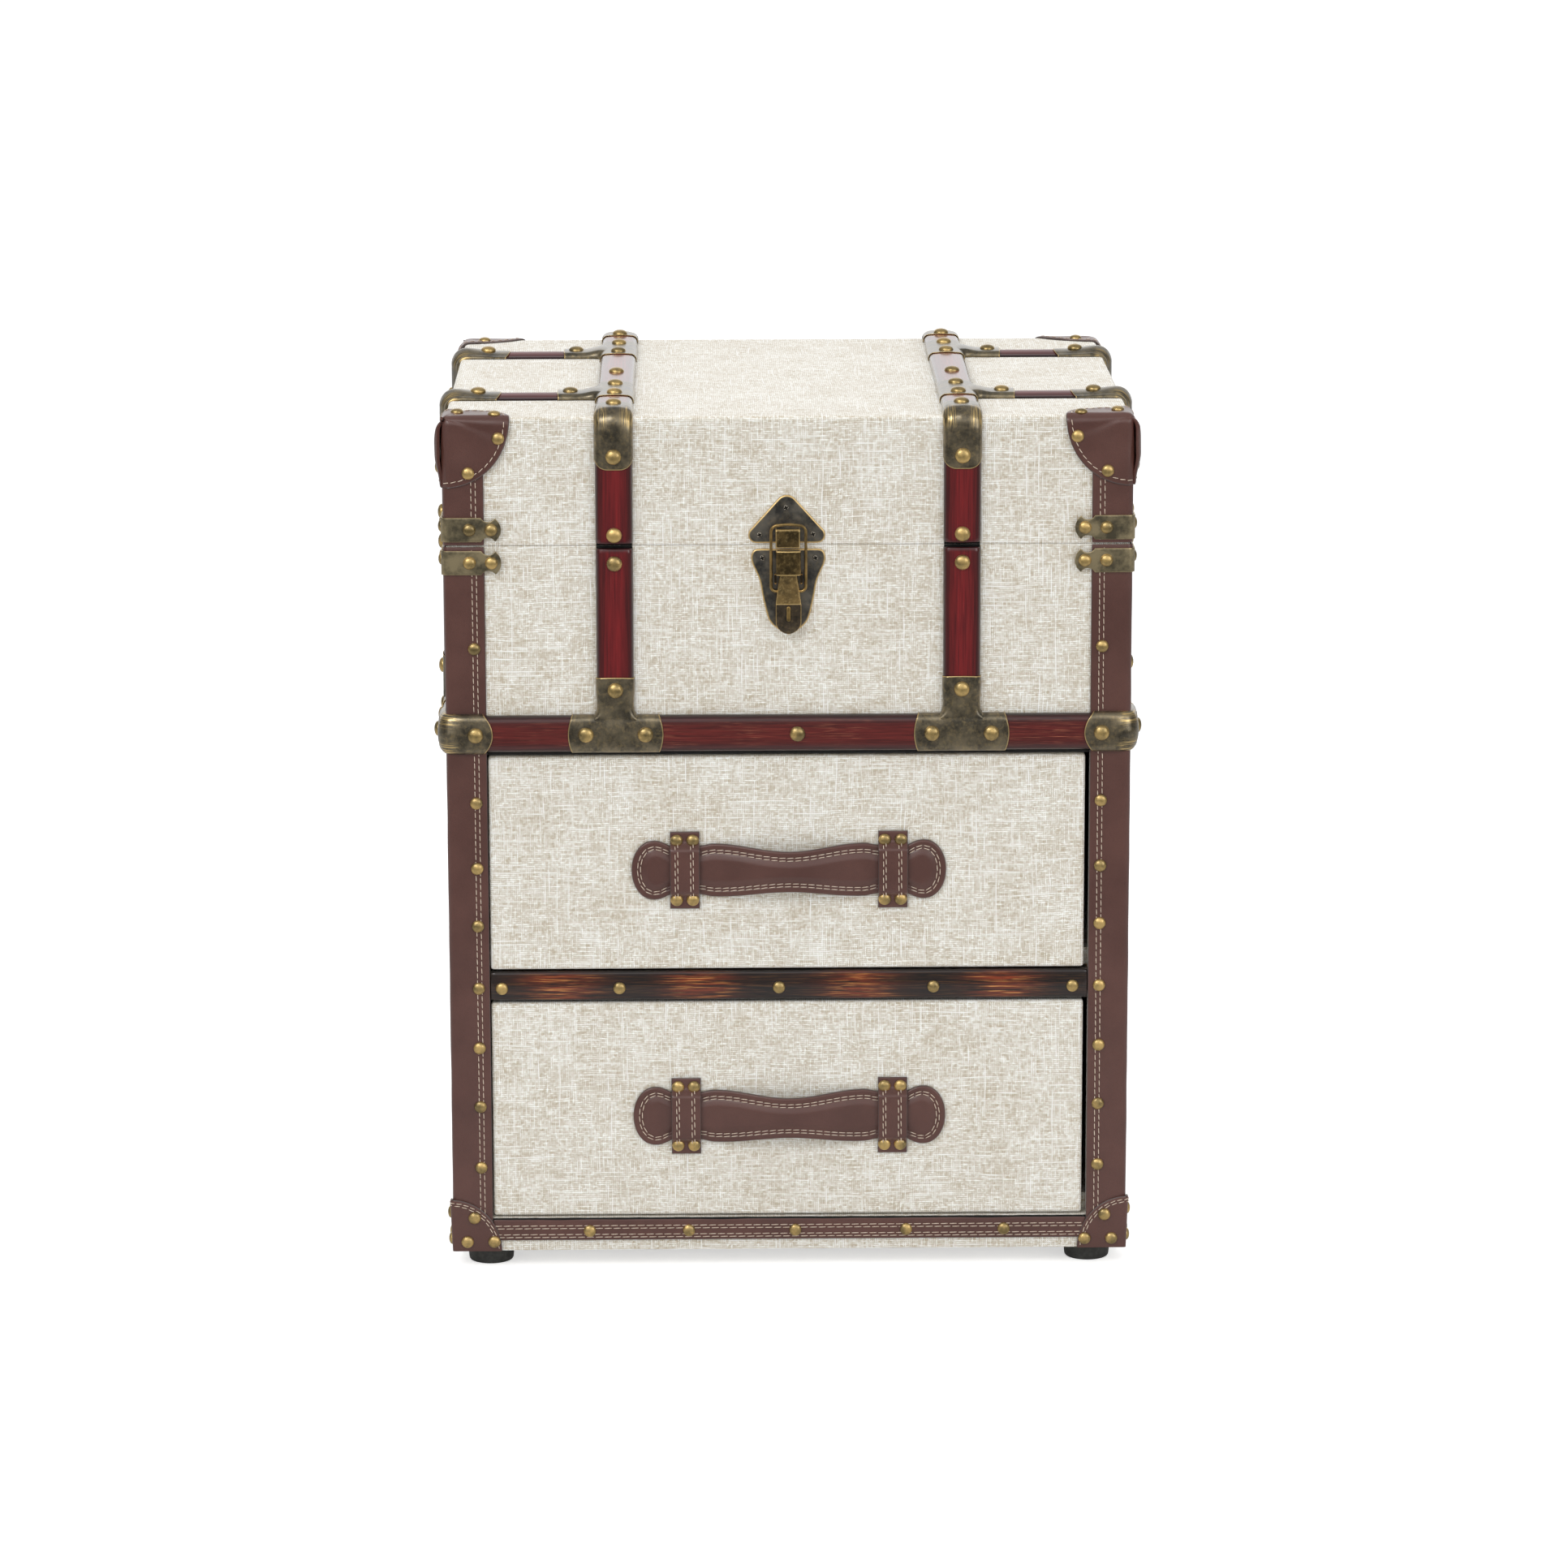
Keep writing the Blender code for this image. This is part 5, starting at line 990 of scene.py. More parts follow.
def brass_straps():
    """Flat brass straps round the corners, above and below the seam."""
    bend = EDGE_BEND + STRAP_SHEET
    levels = (("body", body_strap_low[2], body_strap_high[2], "case"),
              ("lid", lid_strap_low[2], lid_strap_high[2], "lid"))
    for level_name, low, high, body in levels:
        for name, side, end in quarters():
            path = corner_path(side, end, GAP * 2 + LEATHER + STRAP_SHEET, STRAP_LEG, bend)
            length = path[0][-1]
            fine = np.linspace(0.0, 0.016, 46)
            at = np.concatenate([fine, np.linspace(0.0165, length - 0.0165, 40), length - fine[::-1]])[None]
            from_end = np.minimum(at, length - at)
            half = strap_half_height(STRAP_LEG - from_end, (high - low) / 2, STRAP_LEG)
            part = np.linspace(-1.0, 1.0, 13)[:, None]
            middle = (low + high) / 2
            level = middle + half * part
            node = f"corner_strap_{level_name}_{name.split('_')[1]}" if end < 0 else None
            piece(f"brass_strap_{level_name}_{name}", sheet_on(path, at, 0.0, level), "strap", body, node,
                  sheet=STRAP_SHEET, bevel=0.00025, flat=(level, at),
                  marks={"rim": np.minimum(half * (1 - np.abs(part)), from_end)})
            spots = [(from_corner(path, sign * distance, bend), ON_TOP, middle)
                     for sign in (-1, 1) for distance in STRAP_NAILS]
            nails_on(f"strap_nails_{level_name}_{name}", path, spots, body)


def belts():
    """The lacquered belt round the case and the slats that stand on it."""
    y_front, x_side = HALF_Y + GAP, HALF_X + GAP
    long_half, short_half = HALF_X - 0.008, HALF_Y - 0.008
    for name, end in ENDS:
        y = MID_Y + end * y_front
        path = polyline([(-long_half, y, BELT_Z), (long_half, y, BELT_Z)], end * Y_AXIS)
        slat(f"belt_{name}_bar", path, Z_AXIS, BELT_HALF, "belt", "case", f"belt_{name}")
    for name, side in SIDES:
        x = side * x_side
        path = polyline([(x, MID_Y - short_half, BELT_Z), (x, MID_Y + short_half, BELT_Z)], side * X_AXIS)
        slat(f"belt_{name}_bar", path, Z_AXIS, BELT_HALF, "belt", "case", f"side_slats_{name}")
        for end_name, end in ENDS:
            y = MID_Y + end * CROSS_Y
            path = polyline([(x, y, belt_high[2] - 0.001), (x, y, slat_high[2])], side * X_AXIS)
            slat(f"side_slat_{end_name}_{name}", path, Y_AXIS, SLAT_HALF, "red_slat", "case")
        x, y = side * SLAT_X, MID_Y - y_front
        path = polyline([(x, y, slat_low[2]), (x, y, slat_high[2])], -Y_AXIS)
        slat(f"front_slat_{name}_bar", path, X_AXIS, SLAT_HALF, "red_slat", "case", f"front_slat_{name}")
    crown = MID_Y - y_front - SLAT_THICK
    nail_z = SEAM - SEAM_NAIL_DROP
    places = [(BELT_NAIL_X, crown, BELT_Z)] + [(side * SLAT_X, crown, nail_z) for _, side in SIDES]
    nails("front_slat_nails", places, -Y_AXIS, "case", LARGE_NAIL)
    corners = [(side, end) for _, side in SIDES for _, end in ENDS]
    places = [(side * (x_side + SLAT_THICK), MID_Y + end * CROSS_Y, nail_z) for side, end in corners]
    facings = [side * X_AXIS for side, _ in corners]
    nails("side_slat_nails", places, facings, "case", LARGE_NAIL)
    places = xyz(np.array(BACK_NAILS_X), BACK + GAP + SLAT_THICK, BELT_Z)
    nails("back_belt_nails", places, Y_AXIS, "case", LARGE_NAIL)


def belt_corner_caps():
    """Brass folded over the belt's corners, with bowed ends and a ball-like corner."""
    rise = SLAT_THICK + 0.0014
    bend = 0.003
    bow = 0.0065
    for name, side, end in quarters():
        travel, points, facings = corner_path(side, end, GAP, BELT_CAP_LEG, bend)
        path = (travel, points + Z_AXIS * BELT_Z, facings)
        length = travel[-1]
        sleeve(f"belt_cap_{name}", path, Z_AXIS, BELT_HALF + 0.0014, "cap", "case",
               (bowed_end(bow, -bow), bowed_end(length - bow, bow)), f"belt_corner_cap_{name}",
               rise=rise, crease_at=length / 2, ball=0.4, rows=CAP_ROWS, sheet=0.0011)
        spots = [(from_corner(path, sign * BELT_CAP_NAIL, bend), rise, 0.0) for sign in (-1, 1)]
        nails_on(f"belt_cap_nails_{name}", path, spots, "case", LARGE_NAIL)


def t_cap(name, centre, bar_way, stem_way, facing, bar_half, body, stands_for=None, tip=1.0):
    """A T of sheet brass: a bar with bowed ends over one slat, a stem over the other.

    tip is the share of the height that is left at the stem's end.
    """
    centre = np.asarray(centre, dtype=float)
    bow = 0.0028
    bar = polyline([centre - bar_way * T_BAR_HALF, centre + bar_way * T_BAR_HALF], facing)
    ends = (bowed_end(bow, -bow), bowed_end(T_BAR_HALF * 2 - bow, bow))
    sleeve(f"{name}_bar", bar, stem_way, bar_half + COVER_LIP, "cap", body, ends, stands_for)
    reach = bar_half + T_STEM
    start = bar_half * 0.45
    neck = bar_half - start
    stem = polyline([centre + stem_way * start, centre + stem_way * reach], facing)

    def flare(at):
        """Added half width: wide where the stem leaves the bar, with a slight waist after it."""
        past = (at - neck) / 0.010
        wide = 0.0052 * np.exp(-np.clip(past + 0.45, 0.0, None) ** 2 * 5)
        return wide - 0.0005 * np.exp(-((past - 0.8) ** 2) * 2.6)

    def thin(at):
        """Share of the height: a little low inside the bar, and falling to the tip's share."""
        return (1 - (1 - tip) * ease((at - neck + 0.002) / 0.014)) * (0.86 + 0.14 * ease(at / 0.006))

    sleeve(f"{name}_stem", stem, bar_way, SLAT_HALF + COVER_LIP, "cap", body,
           (flat_end(0.0), bowed_end(reach - start - 0.0006, 0.0006)), rise=COVER_RISE + 0.0002,
           rows=50, thin=thin, flare=flare, joined=True)
    on_stem = bar_half + T_STEM_NAIL
    places = [centre + bar_way * along_bar + facing * COVER_RISE for along_bar in (-T_BAR_NAIL, T_BAR_NAIL)]
    places.append(centre + stem_way * on_stem + facing * COVER_RISE * thin(on_stem - start))
    nails(f"{name}_nails", places, facing, body, LARGE_NAIL)


def t_caps():
    """T caps where slats meet: at the belt in front and on the sides, and on the lid's top."""
    for name, side in SIDES:
        t_cap(f"t_cap_{name}_brass", (side * SLAT_X, FRONT - GAP, BELT_Z), X_AXIS, Z_AXIS, -Y_AXIS, BELT_HALF,
              "case", f"t_cap_{name}")
        for end_name, end in ENDS:
            y = MID_Y + end * CROSS_Y
            t_cap(f"side_t_cap_{end_name}_{name}", (side * (HALF_X + GAP), y, BELT_Z), Y_AXIS, Z_AXIS,
                  side * X_AXIS, BELT_HALF, "case")
            t_cap(f"top_t_cap_{end_name}_{name}", (side * SLAT_X, y, LID_TOP + GAP), Y_AXIS, side * X_AXIS,
                  Z_AXIS, SLAT_HALF, "lid", tip=0.66)


def fold_dip(distance):
    """How much thinner a slat is under a cap's fold, as a share, at a distance from the bend."""
    return 0.3 * np.exp(-(distance / 0.008) ** 2)


def lid_slats():
    """Slats over the lid with brass caps folded over its edges."""
    y_front, top = HALF_Y + GAP, LID_TOP + GAP
    bottom = LID_BOTTOM + 0.0015
    rear_end = LID_TOP - 0.040
    wide = SLAT_HALF + COVER_LIP
    arc = SLAT_BEND * (1 - math.pi / 4)
    cap = {"ball": CAP_BALL, "rows": CAP_ROWS}
    for name, side in SIDES:
        x = side * SLAT_X
        path = folded([(x, MID_Y - y_front, bottom), (x, MID_Y - y_front, top), (x, MID_Y + y_front, top),
                       (x, MID_Y + y_front, rear_end)], [-Y_AXIS, Z_AXIS, Y_AXIS], SLAT_BEND)
        total = path[0][-1]
        front_bend = top - bottom - arc
        rear_bend = total - (top - rear_end) + arc

        def sunk(at, bends=(front_bend, rear_bend)):
            """Share of the slat's height, lower under both caps' folds."""
            return 1 - sum(fold_dip(at - bend) for bend in bends)

        slat(f"lid_slat_{name}", path, X_AXIS, SLAT_HALF, "red_slat", "lid", f"lid_slats_{name}", thin=sunk)
        ends = (rounded_end(front_bend - CAP_DOWN, CAP_ROUND, wide),
                bowed_end(front_bend + CAP_OVER, CAP_BOW))
        sleeve(f"lid_cap_{name}", path, X_AXIS, wide, "cap", "lid", ends, f"lid_slat_cap_{name}",
               crease_at=front_bend, **cap)
        ends = (bowed_end(rear_bend - CAP_OVER, -CAP_BOW), rounded_end(total - 0.0012, -CAP_ROUND, wide))
        sleeve(f"lid_rear_cap_{name}", path, X_AXIS, wide, "cap", "lid", ends, crease_at=rear_bend, **cap)
        on_wall, on_top = CAP_NAILS
        spots = [(at, COVER_RISE, 0.0) for at in (front_bend - on_wall, front_bend + on_top,
                                                  rear_bend - on_top, rear_bend + on_wall)]
        spots += [(at, SLAT_THICK, 0.0) for at in (SEAM + 0.0080 - bottom, total / 2 + 0.005)]
        nails_on(f"lid_slat_nails_{name}", path, spots, "lid", LARGE_NAIL)
        for end_name, end in ENDS:
            cross_slat(f"{end_name}_{name}", side, MID_Y + end * CROSS_Y, top, bottom)


def cross_slat(name, side, y, top, bottom):
    """A slat from a long one to the lid's side, thin on the top, with its folded cap."""
    wide = SLAT_HALF + COVER_LIP
    inner, outer = SLAT_X + SLAT_HALF - 0.001, HALF_X + GAP
    path = folded([(side * inner, y, top), (side * outer, y, top), (side * outer, y, bottom)],
                  [Z_AXIS, side * X_AXIS], SLAT_BEND)
    turn_at = outer - inner - SLAT_BEND * (1 - math.pi / 4)
    on_wall, on_top = turn_at + SIDE_CAP_NAILS[0], turn_at - SIDE_CAP_NAILS[1]

    def swell(at):
        """0 on the thin part on the lid's top, rising to 1 at the bend."""
        return ease((at - turn_at + 0.028) / 0.030)

    def thin(at):
        """Share of the height, from the thin part to the full height."""
        return CROSS_THIN + (1 - CROSS_THIN) * swell(at)

    def sunk(at):
        """The slat's share of the height, lower under the cap's fold."""
        return thin(at) * (1 - fold_dip(at - turn_at))

    def cover_thin(at):
        """The cap's share of the height, a little more than the slat's on the thin part."""
        return thin(at) + 0.05 * (1 - swell(at))

    slat(f"cross_slat_{name}", path, Y_AXIS, SLAT_HALF, "cross", "lid", height=SLAT_THICK - 0.0001,
         edge=0.0018, thin=sunk, crown=CROSS_CROWN)
    ends = (bowed_end(turn_at - SIDE_CAP_OVER, -CAP_BOW),
            rounded_end(turn_at + SIDE_CAP_DOWN, -CAP_ROUND, wide))
    sleeve(f"side_cap_{name}", path, Y_AXIS, wide, "cap", "lid", ends, edge=0.0020, crease_at=turn_at,
           ball=CAP_BALL, rows=CAP_ROWS, thin=cover_thin, crown=CROSS_CROWN)
    spots = ((on_top, COVER_RISE * cover_thin(on_top), 0.0), (on_wall, COVER_RISE, 0.0),
             (path[0][-1] - 0.0070, SLAT_THICK, 0.0))
    nails_on(f"cross_slat_nails_{name}", path, spots, "lid", LARGE_NAIL)


# Leather corners of the lid: how far they stand off, their rounding and the sizes of their
# flaps, then each nail's turn round the tip and its distance from the outline, by end
CORNER_OUT = 0.0035
CORNER_UP = 0.0016
CORNER_ROUND = 0.0068
CORNER_WIDE = 0.0475
CORNER_DEEP = 0.035
CORNER_TALL = 0.0495
CORNER_LEATHER = 0.0020
CORNER_NAILS = {
    -1: [(0.763, 0.0058), (0.29, 0.0064), (1.13, 0.0095), (1.656, 0.0100), (2.30, 0.0070), (2.73, 0.0066)],
    1: [(0.763, 0.0058), (0.29, 0.0064), (1.45, 0.0092), (2.30, 0.0070), (2.73, 0.0066)],
}


def flap_reach(first, second, power, first_way, second_way):
    """Distance to a flap's outline, a quarter of an ellipse made fuller or leaner by its power."""
    return ((first_way / first) ** power + (second_way / second) ** power) ** (-1 / power)


def corner_point(turn, share, side, end, inset=None):
    """A point of a leather corner of the lid and the way it faces.

    turn goes round the corner's tip: 0 to 1 over the front or back flap, 1 to 2
    over the top and 2 to 3 over the side. share goes from the tip to the
    outline, or inset is a distance from the outline. The flat flaps are
    rounded where they meet, by pushing each point out from an inner box.
    """
    turn, share = np.broadcast_arrays(np.asarray(turn, dtype=float), np.asarray(share, dtype=float))
    quarter = math.pi / 2
    zero = np.zeros_like(turn)
    front = (np.sin(turn * quarter), zero, np.cos(turn * quarter))
    top = (np.cos((turn - 1) * quarter), np.sin((turn - 1) * quarter), zero)
    flank = (zero, np.cos((turn - 2) * quarter), np.sin((turn - 2) * quarter))
    tucked = (zero, np.sin(-turn * quarter), np.cos(turn * quarter))
    stages = [turn < 0, turn < 1, turn < 2]
    ways = np.select(stages, [np.stack(way) for way in (tucked, front, top)], np.stack(flank))
    front_reach = flap_reach(CORNER_WIDE, CORNER_TALL, 2.15, np.abs(front[0]), np.abs(front[2]))
    wave = 1 - 0.22 * np.exp(-((turn - 1.70) / 0.075) ** 2) * (end < 0)
    top_deep, top_power = (CORNER_DEEP, 2.3) if end < 0 else (0.028, 1.6)
    top_reach = flap_reach(CORNER_WIDE, top_deep, top_power, np.abs(top[0]), np.abs(top[1])) * wave
    flank_reach = flap_reach(top_deep, CORNER_TALL, 2.2, np.abs(flank[1]), np.abs(flank[2]))
    tucked_reach = flap_reach(top_deep, CORNER_TALL, 2.2, np.abs(tucked[1]), np.abs(tucked[2]))
    reach = np.select(stages, [tucked_reach, front_reach, top_reach], flank_reach)
    distance = reach * share if inset is None else reach - inset
    flat = ways * distance
    core = np.maximum(flat, CORNER_ROUND)
    spoke = flat - core
    spoke = spoke / np.linalg.norm(spoke, axis=0)
    near_rim = reach - distance
    dips = np.exp(-((turn - 0.80) / 0.07) ** 2) + np.exp(-((turn - 1.5) / 0.10) ** 2)
    lift = (0.0003 * ripple(distance, turn * 0.03, 0.018, side + 2 * end) - rolled(near_rim, 0.0005, 0.0008)
            - 0.0005 * dips * ease(distance / 0.02))
    gape = ease((turn - 2.35) / 0.5) * ease(distance / 0.010) * (1 - 0.85 * ease((distance - 0.028) / 0.020))
    lift = lift + 0.0036 * gape - 0.0004 * (turn < 0.05)
    depth = core + spoke * (CORNER_ROUND + lift)
    point = xyz(side * (HALF_X + CORNER_OUT - depth[0]), MID_Y + end * (HALF_Y + CORNER_OUT - depth[1]),
                LID_TOP + CORNER_UP - depth[2])
    return point, xyz(-side * spoke[0], -end * spoke[1], -spoke[2]), near_rim


def lid_corners():
    """Leather corners of the lid with their nails and stitches, and the leather under them."""
    for number, (name, side, end) in enumerate(quarters()):
        turn = np.linspace(-0.10, 2.96, 170)[None]
        share = np.linspace(0.0, 1.0, 48)[:, None] ** 0.85
        grid, _, near_rim = corner_point(turn, share, side, end)
        piece(f"lid_corner_{name}", grid, "leather", "lid", f"lid_corner_leather_{name}",
              sheet=CORNER_LEATHER, bevel=0.0004, marks={"rim": near_rim})
        edge_leather(f"lid_edge_leather_{name}", side, end, LID_BOTTOM + 0.0004, LID_TOP - 0.030, "lid",
                     seed=5.0 + number)
        rows = []
        for first, last in ((0.02, 0.97), (1.03, 1.97), (2.03, 2.93)):
            line, facing, _ = corner_point(np.linspace(first, last, 60), 1.0, side, end, inset=0.0036)
            rows.append((line + facing * ON_TOP, facing))
        stitches(f"lid_corner_stitches_{name}", rows, "lid")
        turns, insets = np.array(CORNER_NAILS[end]).T
        places, facings, _ = corner_point(turns, 1.0, side, end, inset=insets)
        nails(f"lid_corner_nails_{name}", places + facings * ON_TOP, facings, "lid")


def ring_loop(half_x, half_y, corner, straight, arc=5):
    """Points round a rectangle with rounded corners, centred on nothing, as x and y."""
    xs, ys = [], []
    for k, (sx, sy) in enumerate(((1, 1), (-1, 1), (-1, -1), (1, -1))):
        turn = np.linspace(0.0, math.pi / 2, arc) + k * math.pi / 2
        xs.append(sx * (half_x - corner) + corner * np.cos(turn))
        ys.append(sy * (half_y - corner) + corner * np.sin(turn))
        if k % 2 == 0:
            xs.append(np.linspace(sx * (half_x - corner), -sx * (half_x - corner), straight + 2)[1:-1])
            ys.append(np.full(straight, sy * half_y))
        else:
            xs.append(np.full(straight, sx * half_x))
            ys.append(np.linspace(sy * (half_y - corner), -sy * (half_y - corner), straight + 2)[1:-1])
    return np.concatenate(xs), np.concatenate(ys)


def lid_linen():
    """The linen lid: one skin that runs up the walls, over the top, and back inside.

    Each ring is the rounded plan drawn in by an inset and set at a level.
    """
    edge, wall = LINEN_EDGE, 0.009
    turn = np.linspace(0.0, math.pi / 2, 8)
    outside = [(0.0, LID_BOTTOM - 0.0004), (0.0, LID_BOTTOM + 0.001)]
    outside += [(0.0, level) for level in np.linspace(LID_BOTTOM + 0.004, LID_TOP - edge, 10)]
    outside += [(edge - edge * math.cos(a), LID_TOP - edge + edge * math.sin(a)) for a in turn[1:]]
    outside += [(inset, LID_TOP) for inset in np.linspace(edge * 1.6, HALF_Y, 14)]
    ceiling = LID_TOP - wall
    inside = [(0.0007, LID_BOTTOM - 0.0004), (wall - 0.0008, LID_BOTTOM)]
    inside += [(wall, level) for level in np.linspace(LID_BOTTOM + 0.0008, ceiling - 0.0008, 9)]
    inside += [(inset, ceiling) for inset in np.linspace(wall + 0.0008, HALF_Y, 9)]
    rings = []
    for inset, level in outside[::-1] + inside:
        corner = max(0.004 - inset, 0.0006)
        x, y = ring_loop(HALF_X - inset, max(HALF_Y - inset, corner), corner, 24)
        rings.append(xyz(x, MID_Y + y, level))
    grid = np.array(rings)
    grid[[0, -1], :, 1] = MID_Y
    piece("lid_linen", grid, "linen", "lid", "lid_shell", close=(False, True))


def drawer_fronts():
    """Linen-covered drawer fronts with softly rounded edges.

    Each ring is the front's outline drawn in by an inset and set at a depth.
    """
    edge = LINEN_EDGE
    turn = np.linspace(0.0, math.pi / 2, 7)
    for name in LEVELS:
        low, high = box_of(f"drawer_front_{name}")
        middle, half = (low + high) / 2, (high - low) / 2
        profile = [(half[2], half[1]), (0.0008, half[1]), (0.0, half[1] - 0.0008)]
        profile += [(0.0, depth) for depth in np.linspace(half[1] - 0.002, -half[1] + edge, 4)]
        profile += [(edge - edge * math.cos(a), -half[1] + edge - edge * math.sin(a)) for a in turn[1:]]
        profile += [(inset, -half[1]) for inset in np.linspace(edge * 1.8, half[2], 16)]
        rings = []
        for inset, depth in profile:
            corner = max(0.0020 - inset * 0.5, 0.0005)
            x, z = ring_loop(half[0] - inset, max(half[2] - inset, corner), corner, 30)
            rings.append(xyz(middle[0] + x, middle[1] + depth, middle[2] + z))
        grid = np.array(rings)
        grid[[0, -1], :, 2] = middle[2]
        piece(f"drawer_linen_{name}", grid, "linen", f"{name}_drawer", f"drawer_front_{name}",
              close=(False, True))


# Leather handles: the strap's half length and half heights, how far it bows out, its seams'
# distances from the outline and its keepers
HANDLE_HALF = 0.108
HANDLE_LOBE = 0.0207
HANDLE_WAIST = 0.0142
HANDLE_SHOULDER = 0.0186
HANDLE_PINCH = 0.0170
KEEPER_X = 0.0714
KEEPER_HALF = 0.0102
KEEPER_TALL = 0.0272
HANDLE_BOW = 0.0078
STRAP_MARGIN = 0.0026
STRAP_SEAMS = (0.0042, 0.0062)
KEEPER_SEAMS_X = (-0.0066, -0.0048, 0.0040, 0.0058)


def handle_half(x):
    """Half height of the strap: a waist, shoulders by the keepers, round lobes outside."""
    away = np.abs(x)
    inner, outer = KEEPER_X - KEEPER_HALF, KEEPER_X + KEEPER_HALF
    shoulder_at = inner - 0.011
    swing = (1 - np.cos(math.pi * np.clip(away / shoulder_at, 0, 1))) / 2
    waist = HANDLE_WAIST + (HANDLE_SHOULDER - HANDLE_WAIST) * swing
    narrowing = ease((away - shoulder_at) / (inner - shoulder_at)) ** 1.5
    neck = HANDLE_SHOULDER + (HANDLE_PINCH - HANDLE_SHOULDER) * narrowing
    part = (away - outer) / (HANDLE_HALF - outer)
    swell = HANDLE_PINCH + (HANDLE_LOBE - HANDLE_PINCH) * np.sin(math.pi / 2 * np.clip(part / 0.4, 0, 1))
    tip = HANDLE_LOBE * np.sqrt(np.clip(1 - np.clip((part - 0.4) / 0.6, 0, 1) ** 2.2, 0, 1))
    stages = [away < shoulder_at, away < inner, away < outer, part < 0.4]
    return np.select(stages, [waist, neck, HANDLE_PINCH + 0 * away, swell], tip)


def handle_lift(x):
    """How far the strap bows away from the drawer: a smooth hump between the keepers."""
    share = np.clip(np.abs(x) / (KEEPER_X - KEEPER_HALF), 0, 1)
    return HANDLE_BOW * (1 + np.cos(math.pi * share)) / 2


def handle_outline(count):
    """Outline points of the strap and the matching points of its middle line."""
    turn = np.linspace(0.0, math.tau, count, endpoint=False)
    x = HANDLE_HALF * np.sign(np.cos(turn)) * np.abs(np.cos(turn)) ** 0.8
    z = np.sign(np.sin(turn)) * handle_half(x)
    spine = np.clip(x, -(HANDLE_HALF - HANDLE_LOBE), HANDLE_HALF - HANDLE_LOBE)
    return x, z, spine


def handle_height(distance):
    """Thickness of the strap at a distance from its outline: flat margin, padded middle."""
    grooves = sum(0.0004 * np.exp(-((distance - seam) / 0.0005) ** 2) for seam in STRAP_SEAMS)
    padding = 0.0013 * ease((distance - STRAP_SEAMS[1] + 0.0006) / 0.0060)
    return STRAP_MARGIN - rolled(distance, 0.0010, 0.0005) + padding - grooves


def handle_seams(x, z, spine, length, back, centre_z):
    """Rows of stitches inside the strap's outline, broken where the keepers cross it."""
    def on_strap(across, up):
        """Points on the strap's flat margin."""
        return xyz(across, back - handle_lift(across) - STRAP_MARGIN, centre_z + up)

    rows = []
    inner, outer = KEEPER_X - KEEPER_HALF, KEEPER_X + KEEPER_HALF
    run = np.linspace(-inner, inner, 80)
    for inset in STRAP_SEAMS:
        share = inset / np.maximum(length, 1e-6)
        rx, rz = x + (spine - x) * share, z * (1 - share)
        line = on_strap(rx, rz)
        for low_x, high_x, shift in ((-HANDLE_HALF, -outer, 0), (outer, HANDLE_HALF, len(x) // 2)):
            turned = np.roll(np.arange(len(x)), shift)
            keep = turned[(rx[turned] > low_x) & (rx[turned] < high_x)]
            rows.append((line[keep], -Y_AXIS))
        for sign in (-1, 1):
            rows.append((on_strap(run, sign * (handle_half(run) - inset)), -Y_AXIS))
    return rows


def handles():
    """A padded leather strap on each drawer, with its stitches and two keepers.

    Each point lies on a line from the outline to the strap's middle line.
    """
    for name in LEVELS:
        low, high = box_of(f"drawer_handle_{name}")
        centre_z = (low[2] + high[2]) / 2
        back = box_of(f"drawer_front_{name}")[0][1] - GAP
        x, z, spine = handle_outline(260)
        length = np.hypot(x - spine, z)
        behind = np.linspace(1.0, 0.0, 5)
        share = np.concatenate([behind, np.linspace(0.0, 0.36, 18), np.linspace(0.40, 1.0, 12)])[:, None]
        across = x + (spine - x) * share
        height = handle_height(length * share)
        height[:len(behind)] = 0.0
        grid = xyz(across, back - handle_lift(across) - height, centre_z + z * (1 - share))
        rim = np.where(height > 0.0, length * share, 0.0) + 0.0002
        piece(f"handle_strap_{name}", grid, "leather", f"{name}_drawer", f"drawer_handle_{name}",
              close=(False, True), marks={"rim": rim})
        rows = handle_seams(x, z, spine, length, back, centre_z)
        stitches(f"handle_stitches_{name}", rows, f"{name}_drawer", 0.0052, 0.0046, 0.05)
        for side_name, side in SIDES:
            keeper(f"keeper_{name}_{side_name}", side * KEEPER_X, back, centre_z, f"{name}_drawer")


def keeper_rise(z):
    """How far a keeper's outer face stands off the drawer at a height from its middle."""
    reach = 0.0162
    hump = ease((reach + 0.0042 - np.abs(z)) / 0.0062)
    return 0.0021 + 0.0054 * hump - 0.0004 * (np.abs(z) / reach) ** 2 * hump


def keeper(name, centre_x, back, centre_z, body):
    """A leather loop bent over the strap, nailed at its four corners."""
    x = np.linspace(-KEEPER_HALF, KEEPER_HALF, 15)[None]
    z = np.linspace(-KEEPER_TALL, KEEPER_TALL, 60)[:, None]
    border = np.minimum(KEEPER_HALF - np.abs(x), KEEPER_TALL - np.abs(z))
    rise = keeper_rise(z) - rolled(border, 0.0004, 0.0006)
    piece(name, xyz(centre_x + x, back - rise, centre_z + z), "leather", body, sheet=0.0018,
          bevel=SOFT_EDGE, flat=(z, x), marks={"rim": border})
    run = np.linspace(-KEEPER_TALL + 0.009, KEEPER_TALL - 0.009, 40)
    rows = [(xyz(centre_x + across, back - keeper_rise(run) - ON_TOP, centre_z + run), -Y_AXIS)
            for across in KEEPER_SEAMS_X]
    stitches(f"{name}_stitches", rows, body, 0.0050, 0.0043, 0.05)
    places = [(centre_x + across, back - 0.0023, centre_z + up)
              for across in (-0.0056, 0.0054) for up in (-0.0208, 0.0208)]
    nails(f"{name}_nails", places, -Y_AXIS, body)


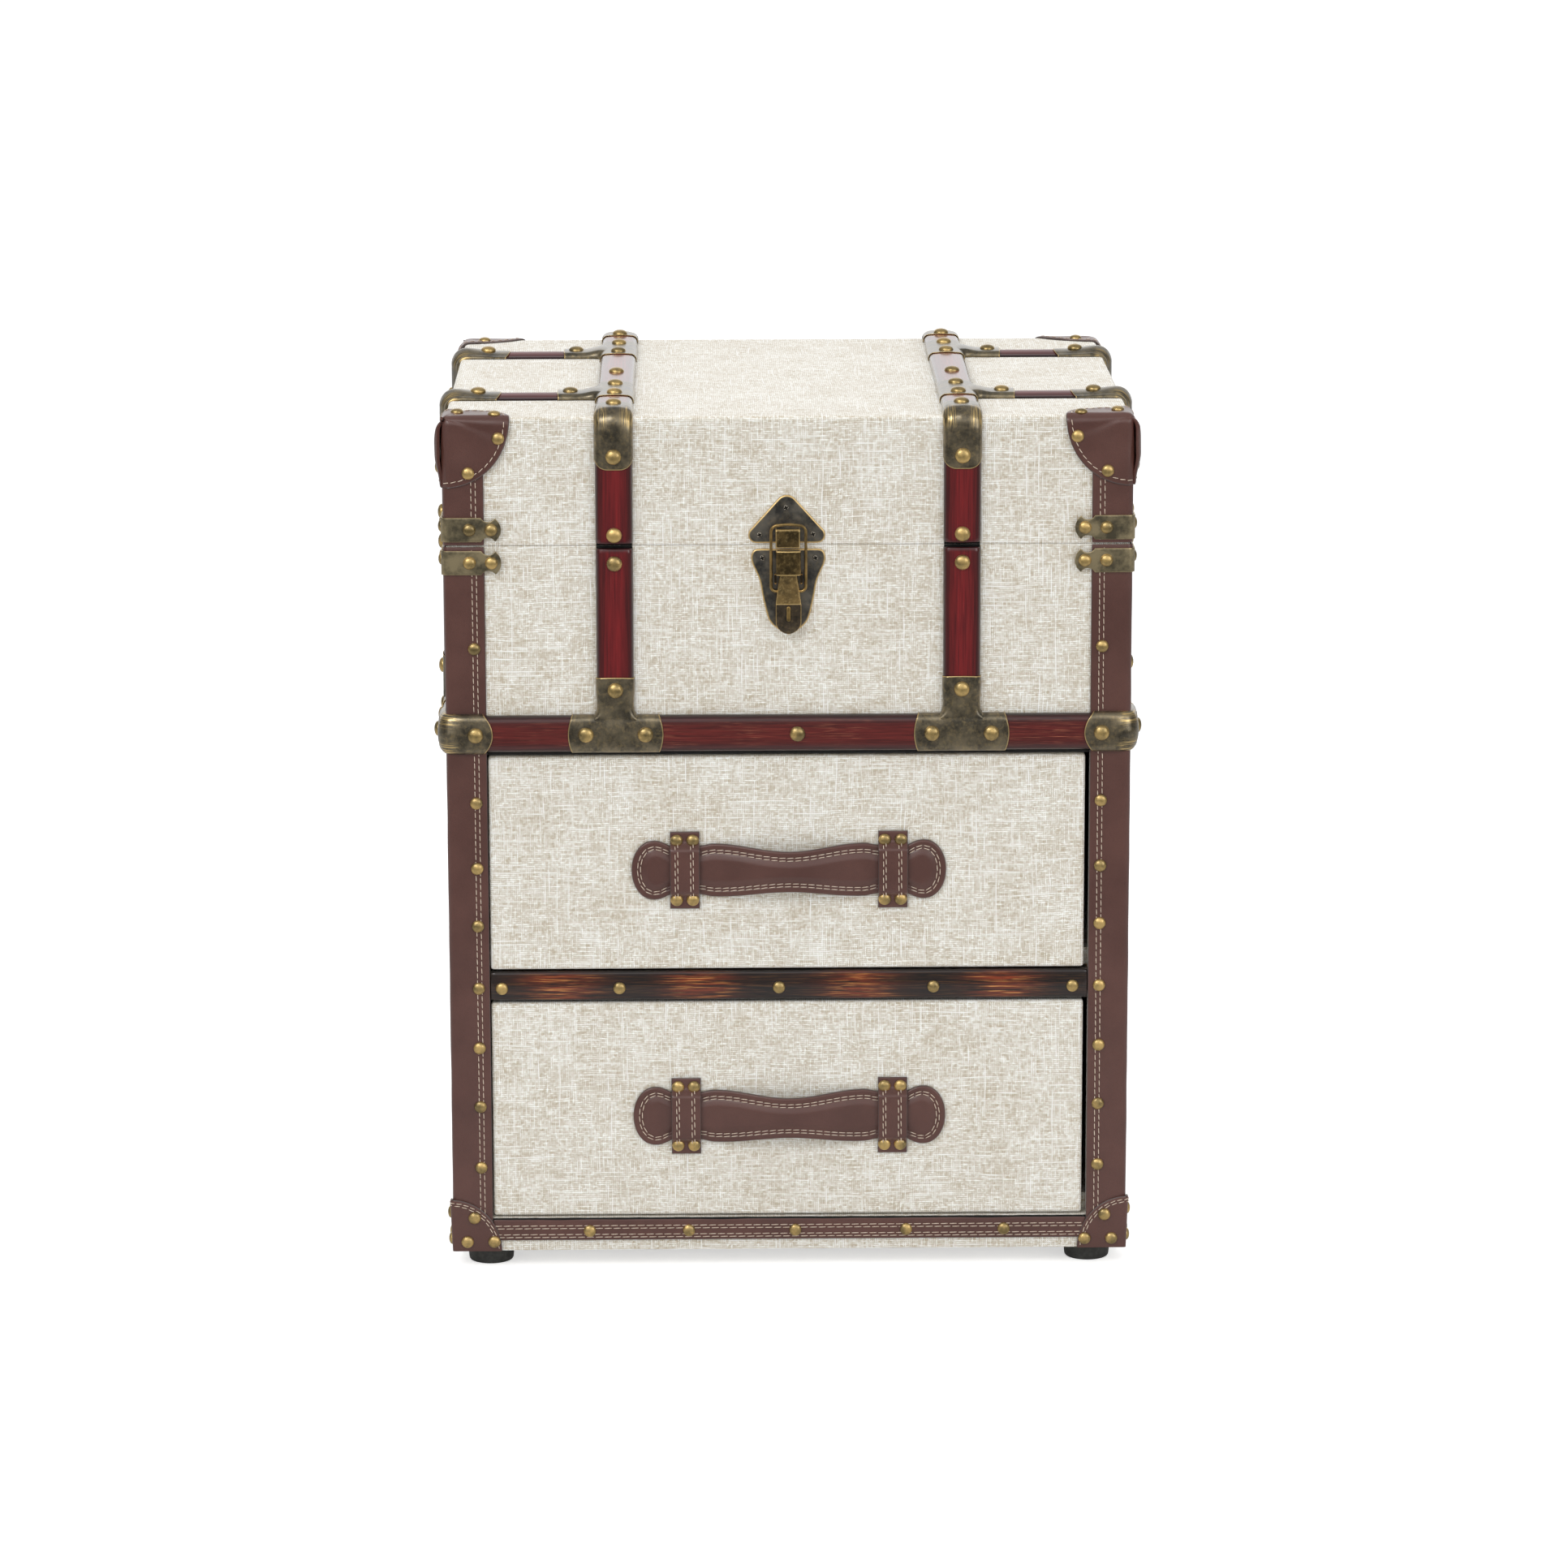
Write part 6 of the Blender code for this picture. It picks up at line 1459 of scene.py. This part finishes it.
def rounded_plate(name, outline, facing_y, thick, finish, body, stands_for=None, edge=0.0010):
    """A flat plate from an outline of x and z, its outer edge rolled over."""
    points = np.asarray(outline)
    middle = (points.max(axis=0) + points.min(axis=0)) / 2
    ahead = np.roll(points, -1, axis=0) - np.roll(points, 1, axis=0)
    inward = unit(np.stack([-ahead[:, 1], ahead[:, 0]], -1))
    if np.sum(inward * (middle - points)) < 0:
        inward = -inward
    turn = np.linspace(0.0, math.pi / 2, 5)
    profile = [(0.0, 0.0)] + [(edge * (1 - math.cos(a)), thick - edge + edge * math.sin(a)) for a in turn]
    profile += [(edge * 1.6, thick), (edge * 2.4, thick)]
    rings = [(middle + 0 * points, thick, 1.0)]
    rings += [(points + inward * inset, thick - out, inset) for inset, out in profile]
    rings += [((points + inward * edge * 2.4) * (1 - part) + middle * part, 0.0, 1.0)
              for part in (0.35, 0.7, 1.0)]
    grid = np.array([xyz(ring[:, 0], facing_y + depth, ring[:, 1]) for ring, depth, _ in rings])
    rim = np.array([[rim] for _, _, rim in rings])
    piece(name, grid, finish, body, stands_for, close=(False, True), marks={"rim": rim})


def smooth_outline(corners, steps=9):
    """A closed outline with each corner (x, z, radius) rounded by an arc."""
    spots = np.array([corner[:2] for corner in corners], dtype=float)
    outline = []
    for i, (_, _, radius) in enumerate(corners):
        before = unit(spots[i - 1] - spots[i])
        after = unit(spots[(i + 1) % len(spots)] - spots[i])
        half = math.acos(float(np.clip(before @ after, -1, 1))) / 2
        centre = spots[i] + unit(before + after) * radius / math.sin(half)
        first = math.atan2(*(spots[i] + before * radius / math.tan(half) - centre)[::-1])
        last = math.atan2(*(spots[i] + after * radius / math.tan(half) - centre)[::-1])
        sweep = (last - first + math.pi) % math.tau - math.pi
        turn = first + sweep * np.linspace(0, 1, steps)
        outline.append(centre + radius * np.stack([np.cos(turn), np.sin(turn)], -1))
    return np.concatenate(outline)


def flowing_outline(points, steps=6):
    """A closed smooth curve through points: each span a cubic set by its four neighbours."""
    spots = np.asarray(points, dtype=float)
    part = np.linspace(0.0, 1.0, steps, endpoint=False)[None, :, None]
    before, start = np.roll(spots, 1, axis=0)[:, None], spots[:, None]
    stop, after = np.roll(spots, -1, axis=0)[:, None], np.roll(spots, -2, axis=0)[:, None]
    bend = 2 * before - 5 * start + 4 * stop - after
    twist = 3 * start - before - 3 * stop + after
    curve = 0.5 * (2 * start + (stop - before) * part + bend * part ** 2 + twist * part ** 3)
    return curve.reshape(-1, 2)


def screws(name, places, body, facing=-Y_AXIS):
    """Small flat screw heads with a cross pressed into them, and shade painted in the cross and round the
    edge.
    """
    ring = np.linspace(0.0, 1.0, 18)[:, None]
    around = np.linspace(0.0, math.tau, 48, endpoint=False)[None]
    radius = 0.0021
    x, y = ring * radius * np.cos(around), ring * radius * np.sin(around)
    arm = np.minimum(np.abs(x), np.abs(y))
    cross = ease((0.00052 - arm) / 0.00018) * ease((0.00165 - ring * radius) / 0.0003)
    # Painted shade: the rim mark falls to 0 in the cross and at the head's edge, so the screw finish's
    # near-black second colour paints shade there.
    outside_groove_shade = np.concatenate([1.0 - np.maximum(cross, ease((ring - 0.90) / 0.1)), np.zeros((2, 48))])
    top = 0.0009 * (1 - ring ** 4) - 0.0007 * cross
    rings = ((x, y, top), (x[-1:], y[-1:], -0.0004), (0 * x[-1:], 0 * y[-1:], -0.0004))
    template = np.concatenate([xyz(*ring) for ring in rings])
    copies(name, template, places, X_AXIS + 0.45 * Z_AXIS, facing, "screw", body, rim=0.001 * outside_groove_shade)


def tube(name, points, radius, finish, body, stands_for=None):
    """A round wire along a closed loop of points."""
    run = unit(np.roll(points, -1, axis=0) - np.roll(points, 1, axis=0))
    first = unit(np.cross(run, -Y_AXIS))
    second = np.cross(run, first)
    around = np.linspace(0.0, math.tau, 14, endpoint=False)[None, :, None]
    grid = points[:, None] + radius * (first[:, None] * np.cos(around) + second[:, None] * np.sin(around))
    piece(name, grid, finish, body, stands_for, close=(True, True))


# The clasp: half width of its lower plate, its screws as x and z, and its lever
CLASP_HALF = 0.0252
UPPER_SCREWS = ((-0.0015, 0.5357), (-0.0195, 0.5172), (0.0168, 0.5175))
LOWER_SCREWS = ((-0.0176, 0.5012), (0.0184, 0.5012))
HEAD_LONG = 0.0166
RAMP_LONG = 0.0200
RAMP_SIDE = 0.0035
RAMP_GRID = (30, 43)


def clasp_plates(face, thick):
    """The lower plate with its flowing outline, the three-cornered upper plate, and screws."""
    low, high = (corner[2] for corner in box_of("clasp_plate"))
    right = [(0.325, 0.071), (0.476, 0.133), (0.567, 0.213), (0.683, 0.417), (0.770, 0.619), (0.881, 0.741),
             (0.960, 0.815), (1.0, 0.885), (0.985, 0.942), (0.925, 0.982), (0.82, 0.998), (0.60, 1.0),
             (0.25, 1.0)]
    left = [(-across, up) for across, up in reversed(right)]
    shares = np.array([(0.0, 0.0)] + right + left)
    outline = flowing_outline(shares * [CLASP_HALF, high - low] + [0.0, low])
    rounded_plate("clasp_lower_plate", outline, face, thick, "clasp", "case", "clasp_plate")
    bottom = box_of("clasp_hook_plate")[0][2] + 0.0019
    corners = [(-0.0010, bottom + 0.0366, 0.0075), (-0.0340, bottom, 0.0055), (0.0320, bottom, 0.0055)]
    outline = smooth_outline(corners)
    rounded_plate("clasp_upper_plate", outline, face, thick, "clasp", "lid", "clasp_hook_plate")
    for half, body, spots in (("upper", "lid", UPPER_SCREWS), ("lower", "case", LOWER_SCREWS)):
        screws(f"clasp_{half}_screws", [(x, face, z) for x, z in spots], body)


def clasp_lever(face):
    """The lever: a square head, a ramp that widens downwards, and a pointed tab."""
    low, high = box_of("latch_lever")
    out_y, top = low[1], high[2]
    back_y = face - 0.003
    head = polyline([(0.0, back_y, top), (0.0, back_y, top - HEAD_LONG)], -Y_AXIS)
    sleeve("latch_head", head, X_AXIS, 0.0084, "lever", "lever", (flat_end(0.0), flat_end(HEAD_LONG)),
           "latch_lever", rise=back_y - out_y, edge=0.0012, rows=24, sheet=0.0010)
    knee = top - HEAD_LONG - RAMP_LONG
    part = np.linspace(0.0, 1.0, RAMP_GRID[0])[:, None]
    wide = 0.0060 + 0.0026 * part
    sideways, out = section(np.broadcast_to(wide, RAMP_GRID), 1.0, 0.0012, 0.0, 9, 23)
    out = np.clip((out - 1.0) / RAMP_SIDE + 1.0, 0.0, 1.0)
    ramp_y = out_y + 0.0029 - 0.0026 * part + RAMP_SIDE * (1 - out)
    ramp_top = top - HEAD_LONG - 0.0002
    border = np.minimum(part, 1 - part) * RAMP_LONG
    rim = np.minimum(border, np.maximum(wide - np.abs(sideways), 0.0) + 0.0002)
    piece("latch_ramp", xyz(sideways, ramp_y, ramp_top + (knee - ramp_top) * part), "lever", "lever",
          sheet=0.0010, marks={"rim": rim})
    part = np.linspace(0.0, 1.0, 40)[:, None]
    share = np.sin(np.linspace(-math.pi / 2, math.pi / 2, 41))[None]
    wide = 0.0086 * np.clip(1 - np.clip((part - 0.58) / 0.42, 0, 1) ** 2.2, 0.02, 1) ** 0.62
    drop = low[2] - 0.0006
    curl = out_y + 0.0003 + 0.0030 * part ** 1.5 + 0.0006 * np.abs(share) ** 6
    rim = 1.6 * np.minimum(wide * (1 - np.abs(share)), (1 - part) * 0.02)
    # The darker tab finish paints the shade of the tab that curls back
    piece("latch_tab", xyz(wide * share, curl, knee + (drop - knee) * part), "tab", "lever",
          sheet=0.0011, bevel=SOFT_EDGE, marks={"rim": rim})
    slot = smooth_outline([(x, z, 0.0018) for x, z in ((-0.0019, -0.0055), (0.0019, -0.0055),
                                                       (0.0019, 0.0055), (-0.0019, 0.0055))], 6)
    slot_place = [0.0, drop + 0.0146]
    slot_y = out_y + 0.0005
    # A black plate paints the shade inside the slot round the staple
    rounded_plate("latch_slot_shadow", slot + slot_place, slot_y, 0.0012, "shadow_black", "lever", edge=0.0003)
    rounded_plate("latch_staple", slot * [0.72, 0.94] + slot_place, slot_y - 0.0012, 0.0090, "wire", "case",
                  edge=0.0004)
    ear_top = knee + RAMP_LONG + 0.0006
    for side_name, side in SIDES:
        x, ear_half = side * 0.0088, 0.0008
        line = polyline([(x, back_y, ear_top), (x, back_y, ear_top - 0.0068)], -Y_AXIS)
        ends = (rounded_end(0.0, 0.0007, ear_half), rounded_end(line[0][-1], -0.0007, ear_half))
        sleeve(f"latch_ear_{side_name}", line, X_AXIS, ear_half, "tab", "case", ends, rise=0.0034,
               edge=0.0006, rows=12, sheet=0.0005)


def clasp():
    """The whole latch: plates and screws, lever, wire bail, and the hook bent out of the lid's plate."""
    thick = 0.0012
    face = FRONT - GAP - thick
    clasp_plates(face, thick)
    clasp_lever(face)
    low, high = box_of("latch_bail")
    half, wire = 0.0118, 0.0010
    height = high[2] - low[2] - 2 * wire
    loop = smooth_outline([(-half, 0.0, 0.0034), (half, 0.0, 0.0034), (half, height - 0.0014, 0.0046),
                           (0.0, height, 0.04), (-half, height - 0.0014, 0.0046)], 8)
    lean = np.interp(loop[:, 1], [0.0, height], [high[1] - wire, low[1] + wire])
    points = xyz(loop[:, 0], lean, low[2] + wire + loop[:, 1])
    tube("latch_bail_wire", points, wire, "wire", "bail", "latch_bail")
    out_y, bar_z = face - 0.0072, 0.5220
    hook = folded([(0.0, face + 0.0002, bar_z), (0.0, out_y, bar_z), (0.0, out_y, 0.5092)],
                  [Z_AXIS, -Y_AXIS], 0.0014)
    at, across = np.broadcast_arrays(np.linspace(0.0, hook[0][-1], 40)[:, None],
                                     np.linspace(-0.0086, 0.0078, 25)[None])
    rim = np.minimum(0.0082 - np.abs(across + 0.0004), hook[0][-1] - at)
    bend_rim = np.abs(at - 0.0070) * 0.6 + 0.0003
    piece("clasp_hook", along(hook, at)[0] + X_AXIS * across[..., None], "lever", "lid", sheet=0.0011,
          bevel=SOFT_EDGE, marks={"rim": np.minimum(rim, bend_rim)})


def feet():
    """Turned feet: a flat sole, an eased edge and a slight taper."""
    profile = [(0.0, 0.0), (0.86, 0.0), (0.93, 0.02), (0.965, 0.09), (0.985, 0.30), (1.0, 0.80), (1.0, 0.97),
               (0.97, 1.0), (0.0, 1.0)]
    share, part = np.array(profile).T[..., None]
    around = np.linspace(0.0, math.tau, 64, endpoint=False)
    for name, _, _ in quarters():
        low, high = box_of(f"foot_{name}")
        middle, radius = (low + high) / 2, (high[0] - low[0]) / 2
        grid = xyz(middle[0] + radius * share * np.cos(around), middle[1] + radius * share * np.sin(around),
                   low[2] + (high[2] - low[2]) * part)
        piece(f"turned_foot_{name}", grid, "foot", "case", f"foot_{name}", close=(False, True))


def rail_glow(x):
    """Worn warm patches midway between the rail's nails, as a mark from 0 to 1."""
    nails_x = np.array(RAIL_NAILS_X)
    middles = (nails_x[1:] + nails_x[:-1]) / 2
    return np.exp(-((x[..., None] - middles) / 0.021) ** 2).sum(axis=-1)


def divider():
    """The worn rail between the drawers and its nails."""
    centre_z, half = (rail_low[2] + rail_high[2]) / 2, (rail_high[2] - rail_low[2]) / 2
    path = polyline([(rail_low[0], rail_high[1], centre_z), (rail_high[0], rail_high[1], centre_z)], -Y_AXIS)
    slat("divider_rail", path, Z_AXIS, half, "rail", "case", "divider_slat",
         height=rail_high[1] - rail_low[1], edge=0.0022, glow=rail_glow)
    nails("divider_nails", xyz(np.array(RAIL_NAILS_X), rail_low[1], centre_z - 0.0015), -Y_AXIS, "case")


def dress_solids():
    """Finishes of the CAD solids that stay, and the screws of the hinges."""
    linen_nodes = ("side_panel_left", "side_panel_right", "back_panel", "chest_front_panel", "base_board")
    board_nodes = ("chest_floor", "drawer_shelf", "drawer_box_upper", "drawer_box_lower")
    hinge_nodes = ("hinge_lower_left", "hinge_lower_right", "hinge_upper_left", "hinge_upper_right")
    for nodes, finish in ((linen_nodes, "linen"), (board_nodes, "board"), (hinge_nodes, "hinge")):
        for node in nodes:
            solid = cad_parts[node]
            solid.data.materials.clear()
            solid.data.materials.append(FINISHES[finish][1])
    for level, sign, body in (("lower", -1, "case"), ("upper", 1, "lid")):
        for side_name, _ in SIDES:
            low, high = box_of(f"hinge_{level}_{side_name}")
            places = xyz((low[0] + high[0]) / 2 + np.array(HINGE_SCREWS_X), BACK + GAP + HINGE_SHEET,
                         SEAM + HINGE_SCREW_RISE * sign)
            screws(f"hinge_screws_{level}_{side_name}", places, body, Y_AXIS)


# The camera, fitted to the photograph's outline and nails
CAMERA_PLACE = (-0.0579, -4.0400 + MID_Y, 1.1907)
CAMERA_PITCH = 0.21637
CAMERA_YAW = -0.014196
CAMERA_ROLL = -0.0022
CAMERA_LENS = 132.3


def camera():
    """The camera of the photograph, looking level and then turned by its three angles."""
    lens = bpy.data.cameras.new("photo_camera")
    lens.sensor_width = 36.0
    lens.lens = CAMERA_LENS
    lens.clip_end = 50.0
    eye = bpy.data.objects.new("photo_camera", lens)
    turn = (Matrix.Rotation(CAMERA_YAW, 4, "Z") @ Matrix.Rotation(math.pi / 2 - CAMERA_PITCH, 4, "X")
            @ Matrix.Rotation(CAMERA_ROLL, 4, "Z"))
    eye.matrix_world = Matrix.Translation(CAMERA_PLACE) @ turn
    bpy.context.scene.collection.objects.link(eye)
    bpy.context.scene.camera = eye


def lamp(name, place, target, size, power, mirrored=True):
    """A soft rectangular lamp that looks at a target; mirrored says if shiny things show it."""
    light = bpy.data.lights.new(name, "AREA")
    light.shape = "RECTANGLE"
    light.size, light.size_y = size
    light.energy = power
    thing = bpy.data.objects.new(name, light)
    thing.visible_glossy = mirrored
    away = Vector(place) - Vector(target)
    thing.matrix_world = Matrix.Translation(place) @ away.to_track_quat("Z", "Y").to_matrix().to_4x4()
    bpy.context.scene.collection.objects.link(thing)


def straight_view(tree):
    """Two values: 1 for what the camera sees straight, and 1 for what is seen mirrored."""
    path = add(tree, "ShaderNodeLightPath").outputs
    return calc(tree, "MAXIMUM", path["Is Camera Ray"], path["Is Transmission Ray"]), path["Is Glossy Ray"]


# Brightness of the surroundings: for soft light, and for what mirrored rays meet in front
SOFT_LIGHT = 0.62
DIM_ROOM = 0.20
OVERHEAD = 0.45


def studio_world():
    """White all round for the camera; for mirrored rays a dim room with a bright patch ahead.

    The room is white behind the trunk, so flat angles mirror it.
    """
    world = bpy.data.worlds.new("studio")
    bpy.context.scene.world = world
    world.use_nodes = True
    tree = world.node_tree
    tree.nodes.clear()
    way = split(tree, add(tree, "ShaderNodeTexCoord").outputs["Generated"])
    overhead = band(tree, way[2], 0.30, 0.80, DIM_ROOM, OVERHEAD)
    ahead = calc(tree, "MULTIPLY", band(tree, way[1], -0.75, -0.50, 1.0, 0.0),
                 band(tree, way[2], -0.05, 0.20))
    mirrored = calc(tree, "MAXIMUM", band(tree, way[1], 0.62, 0.86), calc(tree, "MAXIMUM", overhead, ahead))
    straight, glossy = straight_view(tree)
    strength = blend(tree, straight, blend(tree, glossy, SOFT_LIGHT, mirrored), 1.0)
    light = add(tree, "ShaderNodeBackground", None, {"Color": WHITE, "Strength": strength})
    add(tree, "ShaderNodeOutputWorld", None, {0: light.outputs[0]})


def studio_floor():
    """A sheet of white paper that ends a little in front of the trunk."""
    material, tree, shader = new_material("pale_floor")
    straight, glossy = straight_view(tree)
    paper = between(tree, glossy, (0.9, 0.9, 0.9, 1.0), (0.35, 0.35, 0.35, 1.0))
    glow = weighted(tree, (straight, 0.55), (glossy, 0.20))
    feed(tree, shader.inputs, {"Base Color": paper, "Roughness": 0.9, "Specular IOR Level": 0.0,
                               "Emission Color": WHITE, "Emission Strength": glow})
    mesh = bpy.data.meshes.new("floor")
    reach, front = 14.0, -1.0
    corners = [(-reach, front, 0), (reach, front, 0), (reach, reach, 0), (-reach, reach, 0)]
    mesh.from_pydata(corners, [], [(0, 1, 2, 3)])
    mesh.materials.append(material)
    floor = bpy.data.objects.new("floor", mesh)
    bpy.context.scene.collection.objects.link(floor)


def studio():
    """Surroundings, floor and three soft lamps, with plain screen colours."""
    studio_world()
    studio_floor()
    lamp("key", (-1.6, -2.6, 2.6), (0.0, 0.0, 0.3), (1.8, 1.4), 34.0)
    lamp("fill", (2.2, -2.4, 1.4), (0.0, 0.0, 0.3), (1.6, 1.6), 14.0)
    lamp("overhead", (0.0, 0.2, 2.6), (0.0, 0.0, 0.5), (2.0, 2.0), 23.0, mirrored=False)
    bpy.context.scene.view_settings.view_transform = "Standard"


def main():
    """Build everything: finishes of the solids, the pieces, then camera and studio."""
    dress_solids()
    lid_linen()
    drawer_fronts()
    edge_leathers()
    base_corners()
    base_strip()
    shadow_strips()
    belts()
    belt_corner_caps()
    t_caps()
    lid_slats()
    brass_straps()
    lid_corners()
    divider()
    handles()
    clasp()
    feet()
    camera()
    studio()


main()
